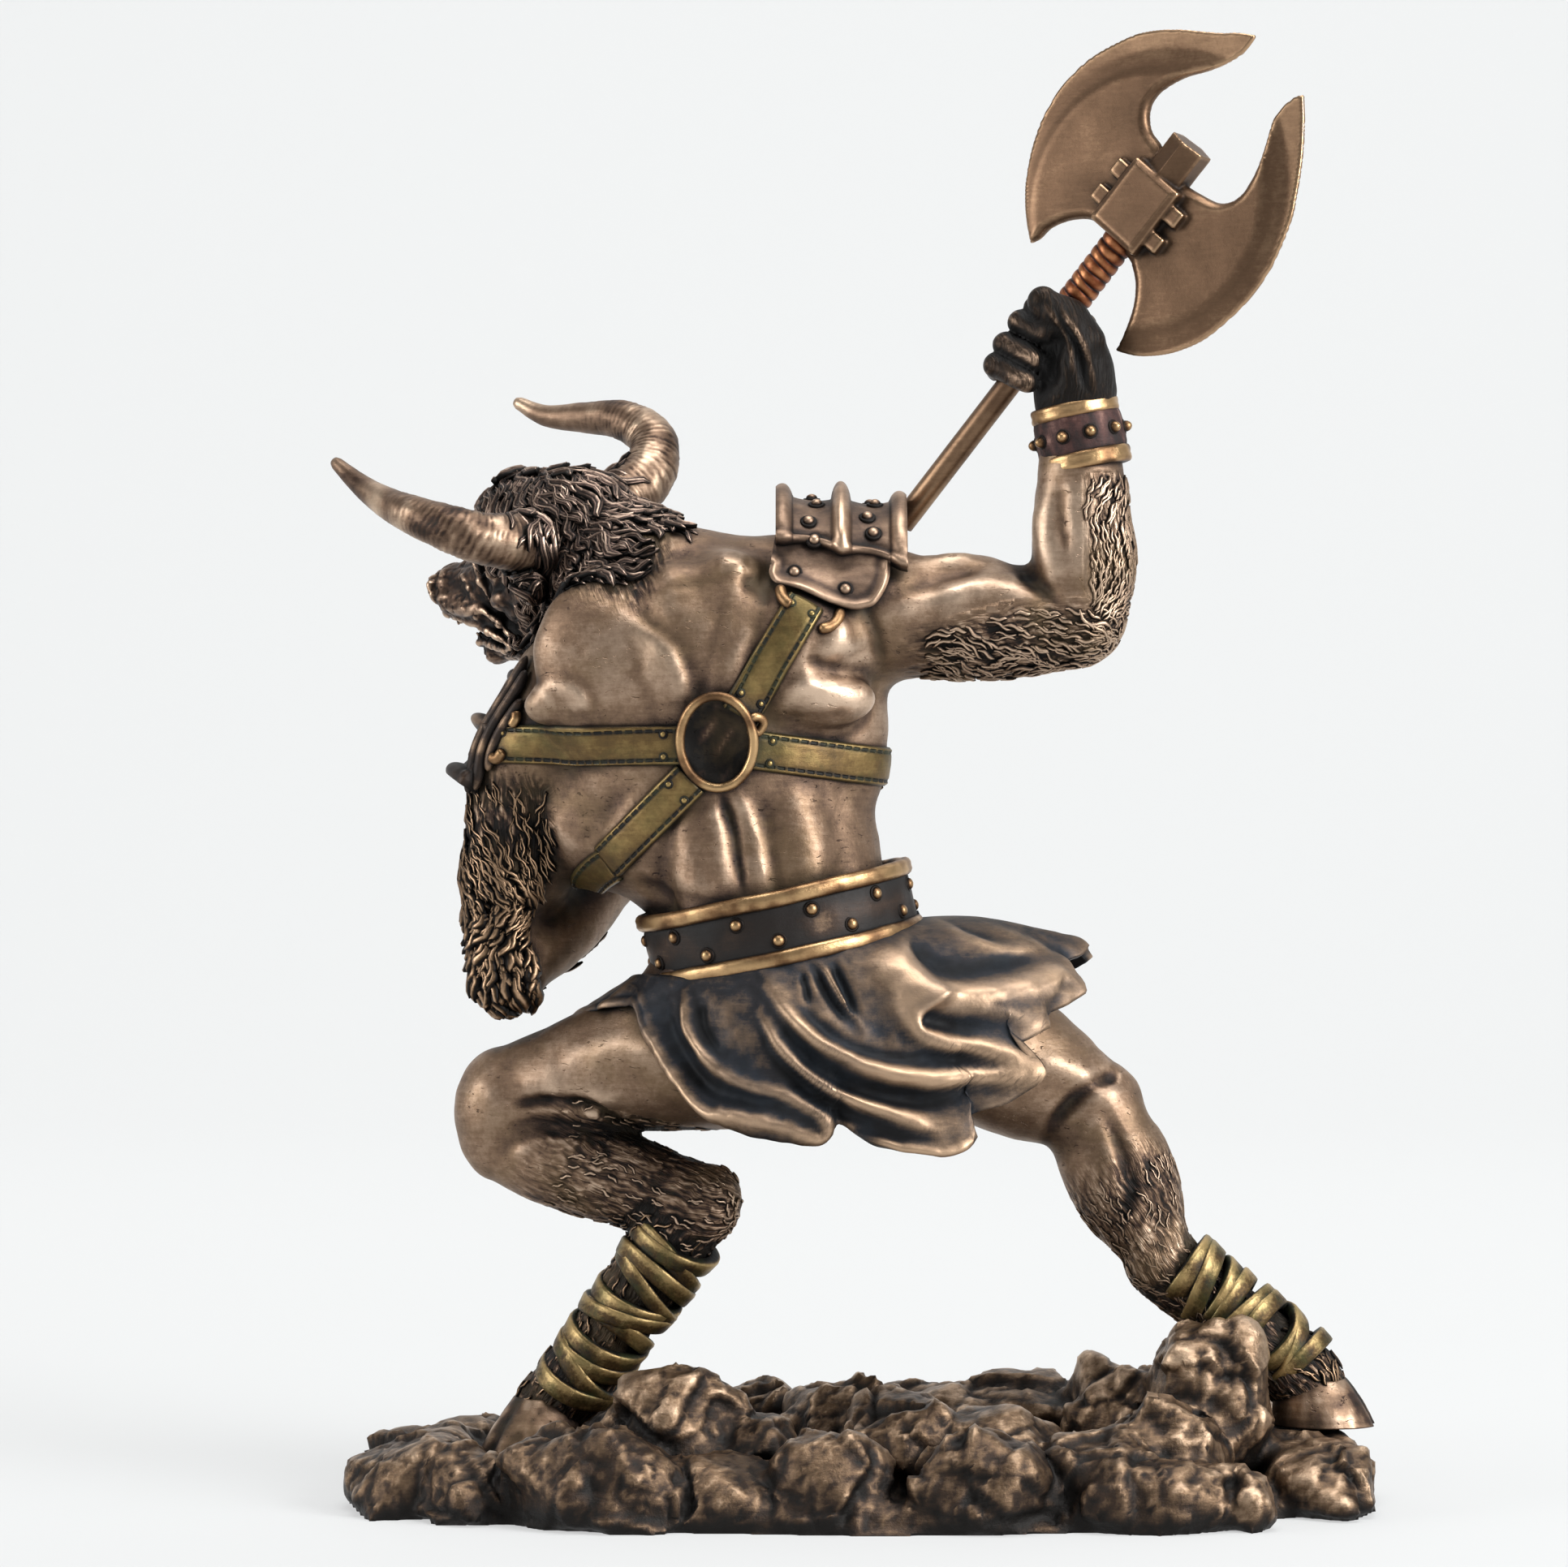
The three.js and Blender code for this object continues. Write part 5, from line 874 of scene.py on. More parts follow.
def coat(found, seed):
    """The locks of some fields as one list of parts."""
    roots, ways, lengths, widths, lifts = (np.concatenate([f[k] for f in found]) for k in range(5))
    return locks(roots, ways, lengths, widths, lifts, np.arange(len(roots)) + seed, along=7, across=5,
                 curl=0.45)


# Sinews, edges of muscles (+) and creases (-) seen from behind: rise, half width above and below, line (x, z)
SINEWS = [
    (1.3, 1.8, 4.2, [(-51.6, 183.1), (-45.6, 179.5), (-40.9, 175.7), (-38.2, 170.2), (-36.7, 163.7)]),
    (-1.3, 2.2, 1.4, [(-46.8, 182.9), (-41.8, 178.9), (-36.9, 173.5), (-34.7, 167.5), (-34.2, 162.2)]),
    (1.7, 1.1, 3.0, [(-68.6, 165.4), (-63.2, 168), (-58.4, 166.4), (-56.5, 162.1)]),
    (1.3, 1.6, 1.8, [(-22.1, 178.9), (-24.8, 174), (-26.5, 169.1)]),
    (-1.2, 1.5, 1.3, [(-20.2, 180.5), (-22.0, 175.7), (-24.1, 170.8)]),
    (0.9, 1.6, 1.6, [(-30.1, 193.2), (-24.4, 192.0)]),
    (-0.9, 1.4, 1.4, [(-25.5, 189.5), (-21.5, 187.2), (-19.5, 183.4)]),
    (2.3, 3.0, 3.2, [(-11, 182.2), (-6.3, 178.6), (-4.0, 173.6)]),
    (-1.5, 1.6, 1.6, [(-13.4, 175.4), (-9.4, 172.2), (-3.6, 170.4)]),
    (2.0, 1.6, 2.6, [(-19.7, 165.4), (-13.3, 167.9), (-8.4, 166.8), (-1.9, 167.9)]),
    (-1.1, 1.5, 1.8, [(-17.5, 161.6), (-9.9, 160.7), (-2.8, 161.6)]),
    (1.2, 2.2, 2.6, [(-15.5, 157.5), (-8.9, 156.7), (-1.8, 157.7)]),
    (-1.6, 1.2, 1.3, [(-0.6, 184.9), (2.1, 178.4), (3.3, 171.9)]),
    (1.2, 1.5, 1.5, [(-31.9, 145.5), (-30.3, 139), (-29.6, 133.5), (-28.4, 126)]),
    (1.3, 1.7, 1.5, [(-27, 147), (-23.7, 140.5), (-21.6, 133.5), (-20.4, 124.3)]),
    (-1.5, 0.9, 0.9, [(-29.3, 145.4), (-27, 138.5), (-26.1, 132.4), (-24.4, 124.8)]),
    (1.2, 1.6, 2.6, [(-68.2, 150.3), (-66.2, 142.1), (-62.2, 135.5), (-57.3, 130.7)]),
    (-1.2, 2.2, 2.0, [(-47.8, 147.6), (-53.3, 140), (-57.7, 133.4)]),
    (1.0, 1.8, 2.0, [(-39.7, 141.5), (-44.6, 136.7), (-49.5, 129.6)]),
    (-0.9, 1.1, 1.6, [(-46.8, 128.5), (-39.6, 125.4), (-31, 124.4)]),
    # Right arm: the long head over its fur, the hollow above, the fold inside the elbow, the forearm's belly
    (1.6, 2.2, 2.0, [(3.8, 181.8), (12.1, 184.2), (24.5, 187.9), (36.1, 184.6)]),
    (-1.3, 1.5, 1.4, [(7.1, 187.0), (15.4, 189.9), (24.1, 192.7)]),
    (1.2, 1.3, 1.3, [(9.6, 193.5), (16.4, 193.4), (23.5, 195)]),
    (-1.7, 1.2, 1.1, [(31.3, 191.2), (34.5, 188.2), (38.5, 185.2)]),
    (1.4, 2.0, 1.6, [(36.6, 207.1), (35.9, 199.8), (37, 192.6), (39.6, 186.9)]),
    (-0.9, 1.2, 1.2, [(39.6, 210.1), (39.3, 202), (40.6, 195)]),
    # Tendons on the back of the fist, and the hollow of the palm
    (0.9, 0.8, 0.8, [(39.6, 243.6), (44.1, 236.3), (46.4, 227.7)]),
    (0.8, 0.7, 0.7, [(36.5, 244.6), (41.1, 237.8), (41.9, 230.5)]),
    (-0.9, 0.7, 0.7, [(38.6, 242.6), (42.7, 236.0), (44.3, 228)]),
    (-2.2, 1.6, 2.0, [(38.4, 239.4), (37.4, 234.4), (37.2, 228.4)]),
    # Legs: the thigh's long edge, the fold over the calf, the hamstring and shin cords
    (1.3, 2.6, 3.0, [(-70.5, 84.5), (-58, 91.5), (-46, 93.5), (-37, 90.5)]),
    (-2.9, 1.0, 0.9, [(-71.5, 81.8), (-64.5, 82.4), (-57.6, 81.8), (-52.8, 79.3), (-48.8, 76.5),
                      (-41, 74.2)]),
    (1.6, 2.0, 2.2, [(-60, 78.6), (-54, 76.6), (-49, 74), (-43, 71.5)]),
    (1.0, 2.0, 2.2, [(-66.5, 84.6), (-57.6, 84.6), (-50, 81.8)]),
    (0.9, 1.3, 1.3, [(-72.5, 70.5), (-66.5, 74.2), (-58.5, 73.4)]),
    (1.4, 2.0, 2.0, [(34, 92), (42.5, 88.5), (49.5, 84.5)]),
    (-2.0, 1.2, 1.2, [(36.5, 75.5), (42.5, 83.3), (49.4, 87.4), (52, 87)]),
    (-2.2, 1.2, 1.3, [(49.2, 80.4), (54.3, 65.7), (51.7, 58.6)]),
    (1.4, 1.3, 1.4, [(57.8, 58.1), (55.2, 49.1)]),
    (1.4, 1.2, 1.3, [(64, 58.9), (63.1, 49.2)]),
]


# Painted highlights (+) and painted shade (-) in patches on the back, the right arm and the legs: x, z,
# radius, how much brighter (+) or darker (-)
PAINTED_LIGHT_PATCHES = [(-4.5, 166, 10, 0.6), (-52, 173, 12, 0.22), (44, 198, 11, 0.35), (20, 188, 9, 0.15),
          (-27, 146, 9, -0.1),
          (57, 66, 7, -0.25), (-40, 70, 9, -0.25)]


def body_relief(p):
    """The shallow forms a caster's sculptor adds to the muscles: sinews, skin folds and the marks of the
    tool."""
    high = 0.25 * noise(p, 11, 5) + 0.2 * noise(p, 5, 6) + 0.09 * noise(p, 2.4, 7)
    furrow = np.exp(-((p[:, 0] + 31.5 - 0.22 * (p[:, 2] - 175)) / 1.6) ** 2) * (p[:, 1] < 0)
    furrow = furrow * ramp(p[:, 2], 118, 130) * ramp(190 - p[:, 2], 0, 8)
    folds = strokes(p, SINEWS, 1.3) * ramp(8 - p[:, 1], 0, 10) * (0.68 + 0.35 * noise(p, 8, 12))
    return high - 0.35 * furrow, folds * ramp(strap_gap(p), 4.2, 8.5)


def strap_gap(p):
    """How far each point lies from the middle of the nearest strap across the back, seen from behind."""
    flat = np.array([1, 0, 1])
    gap = np.full(len(p), 99.0)
    for guides, _, side in STRAPS:
        if side is not None:
            for a, b in zip(guides, guides[1:]):
                gap = np.minimum(gap, to_bone(p * flat, a * flat, b * flat)[1])
    return gap


def rubbed(p):
    """Painted highlight (+) and painted shade (-) in fixed patches, seen from behind."""
    level = np.zeros(len(p))
    for x, z, wide, amount in PAINTED_LIGHT_PATCHES:
        level += amount * np.exp(-(np.hypot(p[:, 0] - x, p[:, 2] - z) / wide) ** 2)
    return level


def close_rims(points, quads):
    """Shuts each open rim with a fan to its middle point."""
    n = len(points)
    edges = np.concatenate([quads[:, [k, (k + 1) % 4]] for k in range(4)])
    ahead, back = edges[:, 0] * n + edges[:, 1], edges[:, 1] * n + edges[:, 0]
    rim = edges[~np.isin(ahead, back)]
    following = {}
    for a, b in rim:
        following.setdefault(int(a), []).append(int(b))
    tris, extra = [], []
    while following:
        start = next(iter(following))
        loop = [start]
        while loop[-1] in following:
            ways = following[loop[-1]]
            step = ways.pop()
            if not ways:
                del following[loop[-1]]
            if step == start:
                break
            loop.append(step)
        middle = n + len(extra)
        extra.append(points[loop].mean(0))
        for a, b in zip(loop, loop[1:] + loop[:1]):
            tris.append((b, a, middle))
    return (np.vstack([points, extra]) if extra else points), np.array(tris, int).reshape(-1, 3)


def hollow_of(points, normals):
    """Ridge (+) or hollow (-) at the size of a muscle: how far the body falls away or closes in 3.5 mm off
    the skin."""
    reach = 3.5
    outer = np.clip((FLESH.value(points + normals * reach) - reach) / reach, -1, 0.3)
    inner = np.clip((FLESH.value(points - normals * reach) + reach) / reach, -0.1, 1)
    return 1.5 * outer + 0.8 * inner


def carve_body():
    points, quads = carve(FLESH, (-122, -50, 8), (106, 68, 222), BODY_STEP,
                          lambda p: np.maximum(-head_room(p), p[:, 2] - CUFF_HEIGHT))
    normals = vertex_normals(points, quads)
    broad = hollow_of(points, normals)
    shift, folds = body_relief(points)
    outward = -normals[:, 1]
    folds = folds * ramp(outward, 0.0, 0.4)
    shift = shift + folds
    fields = fur_fields(points)
    grown = coats(points, normals, fields)
    points, lay, depth = fur(points, normals, fields)
    points = points + normals * (shift * (1 - 0.6 * lay[:, 2]))[:, None]
    normals = vertex_normals(points, quads)
    # rubbed() adds painted highlights and painted shade in fixed patches
    relief = 0.6 * relief_of(points, quads, normals) + broad + 0.22 * folds + depth + rubbed(points)
    # Painted shade: the fur of the left arm, which faces away from the key light, is made darker; so is the
    # fur of the shanks
    relief = relief - 0.5 * fields[0][0] - 0.5 * fields[1][0] - 0.6 * (fields[6][0] + fields[7][0])
    # The leather behind the ring stays dark
    inside = np.hypot((points[:, 0] - RING_SKIN[0]) / 6.6, (points[:, 2] - RING_SKIN[2]) / 8.6)
    crumple = 0.9 * np.sin(1.1 * points[:, 0] - 0.75 * points[:, 2] + 3 * noise(points, 6, 4)) - 1.3
    relief = np.clip(relief + crumple * ramp(1.08 - inside, 0, 0.16) * (points[:, 1] < 0), -1, 1)
    middle = points[quads].mean(1)
    gaps = np.stack([to_bone(middle, a, b)[1] - r for _, a, b, r in BONES])
    names = np.array([bone[0] for bone in BONES])[gaps.argmin(0)]
    below = middle[:, 2] < 118 + 0.22 * (middle[:, 0] + 17.5)
    names = np.where((names == "torso") & below, "hips", names)
    parts = {}
    for name in ("torso", "left_arm", "right_arm", "left_leg", "right_leg", "hips"):
        own = quads[names == name]
        if not len(own):
            continue
        used, faces = np.unique(own, return_inverse=True)
        faces = faces.reshape(-1, 4)
        p, caps = close_rims(points[used], faces)
        more = len(p) - len(used)
        parts[name] = Part(p, faces, caps, np.r_[relief[used], np.zeros(more)],
                           np.vstack([lay[used], np.zeros((more, 3))]),
                           np.vstack([normals[used], np.tile([0, 0, 1.0], (more, 1))]))
    return parts, grown


def carve_head():
    points, quads = carve(FLESH, (-122, -16, 166), (-30, 66, 224), HEAD_STEP, lambda p: head_room(p, 1.2))
    normals = vertex_normals(points, quads)
    broad = hollow_of(points, normals)
    local = (points - HEAD_CENTRE) @ HEAD_AXES.T
    hair = ramp(4 - local[:, 1], 0, 8)
    # Wrinkles run in a net of narrow grooves, closest behind the muzzle
    wrinkle = np.exp(-(noise(local * [1, 0.7, 1.3], 3.2, 9) / 0.12) ** 2) \
        + 0.7 * np.exp(-(noise(local, 1.9, 14) / 0.12) ** 2)
    skin_marks = 0.2 * noise(points, 3.2, 2) + 0.1 * noise(points, 1.5, 4) - 0.34 * wrinkle * (1 - hair)
    points = points + normals * (skin_marks
                                 - 0.6 * hair * np.abs(noise(points * [1, 1, 2.2], 1.8, 8)))[:, None]
    normals = vertex_normals(points, quads)
    relief = np.clip(0.9 * relief_of(points, quads, normals, 2, 4) + 0.8 * broad - 0.5 * hair - 0.12
                     - 0.2 * wrinkle, -1, 1)
    lay = np.stack([-local[:, 2] + local[:, 1] * 0.3, local[:, 0] + local[:, 1], 0.8 * hair], -1)
    return Part(points, quads, None, relief, lay, normals)


def carve_hand():
    points, quads = carve(FLESH, (18, -24, 214), (62, 22, 256), HAND_STEP,
                          lambda p: CUFF_HEIGHT - 1.5 - p[:, 2])
    normals = vertex_normals(points, quads)
    broad = hollow_of(points, normals)
    cords = strokes(points, SINEWS) * ramp(-normals[:, 1], -0.1, 0.4) * ramp(2 - points[:, 1], 0, 5)
    points = points + normals * (cords + 0.1 * noise(points, 2.5, 2))[:, None]
    # The grip: the fist stays clear of the shaft and its binding
    axis = unit(AXE_CENTRE - AXE_FOOT)
    d = points - AXE_CENTRE
    t = d @ axis
    off = d - t[:, None] * axis
    room = np.where(t > -25.4, BINDING_RADIUS, SHAFT_RADIUS) + 0.3
    near = np.linalg.norm(off, axis=1)
    points = np.where((near < room)[:, None], points + unit(off) * (room - near)[:, None], points)
    normals = vertex_normals(points, quads)
    relief = np.clip(0.8 * relief_of(points, quads, normals, 2, 4) + 0.9 * broad + 0.3 * cords - 0.25, -1, 1)
    lay = np.stack([-points[:, 2], points[:, 0] + 0.5 * points[:, 1], np.full(len(points), 0.45)], -1)
    return Part(points, quads, None, relief, lay, normals)


# Locks of hair
def locks(roots, ways, lengths, widths, lifts, seeds, along=9, across=7, curl=0.5):
    """Pointed locks that lie on the skin: each one's line creeps over the skin in its own way with a wave to
    the sides, then lifts towards the tip. Its section is a low arch with three grooves; its width swells and
    closes."""
    count = len(roots)
    near = FLESH.part(roots, 14)
    p = near.skin(roots, 4)
    way = unit(ways)
    line, outs, sides = [], [], []
    for k in range(along):
        n = near.slope(p)
        way = unit(way - n * (way * n).sum(1)[:, None])
        side = np.cross(n, way)
        line.append(p)
        outs.append(n)
        sides.append(side)
        swing = curl * np.cos(2 * np.pi * (k / along * 1.35 + hash01(seeds, 1)))[:, None]
        p = p + unit(way + side * swing) * (lengths / (along - 1))[:, None]
        p = p - near.value(p)[:, None] * n
    line, outs, sides = (np.stack(v, 1) for v in (line, outs, sides))
    t = np.arange(along) / (along - 1)
    wide = widths[:, None] * (0.55 + 0.9 * t - 0.1 * t ** 2) * np.sqrt(np.clip(1 - t ** 2.6, 0.0, 1)) + 0.08
    rise = lifts[:, None] * (0.25 + 0.95 * t ** 1.4)
    v = np.linspace(-1, 1, across)
    arch = (1 - v * v) * 0.85 + 0.3 * np.cos(3 * np.pi * v) * (1 - np.abs(v) ** 3)
    high = rise[:, :, None] + (0.75 * widths[:, None] * np.sqrt(np.clip(1 - t ** 2.2, 0, 1))
                               + 0.05)[:, :, None] * arch
    ring = line[:, :, None] + sides[:, :, None] * (wide[:, :, None] * v)[..., None] \
        + outs[:, :, None] * high[..., None]
    under = line + outs * (rise * 0.5 * t - 0.9 * (1 - t))[:, :, None]
    ring = np.concatenate([ring, under[:, :, None]], 2)
    relief = np.broadcast_to(np.r_[-0.95 + 2.15 * np.clip(arch, 0, 1) ** 1.6, -1.0], (along, across + 1))
    relief = relief * np.linspace(0.75, 1.1, along)[:, None]
    lay = np.zeros((along, across + 1, 3))
    return [swept(ring[i], False, np.clip(relief + 0.3 * (hash01(seeds[i], 8) - 0.5), -1, 1),
                  lay) for i in range(count)]


# Lower edge of the mane as seen from behind, (x, z)
MANE_EDGE = np.array([(-75, 178), (-70, 176.5), (-66.3, 180), (-62.8, 186.5), (-60, 187.3), (-56.5, 186),
                      (-51, 183.6),
                      (-46.5, 180.6), (-43, 183.5), (-41, 190)], float)


def mane():
    """Locks over the crown, the sides of the head and the nape, all swept back towards the neck: their roots
    are spread evenly over a ball by the golden angle, and one whose tip would pass the mane's edge is left
    out."""
    count = 800
    k = np.arange(count) + 0.5
    up = 1 - 2 * k / count
    turn = k * math.pi * (3 - math.sqrt(5))
    flat = np.sqrt(1 - up ** 2)
    ball = np.stack([flat * np.cos(turn), flat * np.sin(turn), up], -1)
    middle = head_at(-1, 2, 1)
    roots = FLESH.part(middle + ball * 26, 6).skin(middle + ball * [15, 15, 13], 5)
    # The nape is covered from a second ball, lower and nearer the shoulders
    nape = np.array([-54, 6, 189.0])
    lower = nape + ball[::2] * [12, 11, 10]
    roots = np.vstack([roots, FLESH.part(lower, 12).skin(lower, 4)])
    local = (roots - HEAD_CENTRE) @ HEAD_AXES.T
    x, z = roots[:, 0], roots[:, 2]
    behind = roots[:, 1] < 16
    back = ramp(x, -71, -60)
    h = hash01(np.arange(len(roots)), 5)
    ways = np.stack([mix(0.15, 0.85, back), np.full(len(roots), -0.35), mix(-1.0, -0.5, back)], -1)
    swirl = noise(roots, 10, 4)
    out = unit(roots - middle)
    ways = ways + (1.5 * swirl + 0.8 * (h - 0.5))[:, None] * unit(np.cross(out, ways))
    lengths = 7.5 + 6.5 * hash01(np.arange(len(roots)), 6)
    tips = roots + unit(ways - out * (ways * out).sum(1)[:, None]) * lengths[:, None] * 0.9
    edge = np.interp(tips[:, 0], MANE_EDGE[:, 0], MANE_EDGE[:, 1])
    face = local[:, 1] > np.interp(local[:, 2], [-12, -6, 2, 6, 11], [3, 2, 6, 13, 17])
    clear = np.minimum(np.linalg.norm(roots - NEAR_HORN[2], axis=1),
                       np.linalg.norm(roots - FAR_HORN[2], axis=1)) > 7.0
    kept = ~face & clear & (tips[:, 0] < -42.5) & ((tips[:, 2] > edge - 1.5) | ~behind) & (z > 176) \
        & ((x < -50) | (z > 184))
    roots, ways, lengths = roots[kept], ways[kept], lengths[kept]
    n = len(roots)
    widths = 0.7 + 0.85 * hash01(np.arange(n), 7) ** 1.5
    lifts = 0.2 + 2.1 * hash01(np.arange(n), 3) ** 2.2
    # Beard: shorter wavy locks down the cheeks and behind the jaw
    more, down, size = [], [], []
    for row in range(9):
        for i in range(14):
            side = -1 if i % 2 else 1
            u = -8.5 - 1.7 * row
            f = 3 + 1.9 * (i // 2) + 0.5 * row + 1.2 * hash01(i, row, 15)
            more.append(head_at(side * (10.5 - 0.25 * row), min(f, 7 + 1.6 * row), u))
            down.append(-HEAD_AXES[2] - (0.5 - 0.7 * hash01(i, row, 18)) * HEAD_AXES[1]
                        + side * 0.2 * HEAD_AXES[0])
            size.append((3.6 + 2.4 * hash01(i, row, 16), 0.5 + 0.3 * hash01(i, row, 17),
                         0.3 + 0.6 * hash01(i, row, 19)))
    size = np.array(size)
    roots, ways = np.vstack([roots, more]), np.vstack([ways, down])
    return locks(roots, ways, np.r_[lengths, size[:, 0]], np.r_[widths, size[:, 1]], np.r_[lifts, size[:, 2]],
                 np.arange(len(roots)), along=9, curl=0.7)


def horn(points):
    """A horn: a bar along a curve that tapers to its tip, raised in uneven rings that fade towards it."""
    path = smooth_path(points, 130)
    n = len(path)
    t = np.linspace(0, 1, n)
    length = length_along(path)
    ahead = np.minimum(length[-1] - length, HORN_RADII[-1])
    round_tip = np.sqrt(ahead * (2 * HORN_RADII[-1] - ahead) + 0.01)
    radius = np.where(ahead < HORN_RADII[-1], round_tip, np.interp(t, np.linspace(0, 1, 8), HORN_RADII))
    sides = 32
    a = around(sides)
    core = bar(path, radius[:, None] + np.zeros(sides), sides)
    phase = length[:, None] / 1.15 + 0.3 * np.sin(a + 1) + 0.8 * noise(core, 7, 3) \
        + 0.35 * noise(core, 2.2, 4)
    ring = 1 - (0.5 + 0.5 * np.sin(2 * np.pi * phase)) ** 4 * (0.45
                                                               + 0.55 * ramp(noise(core, 4, 6), -0.5, 0.3))
    fade = (1 - ramp(t, 0.4, 0.8))[:, None]
    rings = bar(path, radius[:, None] + fade * (0.22 * ring - 0.15 + 0.3 * noise(core, 4, 8)), sides)
    rough = noise(rings, 1.6, 9) * 0.12 * (0.4 + fade[..., None])[..., 0]
    out = unit(rings - path[:, None])
    rings = rings + out * rough[..., None]
    relief = np.clip(fade * (0.6 * ring - 0.5) + 0.6 * noise(core, 6, 12) + rough * 2.5 + 0.2 * (1 - fade)
                     + 0.25 * noise(core * [1, 1, 2], 5, 2), -1, 1)
    return swept(rings, False, relief)


# Harness
def taut(form, run, rounds=26, side=None):
    """Pulls a run of points tight as a strap bridges the hollows: each point moves towards the middle of its
    neighbours, and comes back to the skin where it would sink in. A side direction keeps the run in its
    plane."""
    start = run
    run = form.skin(run, 4)
    for _ in range(rounds):
        run[1:-1] = mix(run[1:-1], (run[:-2] + run[2:]) / 2, 0.7)
        deep = form.value(run)
        inside = deep < 0
        inside[[0, -1]] = False
        if inside.any():
            run[inside] -= deep[inside][:, None] * form.slope(run[inside])
        if side is not None:
            run -= ((run - start) @ side)[:, None] * side
    return run


def strap(guides, steps, side=None, lift=1.0):
    """A leather strap on the skin: taut lanes give its bed; its face has two raised hems with a sewn groove
    inside each. lay holds millimetres along and across, for the stitches."""
    form = FLESH.part(guides, 12)
    line = smooth_path(guides, steps)
    if side is not None:
        side = unit(side)
        line = line - ((line - line[0]) @ side)[:, None] * side
    middle = taut(form, line, 26, side)
    lanes = []
    for lane in (-0.5, 0, 0.5):
        across = side if side is not None else unit(np.cross(np.gradient(middle, axis=0), form.slope(middle)))
        lanes.append(taut(form, middle + across * lane * STRAP_WIDTH, 14, side))
    left, centre, right = lanes
    v = np.linspace(-1, 1, 15)
    a, b, c = (left + right) / 2 - centre, (right - left) / 2, centre
    bed = a[:, None] * (v ** 2)[None, :, None] + b[:, None] * v[None, :, None] + c[:, None]
    out = form.slope(centre)
    for _ in range(3):
        out[1:-1] = unit(out[:-2] + out[1:-1] + out[2:])
    edge = np.abs(v)
    face = lift - 0.45 * ramp(edge, 0.93, 1.0) + 0.2 * np.exp(-((edge - 0.91) / 0.06) ** 2) \
        - 0.2 * np.exp(-((edge - 0.74) / 0.06) ** 2)
    grain = 0.1 * noise(bed, 4, 3) + 0.06 * noise(bed, 1.6, 4)
    outer = bed + out[:, None] * (face[None, :] + grain)[..., None]
    inner = bed - out[:, None] * 1.6
    length = length_along(middle)
    lay = np.stack(np.broadcast_arrays(length[:, None], v * STRAP_WIDTH / 2, 1.0), -1)
    relief = np.interp(edge, [0, 0.62, 0.72, 0.78, 0.86, 0.93, 1], [0.15, 0.05, -0.6, -0.5, 0.45, 0.8, -0.2])
    return sheet(outer, inner, False, np.broadcast_to(relief, bed.shape[:2]) + 1.6 * grain, lay), outer, out


# Straps: guide points, steps, and the direction across those that run straight
STRAPS = [
    ([(-25.7, -20, 162), (-19, -20, 172.8), (-12.2, -17, 183.8)], 40, (0.86, 0, -0.51)),
    ([(-37.2, -20, 155.6), (-58, -14, 155.6), (-79, -1, 155.8)], 60, (0, 0, 1)),
    ([(-36, -20, 148.6), (-46, -17, 138.5), (-56, -10, 128)], 44, (0.71, 0, -0.7)),
    ([(-23.4, -20, 154.8), (-8, -18, 152.6), (3, -6, 151), (3, 8, 150.6)], 60, (0.14, 0, 1)),
    ([(3, 8, 150), (-8, 26, 150), (-32, 34, 151), (-58, 30, 150)], 60, None),
    ([(-6, 22, 190), (-20, 32, 174), (-40, 34, 155), (-56, 22, 132), (-57, 2, 127), (-56, -10, 128)], 90,
     None),
]
# Bits of round wire that lie on the skin: the upper strap's buckle ends, the side strap's two hooks, the link
WIRES = [
    (1.2, 0.7, [(-17.6, -19, 190), (-17.3, -19, 186.6), (-16.2, -19, 184.4), (-15.2, -19, 183.6)]),
    (1.2, 0.7, [(-10.2, -19, 178.9), (-7.6, -19, 179.6), (-5.4, -19, 181.2), (-4.4, -18, 184)]),
    (1.1, 1.0, [(-77.6, -4, 163.6), (-76.4, -4, 161.6), (-76.8, -4, 159.6)]),
    (1.2, 1.0, [(-77.0, -4, 154.0), (-79, -4, 152.4), (-81.4, -3, 153)]),
    (1.0, 2.2, [(-23.6, -21, 158.6), (-21.6, -21, 158.2), (-20.6, -21, 159.8), (-22, -21, 161.4),
                (-24, -21, 161.2)]),
]


# Dark tongues of hide that hang from the left guard, seen edge on
TONGUES = [
    (1.3, 0.9, [(-68.4, 2, 173.2), (-75, 1, 170), (-79.2, 1, 166), (-82, 2, 161.9), (-83.6, 3, 155.5),
                (-84.6, 4, 149.8),
                (-84.9, 5, 145.7)]),
    (1.2, 1.0, [(-69.5, 0, 170.8), (-74.2, -1, 168), (-77.6, -1, 164.6), (-80.2, 0, 160.5), (-81.6, 1, 155),
                (-82.2, 2, 149.5), (-82.3, 3, 146.2)]),
    (1.1, 0.9, [(-73.6, -2.5, 165.8), (-76.2, -2.5, 162.8), (-78.4, -2, 158.8), (-79.6, -1, 154),
                (-80, 0, 150)]),
]


def wire(radius, lift, points):
    """A length of round wire with closed tips, laid on the skin."""
    path = smooth_path(points, 10 * (len(points) - 1))
    near = FLESH.part(path, 12)
    path = near.skin(path, 4)
    path = path + near.slope(path) * radius * lift
    for _ in range(3):
        path[1:-1] = (path[:-2] + 2 * path[1:-1] + path[2:]) / 4
    taper = radius * np.sqrt(np.clip(1 - np.linspace(-1, 1, len(path)) ** 8, 0.03, 1))
    rings = bar(path, taper, 14, (0, -1, 0))
    return swept(rings, False, np.clip(0.4 + 0.5 * noise(rings, 2.5, 3), -1, 1))


# The harness ring: its radius to the middle of the wire, the wire's own radius, and its squash across
RING_RADIUS, RING_WIRE, RING_SQUASH = 9.5, 0.98, 0.79


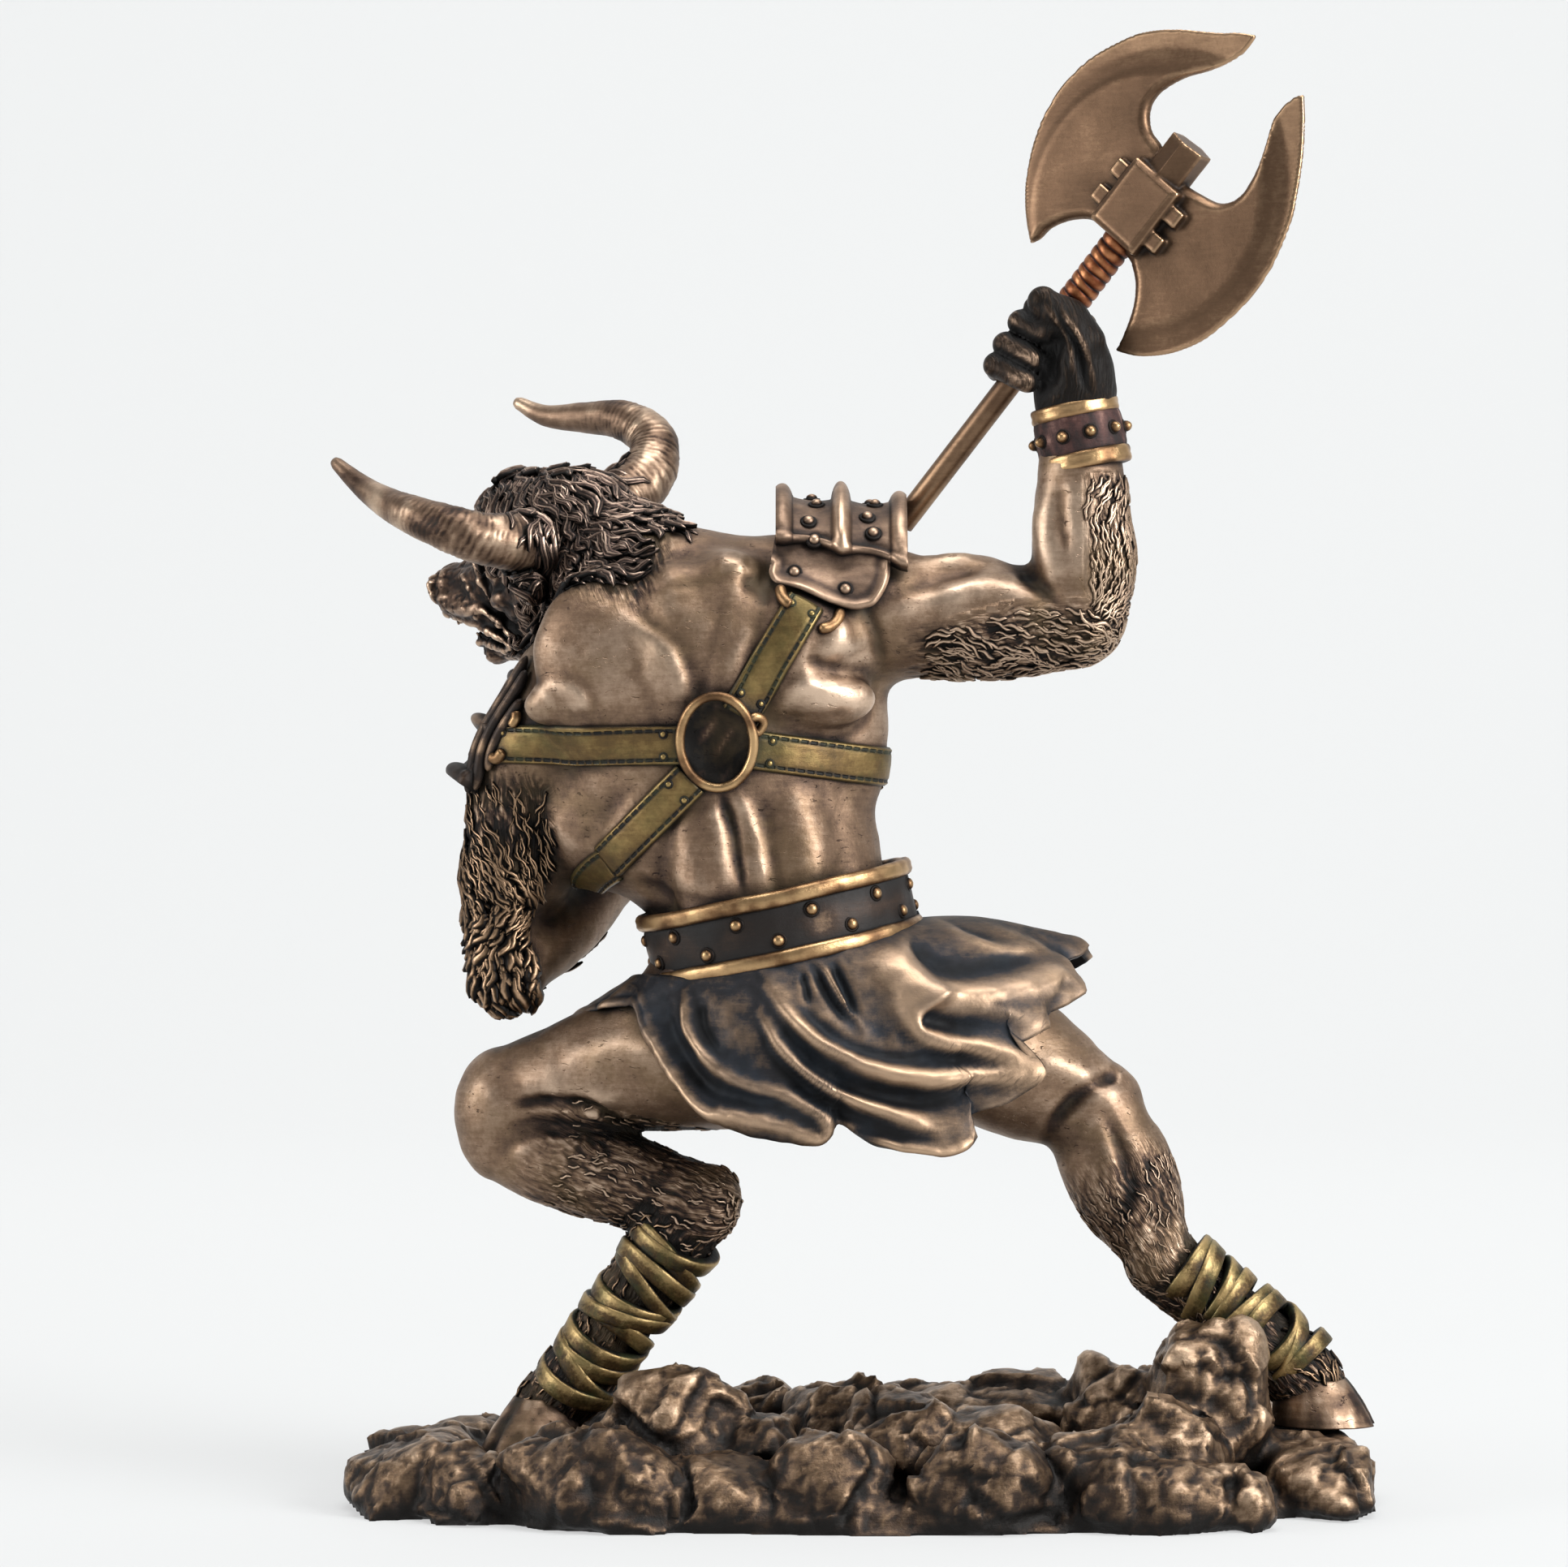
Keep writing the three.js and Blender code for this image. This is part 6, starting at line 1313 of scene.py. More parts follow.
def hammered_ring(centre, out):
    """A ring of round wire, standing square to out, with its first point at the top."""
    x, y, _ = axes((0, 0, 1), out)
    a = around(140)
    path = centre + RING_RADIUS * (np.cos(a)[:, None] * x + RING_SQUASH * np.sin(a)[:, None] * y)
    ahead = unit(np.roll(path, -1, 0) - np.roll(path, 1, 0))
    side = np.cross(ahead, out)
    b = around(14)
    wear = (RING_WIRE * (1 + 0.07 * noise(path, 3, 4)))[:, None, None]
    section = np.cos(b)[:, None] * side[:, None] + np.sin(b)[:, None] * unit(out)
    rings = path[:, None] + wear * section
    return swept(rings, True, np.clip(0.55 * np.sin(b) + 0.8 * noise(rings, 4, 6), -1, 1))


def harness():
    leather, heads, head_outs = [], [], []
    for n, (guides, steps, side) in enumerate(STRAPS):
        part, face, out = strap(guides, steps, side)
        leather.append(part)
        share = len(face) / (steps + 1)
        rows = ([int(6 * share)] if n < 4 else []) + ([len(face) - 1 - int(3 * share)] if n in (0, 1) else [])
        for row in rows:
            for lane in (3, 11):
                heads.append(face[row, lane])
                head_outs.append(out[row])
    for c, o in zip(heads, head_outs):
        leather += domes([c + o * 0.05], [o], 0.62, 0.34, 12, 1.5)
    brass = [wire(*w) for w in WIRES]
    brass.append(hammered_ring(RING_SKIN + RING_OUT * 1.6, RING_OUT))
    return leather, brass


# Belt and kilt
WAIST_CENTRE = np.array([-17.5, 2, 118.8])
WAIST_ACROSS, WAIST_DEEP = unit([1, 0, 0.22]), np.array([0, 1.0, 0])
WAIST_AXIS = np.cross(WAIST_ACROSS, WAIST_DEEP)
WAIST_HALF, WAIST_TALL = (26.6, 22.8), 13.0


def on_waist(angle, out, rise):
    """A point on the waist's ellipse, out millimetres off it and rise along the tilted waist's own axis."""
    return WAIST_CENTRE + np.multiply.outer((WAIST_HALF[0] + out) * np.cos(angle), WAIST_ACROSS) \
        + np.multiply.outer((WAIST_HALF[1] + out) * np.sin(angle), WAIST_DEEP) \
        + np.multiply.outer(rise, WAIST_AXIS)


def belt():
    """A studded leather band between two thick rolled rims, each a closed profile carried round the waist."""
    n = 260
    a = around(n)
    h = WAIST_TALL / 2
    band_profile = np.array([(-4, -h + 1), (1.0, -h + 1.2), (1.15, -h + 2.6), (1.25, -2.0), (1.3, 0),
                             (1.25, 2.0), (1.15, h - 2.6), (1.0, h - 1.2), (-4, h - 1)])
    place = np.stack([on_waist(a, band_profile[:, 0][k], np.full(n, band_profile[:, 1][k]))
                      for k in range(len(band_profile))], 1)
    out = unit(on_waist(a, 1, 0 * a) - on_waist(a, 0, 0 * a))
    place = place + out[:, None] * (0.22 * noise(place, 5, 3) + 0.1 * noise(place, 2, 4))[..., None]
    relief = np.array([-1, -1, -0.45, -0.1, 0.05, -0.1, -0.45, -1, -1]) + 0.8 * noise(place, 6, 8)
    band = swept(place, True, np.clip(relief, -1, 1))
    rims = []
    for end in (-1, 1):
        s = around(14)
        core = on_waist(a, 0, end * h * np.ones(n))
        worn = 1 + 0.1 * noise(core, 7, 5) + 0.05 * noise(core, 2.5, 6)
        path_out = 1.3 + 1.25 * np.cos(s) - 0.2 * np.cos(s) * np.exp(-(np.sin(s) / 0.3) ** 2)
        path_up = end * (h - 0.5) + 1.75 * np.sin(s)
        rings = [on_waist(a, path_out[k] * worn, path_up[k] + (worn - 1) * 1.5) for k in range(14)]
        rings = np.stack(rings, 1)
        bright = np.broadcast_to(0.65 * np.cos(s) - 0.05, (n, 14))
        streaks = noise(rings * [1, 1, 2.5], 5, 7) + 0.6 * noise(rings, 2, 8)
        rims.append(swept(rings, True, np.clip(bright + 0.7 * streaks, -1, 1)))
    studs = []
    for i in range(22):
        angle = 2 * np.pi * (i + 0.4) / 22
        rise = 2.4 if i % 2 else -2.4
        p = on_waist(np.array([angle]), 1.15, np.array([rise]))[0]
        studs += domes([p], [out[int(angle / (2 * np.pi) * n) % n]], 1.25, 0.95, 14, 1.35)
    return band, rims, studs


# Hem of the kilt: degrees round the waist and a point; behind it runs out to tips with notches between
HEM = [(22, 42, 16, 108), (48, 28, 29, 98), (78, 3, 36, 84), (106, -18, 33, 79), (136, -36, 22, 84),
       (168, -45.5, 8, 96),
       (202, -46.2, -8, 102.2), (212, -43.1, -12, 95), (228, -38.6, -18, 88), (241, -33.7, -23, 82.1),
       (252, -28.3, -27, 78.8), (262, -22.6, -29, 77), (272, -16.4, -31, 75.9), (281, -9.9, -32, 75.6),
       (284, -7.3, -32, 77.2), (287, -5.6, -31, 80.1), (292, -1.1, -33, 77.7), (299, 5.9, -34, 74.7),
       (307, 14, -34, 73.8),
       (313, 20.4, -33, 75.5), (315, 22, -32, 78.1), (317, 21, -31, 81.4), (321, 27.2, -31, 83.7),
       (324, 32.2, -30, 86.7),
       (327, 35.5, -29, 89.6), (330, 31.2, -28, 93.1), (333, 29.7, -27, 95.3), (335, 32.6, -26, 96.4),
       (337, 37, -23, 99),
       (339, 36.8, -20, 101.5), (342, 40.9, -16, 103), (346, 44.4, -12, 105.4), (350, 43, -7, 109.1),
       (354, 41.6, -3, 110.8),
       (358, 45.7, 0, 112.4), (363, 47, 5, 114)]
# What the cloth is swept into behind: rise, half width above and below, line (x, z)
FOLDS = [
    (2.2, 1.2, 2.4, [(-45.9, 104.6), (-42.8, 97.3), (-38.5, 88.8), (-34.3, 83.4), (-28.8, 81.3),
                     (-18.5, 80.9)]),
    (-1.3, 1.6, 1.4, [(-41.6, 104), (-39.6, 97.5), (-35.2, 90), (-30, 85.8), (-22, 84)]),
    (1.5, 1.2, 1.1, [(-36.3, 105.7), (-36.1, 99.8), (-33.9, 95.3), (-30.5, 91.6)]),
    (-1.0, 1.1, 1.1, [(-33.6, 103.5), (-33.2, 98.4), (-30.2, 94)]),
    (1.5, 1.9, 1.2, [(-36.6, 98.5), (-31.7, 91.7), (-24.5, 87.4), (-17.3, 85.3), (-10, 82), (-8, 78.2)]),
    (1.0, 3.6, 3.6, [(-28, 106), (-27, 99), (-22, 94)]),
    (2.2, 2.4, 1.0, [(-21.2, 101.9), (-17.9, 95.2), (-11.8, 89.2), (-4.6, 84.9), (3.8, 81.9), (13.3, 79.2)]),
    (-1.8, 1.5, 1.5, [(-17.3, 91.4), (-10, 85.3), (-2.8, 81.6), (5.6, 79)]),
    (3.4, 3.2, 1.7, [(-19.7, 107.1), (-13, 98.6), (-6.4, 94.4), (1.4, 90.7), (11.6, 88.8), (20.7, 89.2),
                     (31, 89)]),
    (-1.9, 1.6, 1.5, [(-16, 97.4), (-10, 91.1), (-1.6, 87), (8.6, 84.8), (20.7, 84.9)]),
    (-1.9, 1.4, 1.5, [(-14.8, 103.9), (-6.4, 96.6), (3.2, 93.1), (15.7, 92.2), (24.1, 91.6)]),
    (2.8, 2.9, 1.5, [(5.6, 104), (9.2, 98.6), (14.6, 95.9), (21.3, 94.8), (26.7, 92.9), (34, 89.9)]),
    (-2.1, 1.9, 2.2, [(9.3, 101.2), (14.7, 99.7), (23.7, 98.6)]),
    (3.4, 5.2, 4.4, [(2.0, 115.7), (6.8, 110.5), (9, 105.7), (12.3, 101.5)]),
    (3.6, 2.2, 4.0, [(5.7, 109.9), (11.7, 106.2), (18.9, 105.9), (27.4, 107.4), (35.8, 109.3),
                     (41.5, 107.8)]),
    (1.0, 1.1, 1.3, [(20, 103), (27, 101.5), (34.5, 99.4)]),
    (-2.4, 2.4, 2.7, [(7.5, 116.8), (12.9, 112.4), (19, 110.6), (26.8, 110.6), (35.9, 111.9)]),
    (1.8, 1.3, 1.5, [(11.9, 122.8), (17.9, 117.9), (25.8, 114.8), (39.2, 112.8)]),
    (1.8, 1.6, 1.3, [(13.2, 123.9), (23, 120), (32.1, 116.2), (44.5, 114)]),
    (-1.2, 0.8, 0.9, [(12.5, 122), (20, 117.8), (28.5, 114.9)]),
    (-1.2, 0.7, 0.7, [(-13, 109.8), (-12.1, 106.8), (-11.7, 104.2)]),
    (-1.9, 0.9, 1.1, [(-10.4, 110.8), (-7, 105), (-3.4, 100.3)]),
    (-1.9, 0.9, 1.0, [(-6.4, 111.3), (-4.3, 106.8), (-2.2, 100.9)]),
    (0.9, 0.6, 0.6, [(-8.6, 111), (-5.5, 105.6), (-0.4, 98.4)]),
    (-1.2, 0.7, 0.8, [(-6.4, 79.2), (2.6, 78.2), (11.7, 76.9)]),
    (1.3, 0.9, 1.6, [(-1.6, 77.4), (8.7, 74.9), (16.5, 74.9), (20.7, 76.8)]),
    (1.2, 1.0, 1.3, [(-24, 80), (-18, 79.2), (-12, 77.6), (-8.6, 76.6)]),
]
# Pleats of the side turned away: (degrees, rise, half width in degrees)
PLEATS = [(14, 2.6, 8), (34, 2.2, 6), (52, 3.0, 8), (74, 2.4, 7), (93, 3.0, 8), (112, 2.2, 6), (131, 3.0, 8),
          (152, 2.4, 7),
          (172, 2.8, 8), (190, 2.0, 6)]


def kilt():
    """Cloth from the belt to a hem of tips and notches: rows of a curve that swings out and down from the
    waist to the hem. Behind, the folds are strokes swept to the viewer's right; in front, plain pleats that
    grow downwards."""
    nu, nv = ((420, 52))
    ends = np.array(HEM, float)
    ends = np.vstack([ends[-2:] - [360, 0, 0, 0], ends, ends[:2] + [360, 0, 0, 0]])
    curve = smooth_path(ends, 900)
    degrees = 360.0 * np.arange(nu) / nu
    hem = np.stack([np.interp(degrees, curve[:, 0], curve[:, k]) for k in (1, 2, 3)], -1)
    angle = np.radians(degrees)
    v = np.linspace(0, 1, nv)[None, :]
    top = on_waist(angle, 0.2, np.full(nu, -WAIST_TALL / 2 + 1.5))
    out = unit(np.stack([np.cos(angle), np.sin(angle), np.full(nu, 0.1)], -1))
    # The tips and notches belong to the hem alone, so the cloth above follows an evened hem
    even = evened(hem, nu * nu // 1200)
    ragged = hem - even
    lifted = 4 + 1.5 * np.maximum(0, np.cos(angle))
    knee = mix(top, even, 0.45) + out * 5 + np.stack([0 * lifted, 0 * lifted, lifted], -1)
    vv = v[..., None]
    p = mix(mix(top[:, None], knee[:, None], vv), mix(knee[:, None], even[:, None], vv), vv)
    p = p + ragged[:, None] * (ramp(v, 0.45, 1.0) ** 1.5)[..., None]
    behind = ramp(2 - p[..., 1], 0, 12)
    swept_folds = strokes(p, FOLDS) * ramp(v, 0.0, 0.16) * behind
    pleat = np.zeros((nu, nv))
    for centre, rise, half in PLEATS:
        gap = (degrees[:, None] - centre + 180) % 360 - 180
        lean = np.where(gap < 0, gap / (half * 0.7), gap / (half * 1.2))
        pleat = np.maximum(pleat, rise * np.exp(-np.abs(lean) ** 1.7) * ramp(v, 0, 0.6) * (0.5 + 0.7 * v))
    pleat = (pleat - 0.8 * v) * (1 - behind)
    soft = 0.35 * noise(p, 9, 3) * v + 0.26 * noise(p, 3.4, 4) + 0.14 * noise(p, 1.5, 5)
    crumpled = ramp(p[..., 0], 2, 26) * ramp(v, 0.5, 0.9) * behind
    soft = soft + crumpled * (0.9 * noise(p * [0.5, 0.5, 1.3], 3.2, 12) + 0.4 * noise(p, 2, 13))
    # The hem is torn into small scallops and rolled to a thick lip
    edge = np.stack([degrees, 0 * degrees, 0 * degrees], -1)
    tear = (0.5 * noise(edge, 6, 5) + 0.2 * noise(edge, 2.6, 6))[:, None]
    lip = np.clip((v - 0.84) / 0.16, 0, 1)
    down = unit(even - knee)[:, None]
    p = p + out[:, None] * (swept_folds + pleat + soft)[..., None] \
        + down * (ramp(v, 0.6, 1) * tear)[..., None]
    p = p + out[:, None] * (0.7 * np.sin(math.pi * lip ** 0.8) + 0.2 * lip)[..., None]
    # It lies on the hips and thighs and never sinks into them
    for rounds in (30, 10):
        push = np.clip(1.4 - FLESH.value(p.reshape(-1, 3)).reshape(nu, nv), 0, 9)
        for _ in range(3):
            push = np.maximum.reduce([push, np.roll(push, 1, 0), np.roll(push, -1, 0)])
        for _ in range(rounds):
            push = evened(push, 1)
            push = (np.c_[push[:, :1], push[:, :-1]] + 2 * push + np.c_[push[:, 1:], push[:, -1:]]) / 4
        p = p + out[:, None] * (push * ramp(v, 0.02, 0.3))[..., None]
    face = unit(np.cross((np.roll(p, -1, 0) - np.roll(p, 1, 0)) / 2, np.gradient(p, axis=1)))
    face = face * np.sign((face * out[:, None]).sum(-1, keepdims=True))
    inner = p - unit(evened(face, 12)) * (1.5 - 0.3 * v + 0.5 * lip)[..., None] - out[:, None] * 0.2
    i, j = np.meshgrid(np.arange(nu), np.arange(nv - 1), indexing="ij")
    quads = np.stack([i * nv + j, (i + 1) % nu * nv + j, (i + 1) % nu * nv + j + 1, i * nv + j + 1],
                     -1).reshape(-1, 4)
    relief = relief_of(p.reshape(-1, 3), quads, face.reshape(-1, 3), 4, 7).reshape(nu, nv)
    # Painted shade: the cloth is made darker towards the viewer's left, the side turned away from the key
    # light
    side = 0.26 * ramp(p[..., 0], -34, 4) - 0.26
    relief = np.clip(0.75 * relief + 0.26 * (swept_folds + pleat) + 0.4 * lip ** 2 + side - 0.22, -1, 1)
    lay = np.stack(np.broadcast_arrays(degrees[:, None] * 0.7, v * 40, 1.0), -1)
    return sheet(p, inner, True, relief, lay)


# Shoulder guards
def guard(centre, run, top, radius, length, low, high, slant):
    """An arched shell across the shoulder: three standing ridges run over it, the middle one highest, with
    sagging panels between. Each panel ends in a thick curled lip that arches up between the ridges' blunt
    ends; slant is how much lower, in radians about the arm, the edge lies at its far end."""
    near = unit(np.cross(run, top))
    nx, na = ((110, 60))
    x = np.linspace(-0.56, 0.56, nx) * length
    w = np.linspace(0, 1, na)[:, None]
    share = np.clip(np.abs(x) / length * 2, 0, 1)
    arch = np.sin(np.pi * share) ** 1.1
    start = low - slant * x / length + 0.085 * arch
    a = start + (high - start) * w
    crest = np.zeros(nx)
    for ridge, tall in ((-0.5, 0.62), (0, 1.0), (0.5, 0.55)):
        gap = np.abs(x - ridge * length) / 2.1
        crest = np.maximum(crest, tall * np.clip(1 - gap ** 2.2, 0, 1) ** 0.75)
    peak = 2.3 + 1.1 * np.exp(-((a - 1.45) / 0.5) ** 2) - 1.0 * np.exp(-(w / 0.05) ** 2)
    grid = np.stack(np.broadcast_arrays(x, a * radius, 0.0), -1)
    sway = 0.3 * noise(grid, 6, int(radius)) + 0.14 * noise(grid, 2, 5)
    off = w * (high - start) * radius
    lip = np.exp(-((off - 0.8) / 0.75) ** 2) * (1 - crest)
    crease = np.exp(-((off - 2.3) / 0.6) ** 2) * (1 - crest)
    r = radius + crest * peak - 1.1 * arch * (1 - crest) + 0.6 * sway + 1.0 * lip - 0.3 * crease

    def point(xx, aa, rr):
        return centre + np.multiply.outer(xx, run) + (rr * np.cos(aa))[..., None] * near \
            + (rr * np.sin(aa))[..., None] * top

    outer = point(np.broadcast_to(x, a.shape), a, r)
    inner = point(np.broadcast_to(x, a.shape), a, np.full(a.shape, radius - 3.2))
    foot = np.exp(-((crest - 0.12) / 0.1) ** 2)
    relief = np.clip(0.5 * crest ** 1.5 + 0.02 + 1.4 * sway + 0.45 * lip - 0.7 * crease - 0.45 * foot, -1, 1)
    shells = [sheet(outer, inner, False, relief)]
    studs = []
    for side in (-0.25, 0.25):
        for row in range(4):
            turn = low + (0.16, 0.42, 0.8, 1.2)[row] + (0.14 if side > 0 else 0.0)
            if turn < high - 0.1:
                across = (side + (0.02, -0.03, 0.04, 0.0)[row]) * length
                place = point(np.array(across), np.array(turn), np.array(radius - 0.85))
                studs += domes([place], [near * math.cos(turn) + top * math.sin(turn)], 1.2, 0.95, 12, 1.45)
    return shells, studs


# Lower edge of the flap that hangs from the right guard, (x, z)
FLAP_EDGE = [(-19.4, 192.4), (-19.7, 190.4), (-18.2, 188.5), (-13.6, 187.3), (-7.8, 184.7), (-3, 183.2),
             (-0.4, 183.4), (1.8, 184.3),
             (3.7, 187), (4.7, 189.8), (4.9, 192.5)]


def flap():
    """A thick tongue of hide below the guard, with a rolled bright hem and two rivets."""
    nu, nv = ((110, 34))
    edge = np.array(FLAP_EDGE, float)
    low = smooth_path(np.c_[edge, np.zeros(len(edge))], nu - 1)[:, :2]
    top = np.stack([np.interp(low[:, 0], [-19.7, 4.9], [-18, 4.4]),
                    np.interp(low[:, 0], [-19.7, 4.9], [201, 198])], -1)
    v = np.linspace(0, 1, nv)[None, :, None]
    flat = mix(top[:, None], low[:, None], v)
    # Its root follows the inside of the guard's shell, 18.2 mm about the arm's line
    tucked = 4 - np.sqrt(np.maximum(18.2 ** 2 - (flat[..., 1] - 186.5) ** 2, 1))
    p = np.stack([flat[..., 0], np.where(flat[..., 1] > 189, tucked, np.minimum(tucked, -14.6)),
                  flat[..., 1]], -1)
    deep = 2.4 - FLESH.part(p, 6).value(p)
    p[..., 1] -= np.clip(deep, 0, 7) * ramp(197 - p[..., 2], 0, 4)
    for _ in range(6):
        p[1:-1, :, 1] = (p[:-2, :, 1] + p[2:, :, 1]) / 2
    gap = np.hypot(p[..., None, 0] - low[:, 0], p[..., None, 2] - low[:, 1]).min(-1)
    hem = np.exp(-((gap - 0.9) / 0.75) ** 2)
    wave = 0.3 * noise(p, 5, 4) + 0.12 * noise(p, 2, 6)
    p[..., 1] -= 0.75 * hem + wave
    relief = np.clip(0.55 * hem - 0.55 * np.exp(-((gap - 2.6) / 0.7) ** 2) + 1.2 * wave - 0.05, -1, 1)
    inner = p + np.array([0, 2.4, 0])
    studs = []
    for x, z in ((-14.6, 190.9), (-4.1, 187.5)):
        i, j = np.unravel_index(np.hypot(p[..., 0] - x, p[..., 2] - z).argmin(), p.shape[:2])
        studs += domes([p[i, j]], [np.array([0, -1.0, 0.1])], 1.15, 0.85, 14, 1.4)
    return sheet(p, inner, False, relief), studs


# Cuff, wraps and hooves
CUFF = (np.array([45.2, -5.6, 212.0]), np.array([42.4, -5.1, 225.4]))


def cuff():
    """A red leather band with pointed studs between two thick rims, round the wrist."""
    low, high = CUFF
    axis = unit(high - low)
    length = np.linalg.norm(high - low)
    sides = 110
    x, y, _ = axes((0, -1, 0), axis)
    s = around(sides)
    spokes = np.cos(s)[:, None] * x + np.sin(s)[:, None] * y

    def ring_set(profile, seed, rough=0.1):
        rings = np.array([low + axis * t * length + r * spokes for t, r in profile])
        return rings + spokes[None] * (rough * noise(rings, 2.6, seed)
                                       + rough * noise(rings, 1.2, seed + 1))[..., None]

    band = ring_set([(0.16, 7), (0.17, 8.9), (0.3, 9.2), (0.5, 9.25), (0.72, 9.0), (0.85, 8.7), (0.86, 7)], 3,
                    0.14)
    leather = swept(band, False, np.clip(-0.1 + 0.9 * noise(band, 1.4, 5), -1, 1))
    rims = []
    for middle, r, tall in ((0.12, 9.3, 0.135), (0.88, 8.9, 0.12)):
        angles = np.linspace(-0.5, 0.5, 11)
        profile = [(middle + tall * math.sin(math.pi * q),
                    r - 0.8 + 1.15 * math.cos(math.pi * q) ** 0.6 - 0.25 * math.exp(-(q / 0.12) ** 2))
                   for q in angles]
        profile = [(profile[0][0], 6.5)] + profile + [(profile[-1][0], 6.5)]
        rings = ring_set(profile, 8, 0.08)
        rims.append(swept(rings, False,
                          np.clip(np.r_[-1, 0.8 * np.cos(np.pi * angles) - 0.15, -1][:, None]
                                  + 0.7 * noise(rings, 3, 2), -1, 1)))
    studs = []
    count = 10
    for i in range(count):
        a = 2 * math.pi * (i + 0.3) / count
        out = math.cos(a) * x + math.sin(a) * y
        studs += domes([low + axis * length * 0.5 + out * 9.15], [out], 1.2, 1.5, 12, 1.3)
    return leather, rims, studs


def bandage(a, b, r0, r1, count, seed):
    """Linen bands wound round a shank: each band is a ring tilted its own way, thick at the edge that lies on
    the band below."""
    a, b = np.asarray(a, float), np.asarray(b, float)
    x, y, z = axes((0, -1, 0), b - a)
    length = np.linalg.norm(b - a)
    sides = 84
    s = around(sides)
    bands = []
    for i in range(count):
        middle = (i + 0.5) / count * length
        tilt = 0.34 * (1 if i % 2 else -0.7) + 0.16 * (hash01(i, seed) - 0.5)
        turn = 2 * math.pi * hash01(i, seed, 2)
        half = length / count * (0.5 + 0.14 * hash01(i, seed, 3))
        r = mix(r0, r1, (i + 0.5) / count) + 0.5 * hash01(i, seed, 4)
        profile = [(-1.0, -1.3), (-1.0, 0.35), (-0.9, 0.85), (-0.6, 1.0), (0, 0.8), (0.6, 0.62), (0.92, 0.42),
                   (1.0, 0.05), (1.0, -1.3)]
        rings = []
        for q, high in profile:
            shift = middle + q * half + r * math.tan(tilt) * np.cos(s - turn)
            wave = 0.14 * np.sin(3 * s + seed + i)
            rr = r + high + wave
            rings.append(a + shift[:, None] * z
                         + rr[:, None] * (np.cos(s)[:, None] * x + np.sin(s)[:, None] * y))
        rings = np.stack(rings, 1)
        place_across = np.array([q for q, _ in profile])[None] * half
        lay = np.stack(np.broadcast_arrays(s[:, None] * r, place_across, 1.0), -1)
        relief = np.broadcast_to(np.array([-1, -0.3, 0.75, 0.8, 0.2, 0.1, 0.3, -0.8, -1.0]),
                                 rings.shape[:2]) + 0.5 * noise(rings, 3, seed + i)
        bands.append(swept(rings, True, np.clip(relief, -1, 1), lay))
    return bands


HOOVES = [((-65.5, 7.5, 19), (-70.5, 3, 7.5), (-0.8, -0.6)), ((92, 1.5, 23.5), (94.5, 1, 15.5), (1, -0.1))]


def hoof(top, ground, heading):
    """A cloven hoof: ovals from the coronet to the ground, pinched by a cleft in front and behind."""
    ahead = unit([heading[0], heading[1], 0])
    aside = np.array([-ahead[1], ahead[0], 0])
    n, sides = ((30, 72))
    t = np.linspace(0, 1, n)
    s = around(sides)
    rings = []
    top, ground = np.array(top, float), np.array(ground, float)
    for k in t:
        centre = mix(top + [0, 0, 1.5], ground, k)
        a = np.interp(k, [0, 0.12, 0.5, 1], [7.2, 7.9, 9.7, 11])
        b = np.interp(k, [0, 0.12, 0.5, 1], [6.9, 7.4, 8.6, 9.4])
        cleft = 1 - np.interp(k, [0, 0.3, 1],
                              [0.03, 0.1, 0.16]) * (np.exp(-(np.sin(s / 2) / 0.09) ** 2)
                                                    + 0.6 * np.exp(-(np.cos(s / 2) / 0.1) ** 2))
        line = 1 + 0.002 * math.sin(k * 34) + 0.01 * np.sin(s * 2)
        rings.append(centre + (a * np.cos(s) * cleft * line)[:, None] * ahead
                     + (b * np.sin(s) * line)[:, None] * aside)
    rings = np.array(rings)
    rings = rings + unit(rings - rings.mean(1, keepdims=True)) * (0.15 * noise(rings, 2.5, 3))[..., None]
    relief = 0.05 * np.sin(t * 34)[:, None] + 0.5 * noise(rings * [1, 1, 0.15], 1.4, 9) \
        - 1.2 * (np.exp(-(np.sin(s / 2) / 0.12) ** 2) + 0.6 * np.exp(-(np.cos(s / 2) / 0.12) ** 2))[None] \
        + 0.4 * noise(rings, 4, 6)
    return swept(rings, False, np.clip(relief, -1, 1))


# Rocks
def crags(p, size, seed):
    """Broken faces: every jittered cell point owns a plane of its own height and lean, and the nearest one
    counts; at a border two planes run into each other over a short slope. Gives the height in millimetres and
    how near a border is (0 on it)."""
    q = p / size
    base = np.floor(q)
    gaps, planes = [], []
    for i in (-1, 0, 1):
        for j in (-1, 0, 1):
            for k in (-1, 0, 1):
                c = base + [i, j, k]
                keys = (c[:, 0], c[:, 1], c[:, 2])
                centre = c + 0.15 + 0.7 * np.stack([hash01(*keys, seed + n) for n in range(3)], -1)
                lean = np.stack([hash01(*keys, seed + 4 + n) - 0.5 for n in range(3)], -1)
                off = q - centre
                gaps.append((off * off).sum(1))
                planes.append(0.2 * (hash01(*keys, seed + 8) - 0.5) + 0.85 * (off * lean).sum(1))
    gaps, planes = np.stack(gaps), np.stack(planes)
    weight = np.exp(-50 * (gaps - gaps.min(0)))
    second = np.partition(gaps, 1, 0)[:2]
    return size * (weight * planes).sum(0) / weight.sum(0), second[1] - second[0]


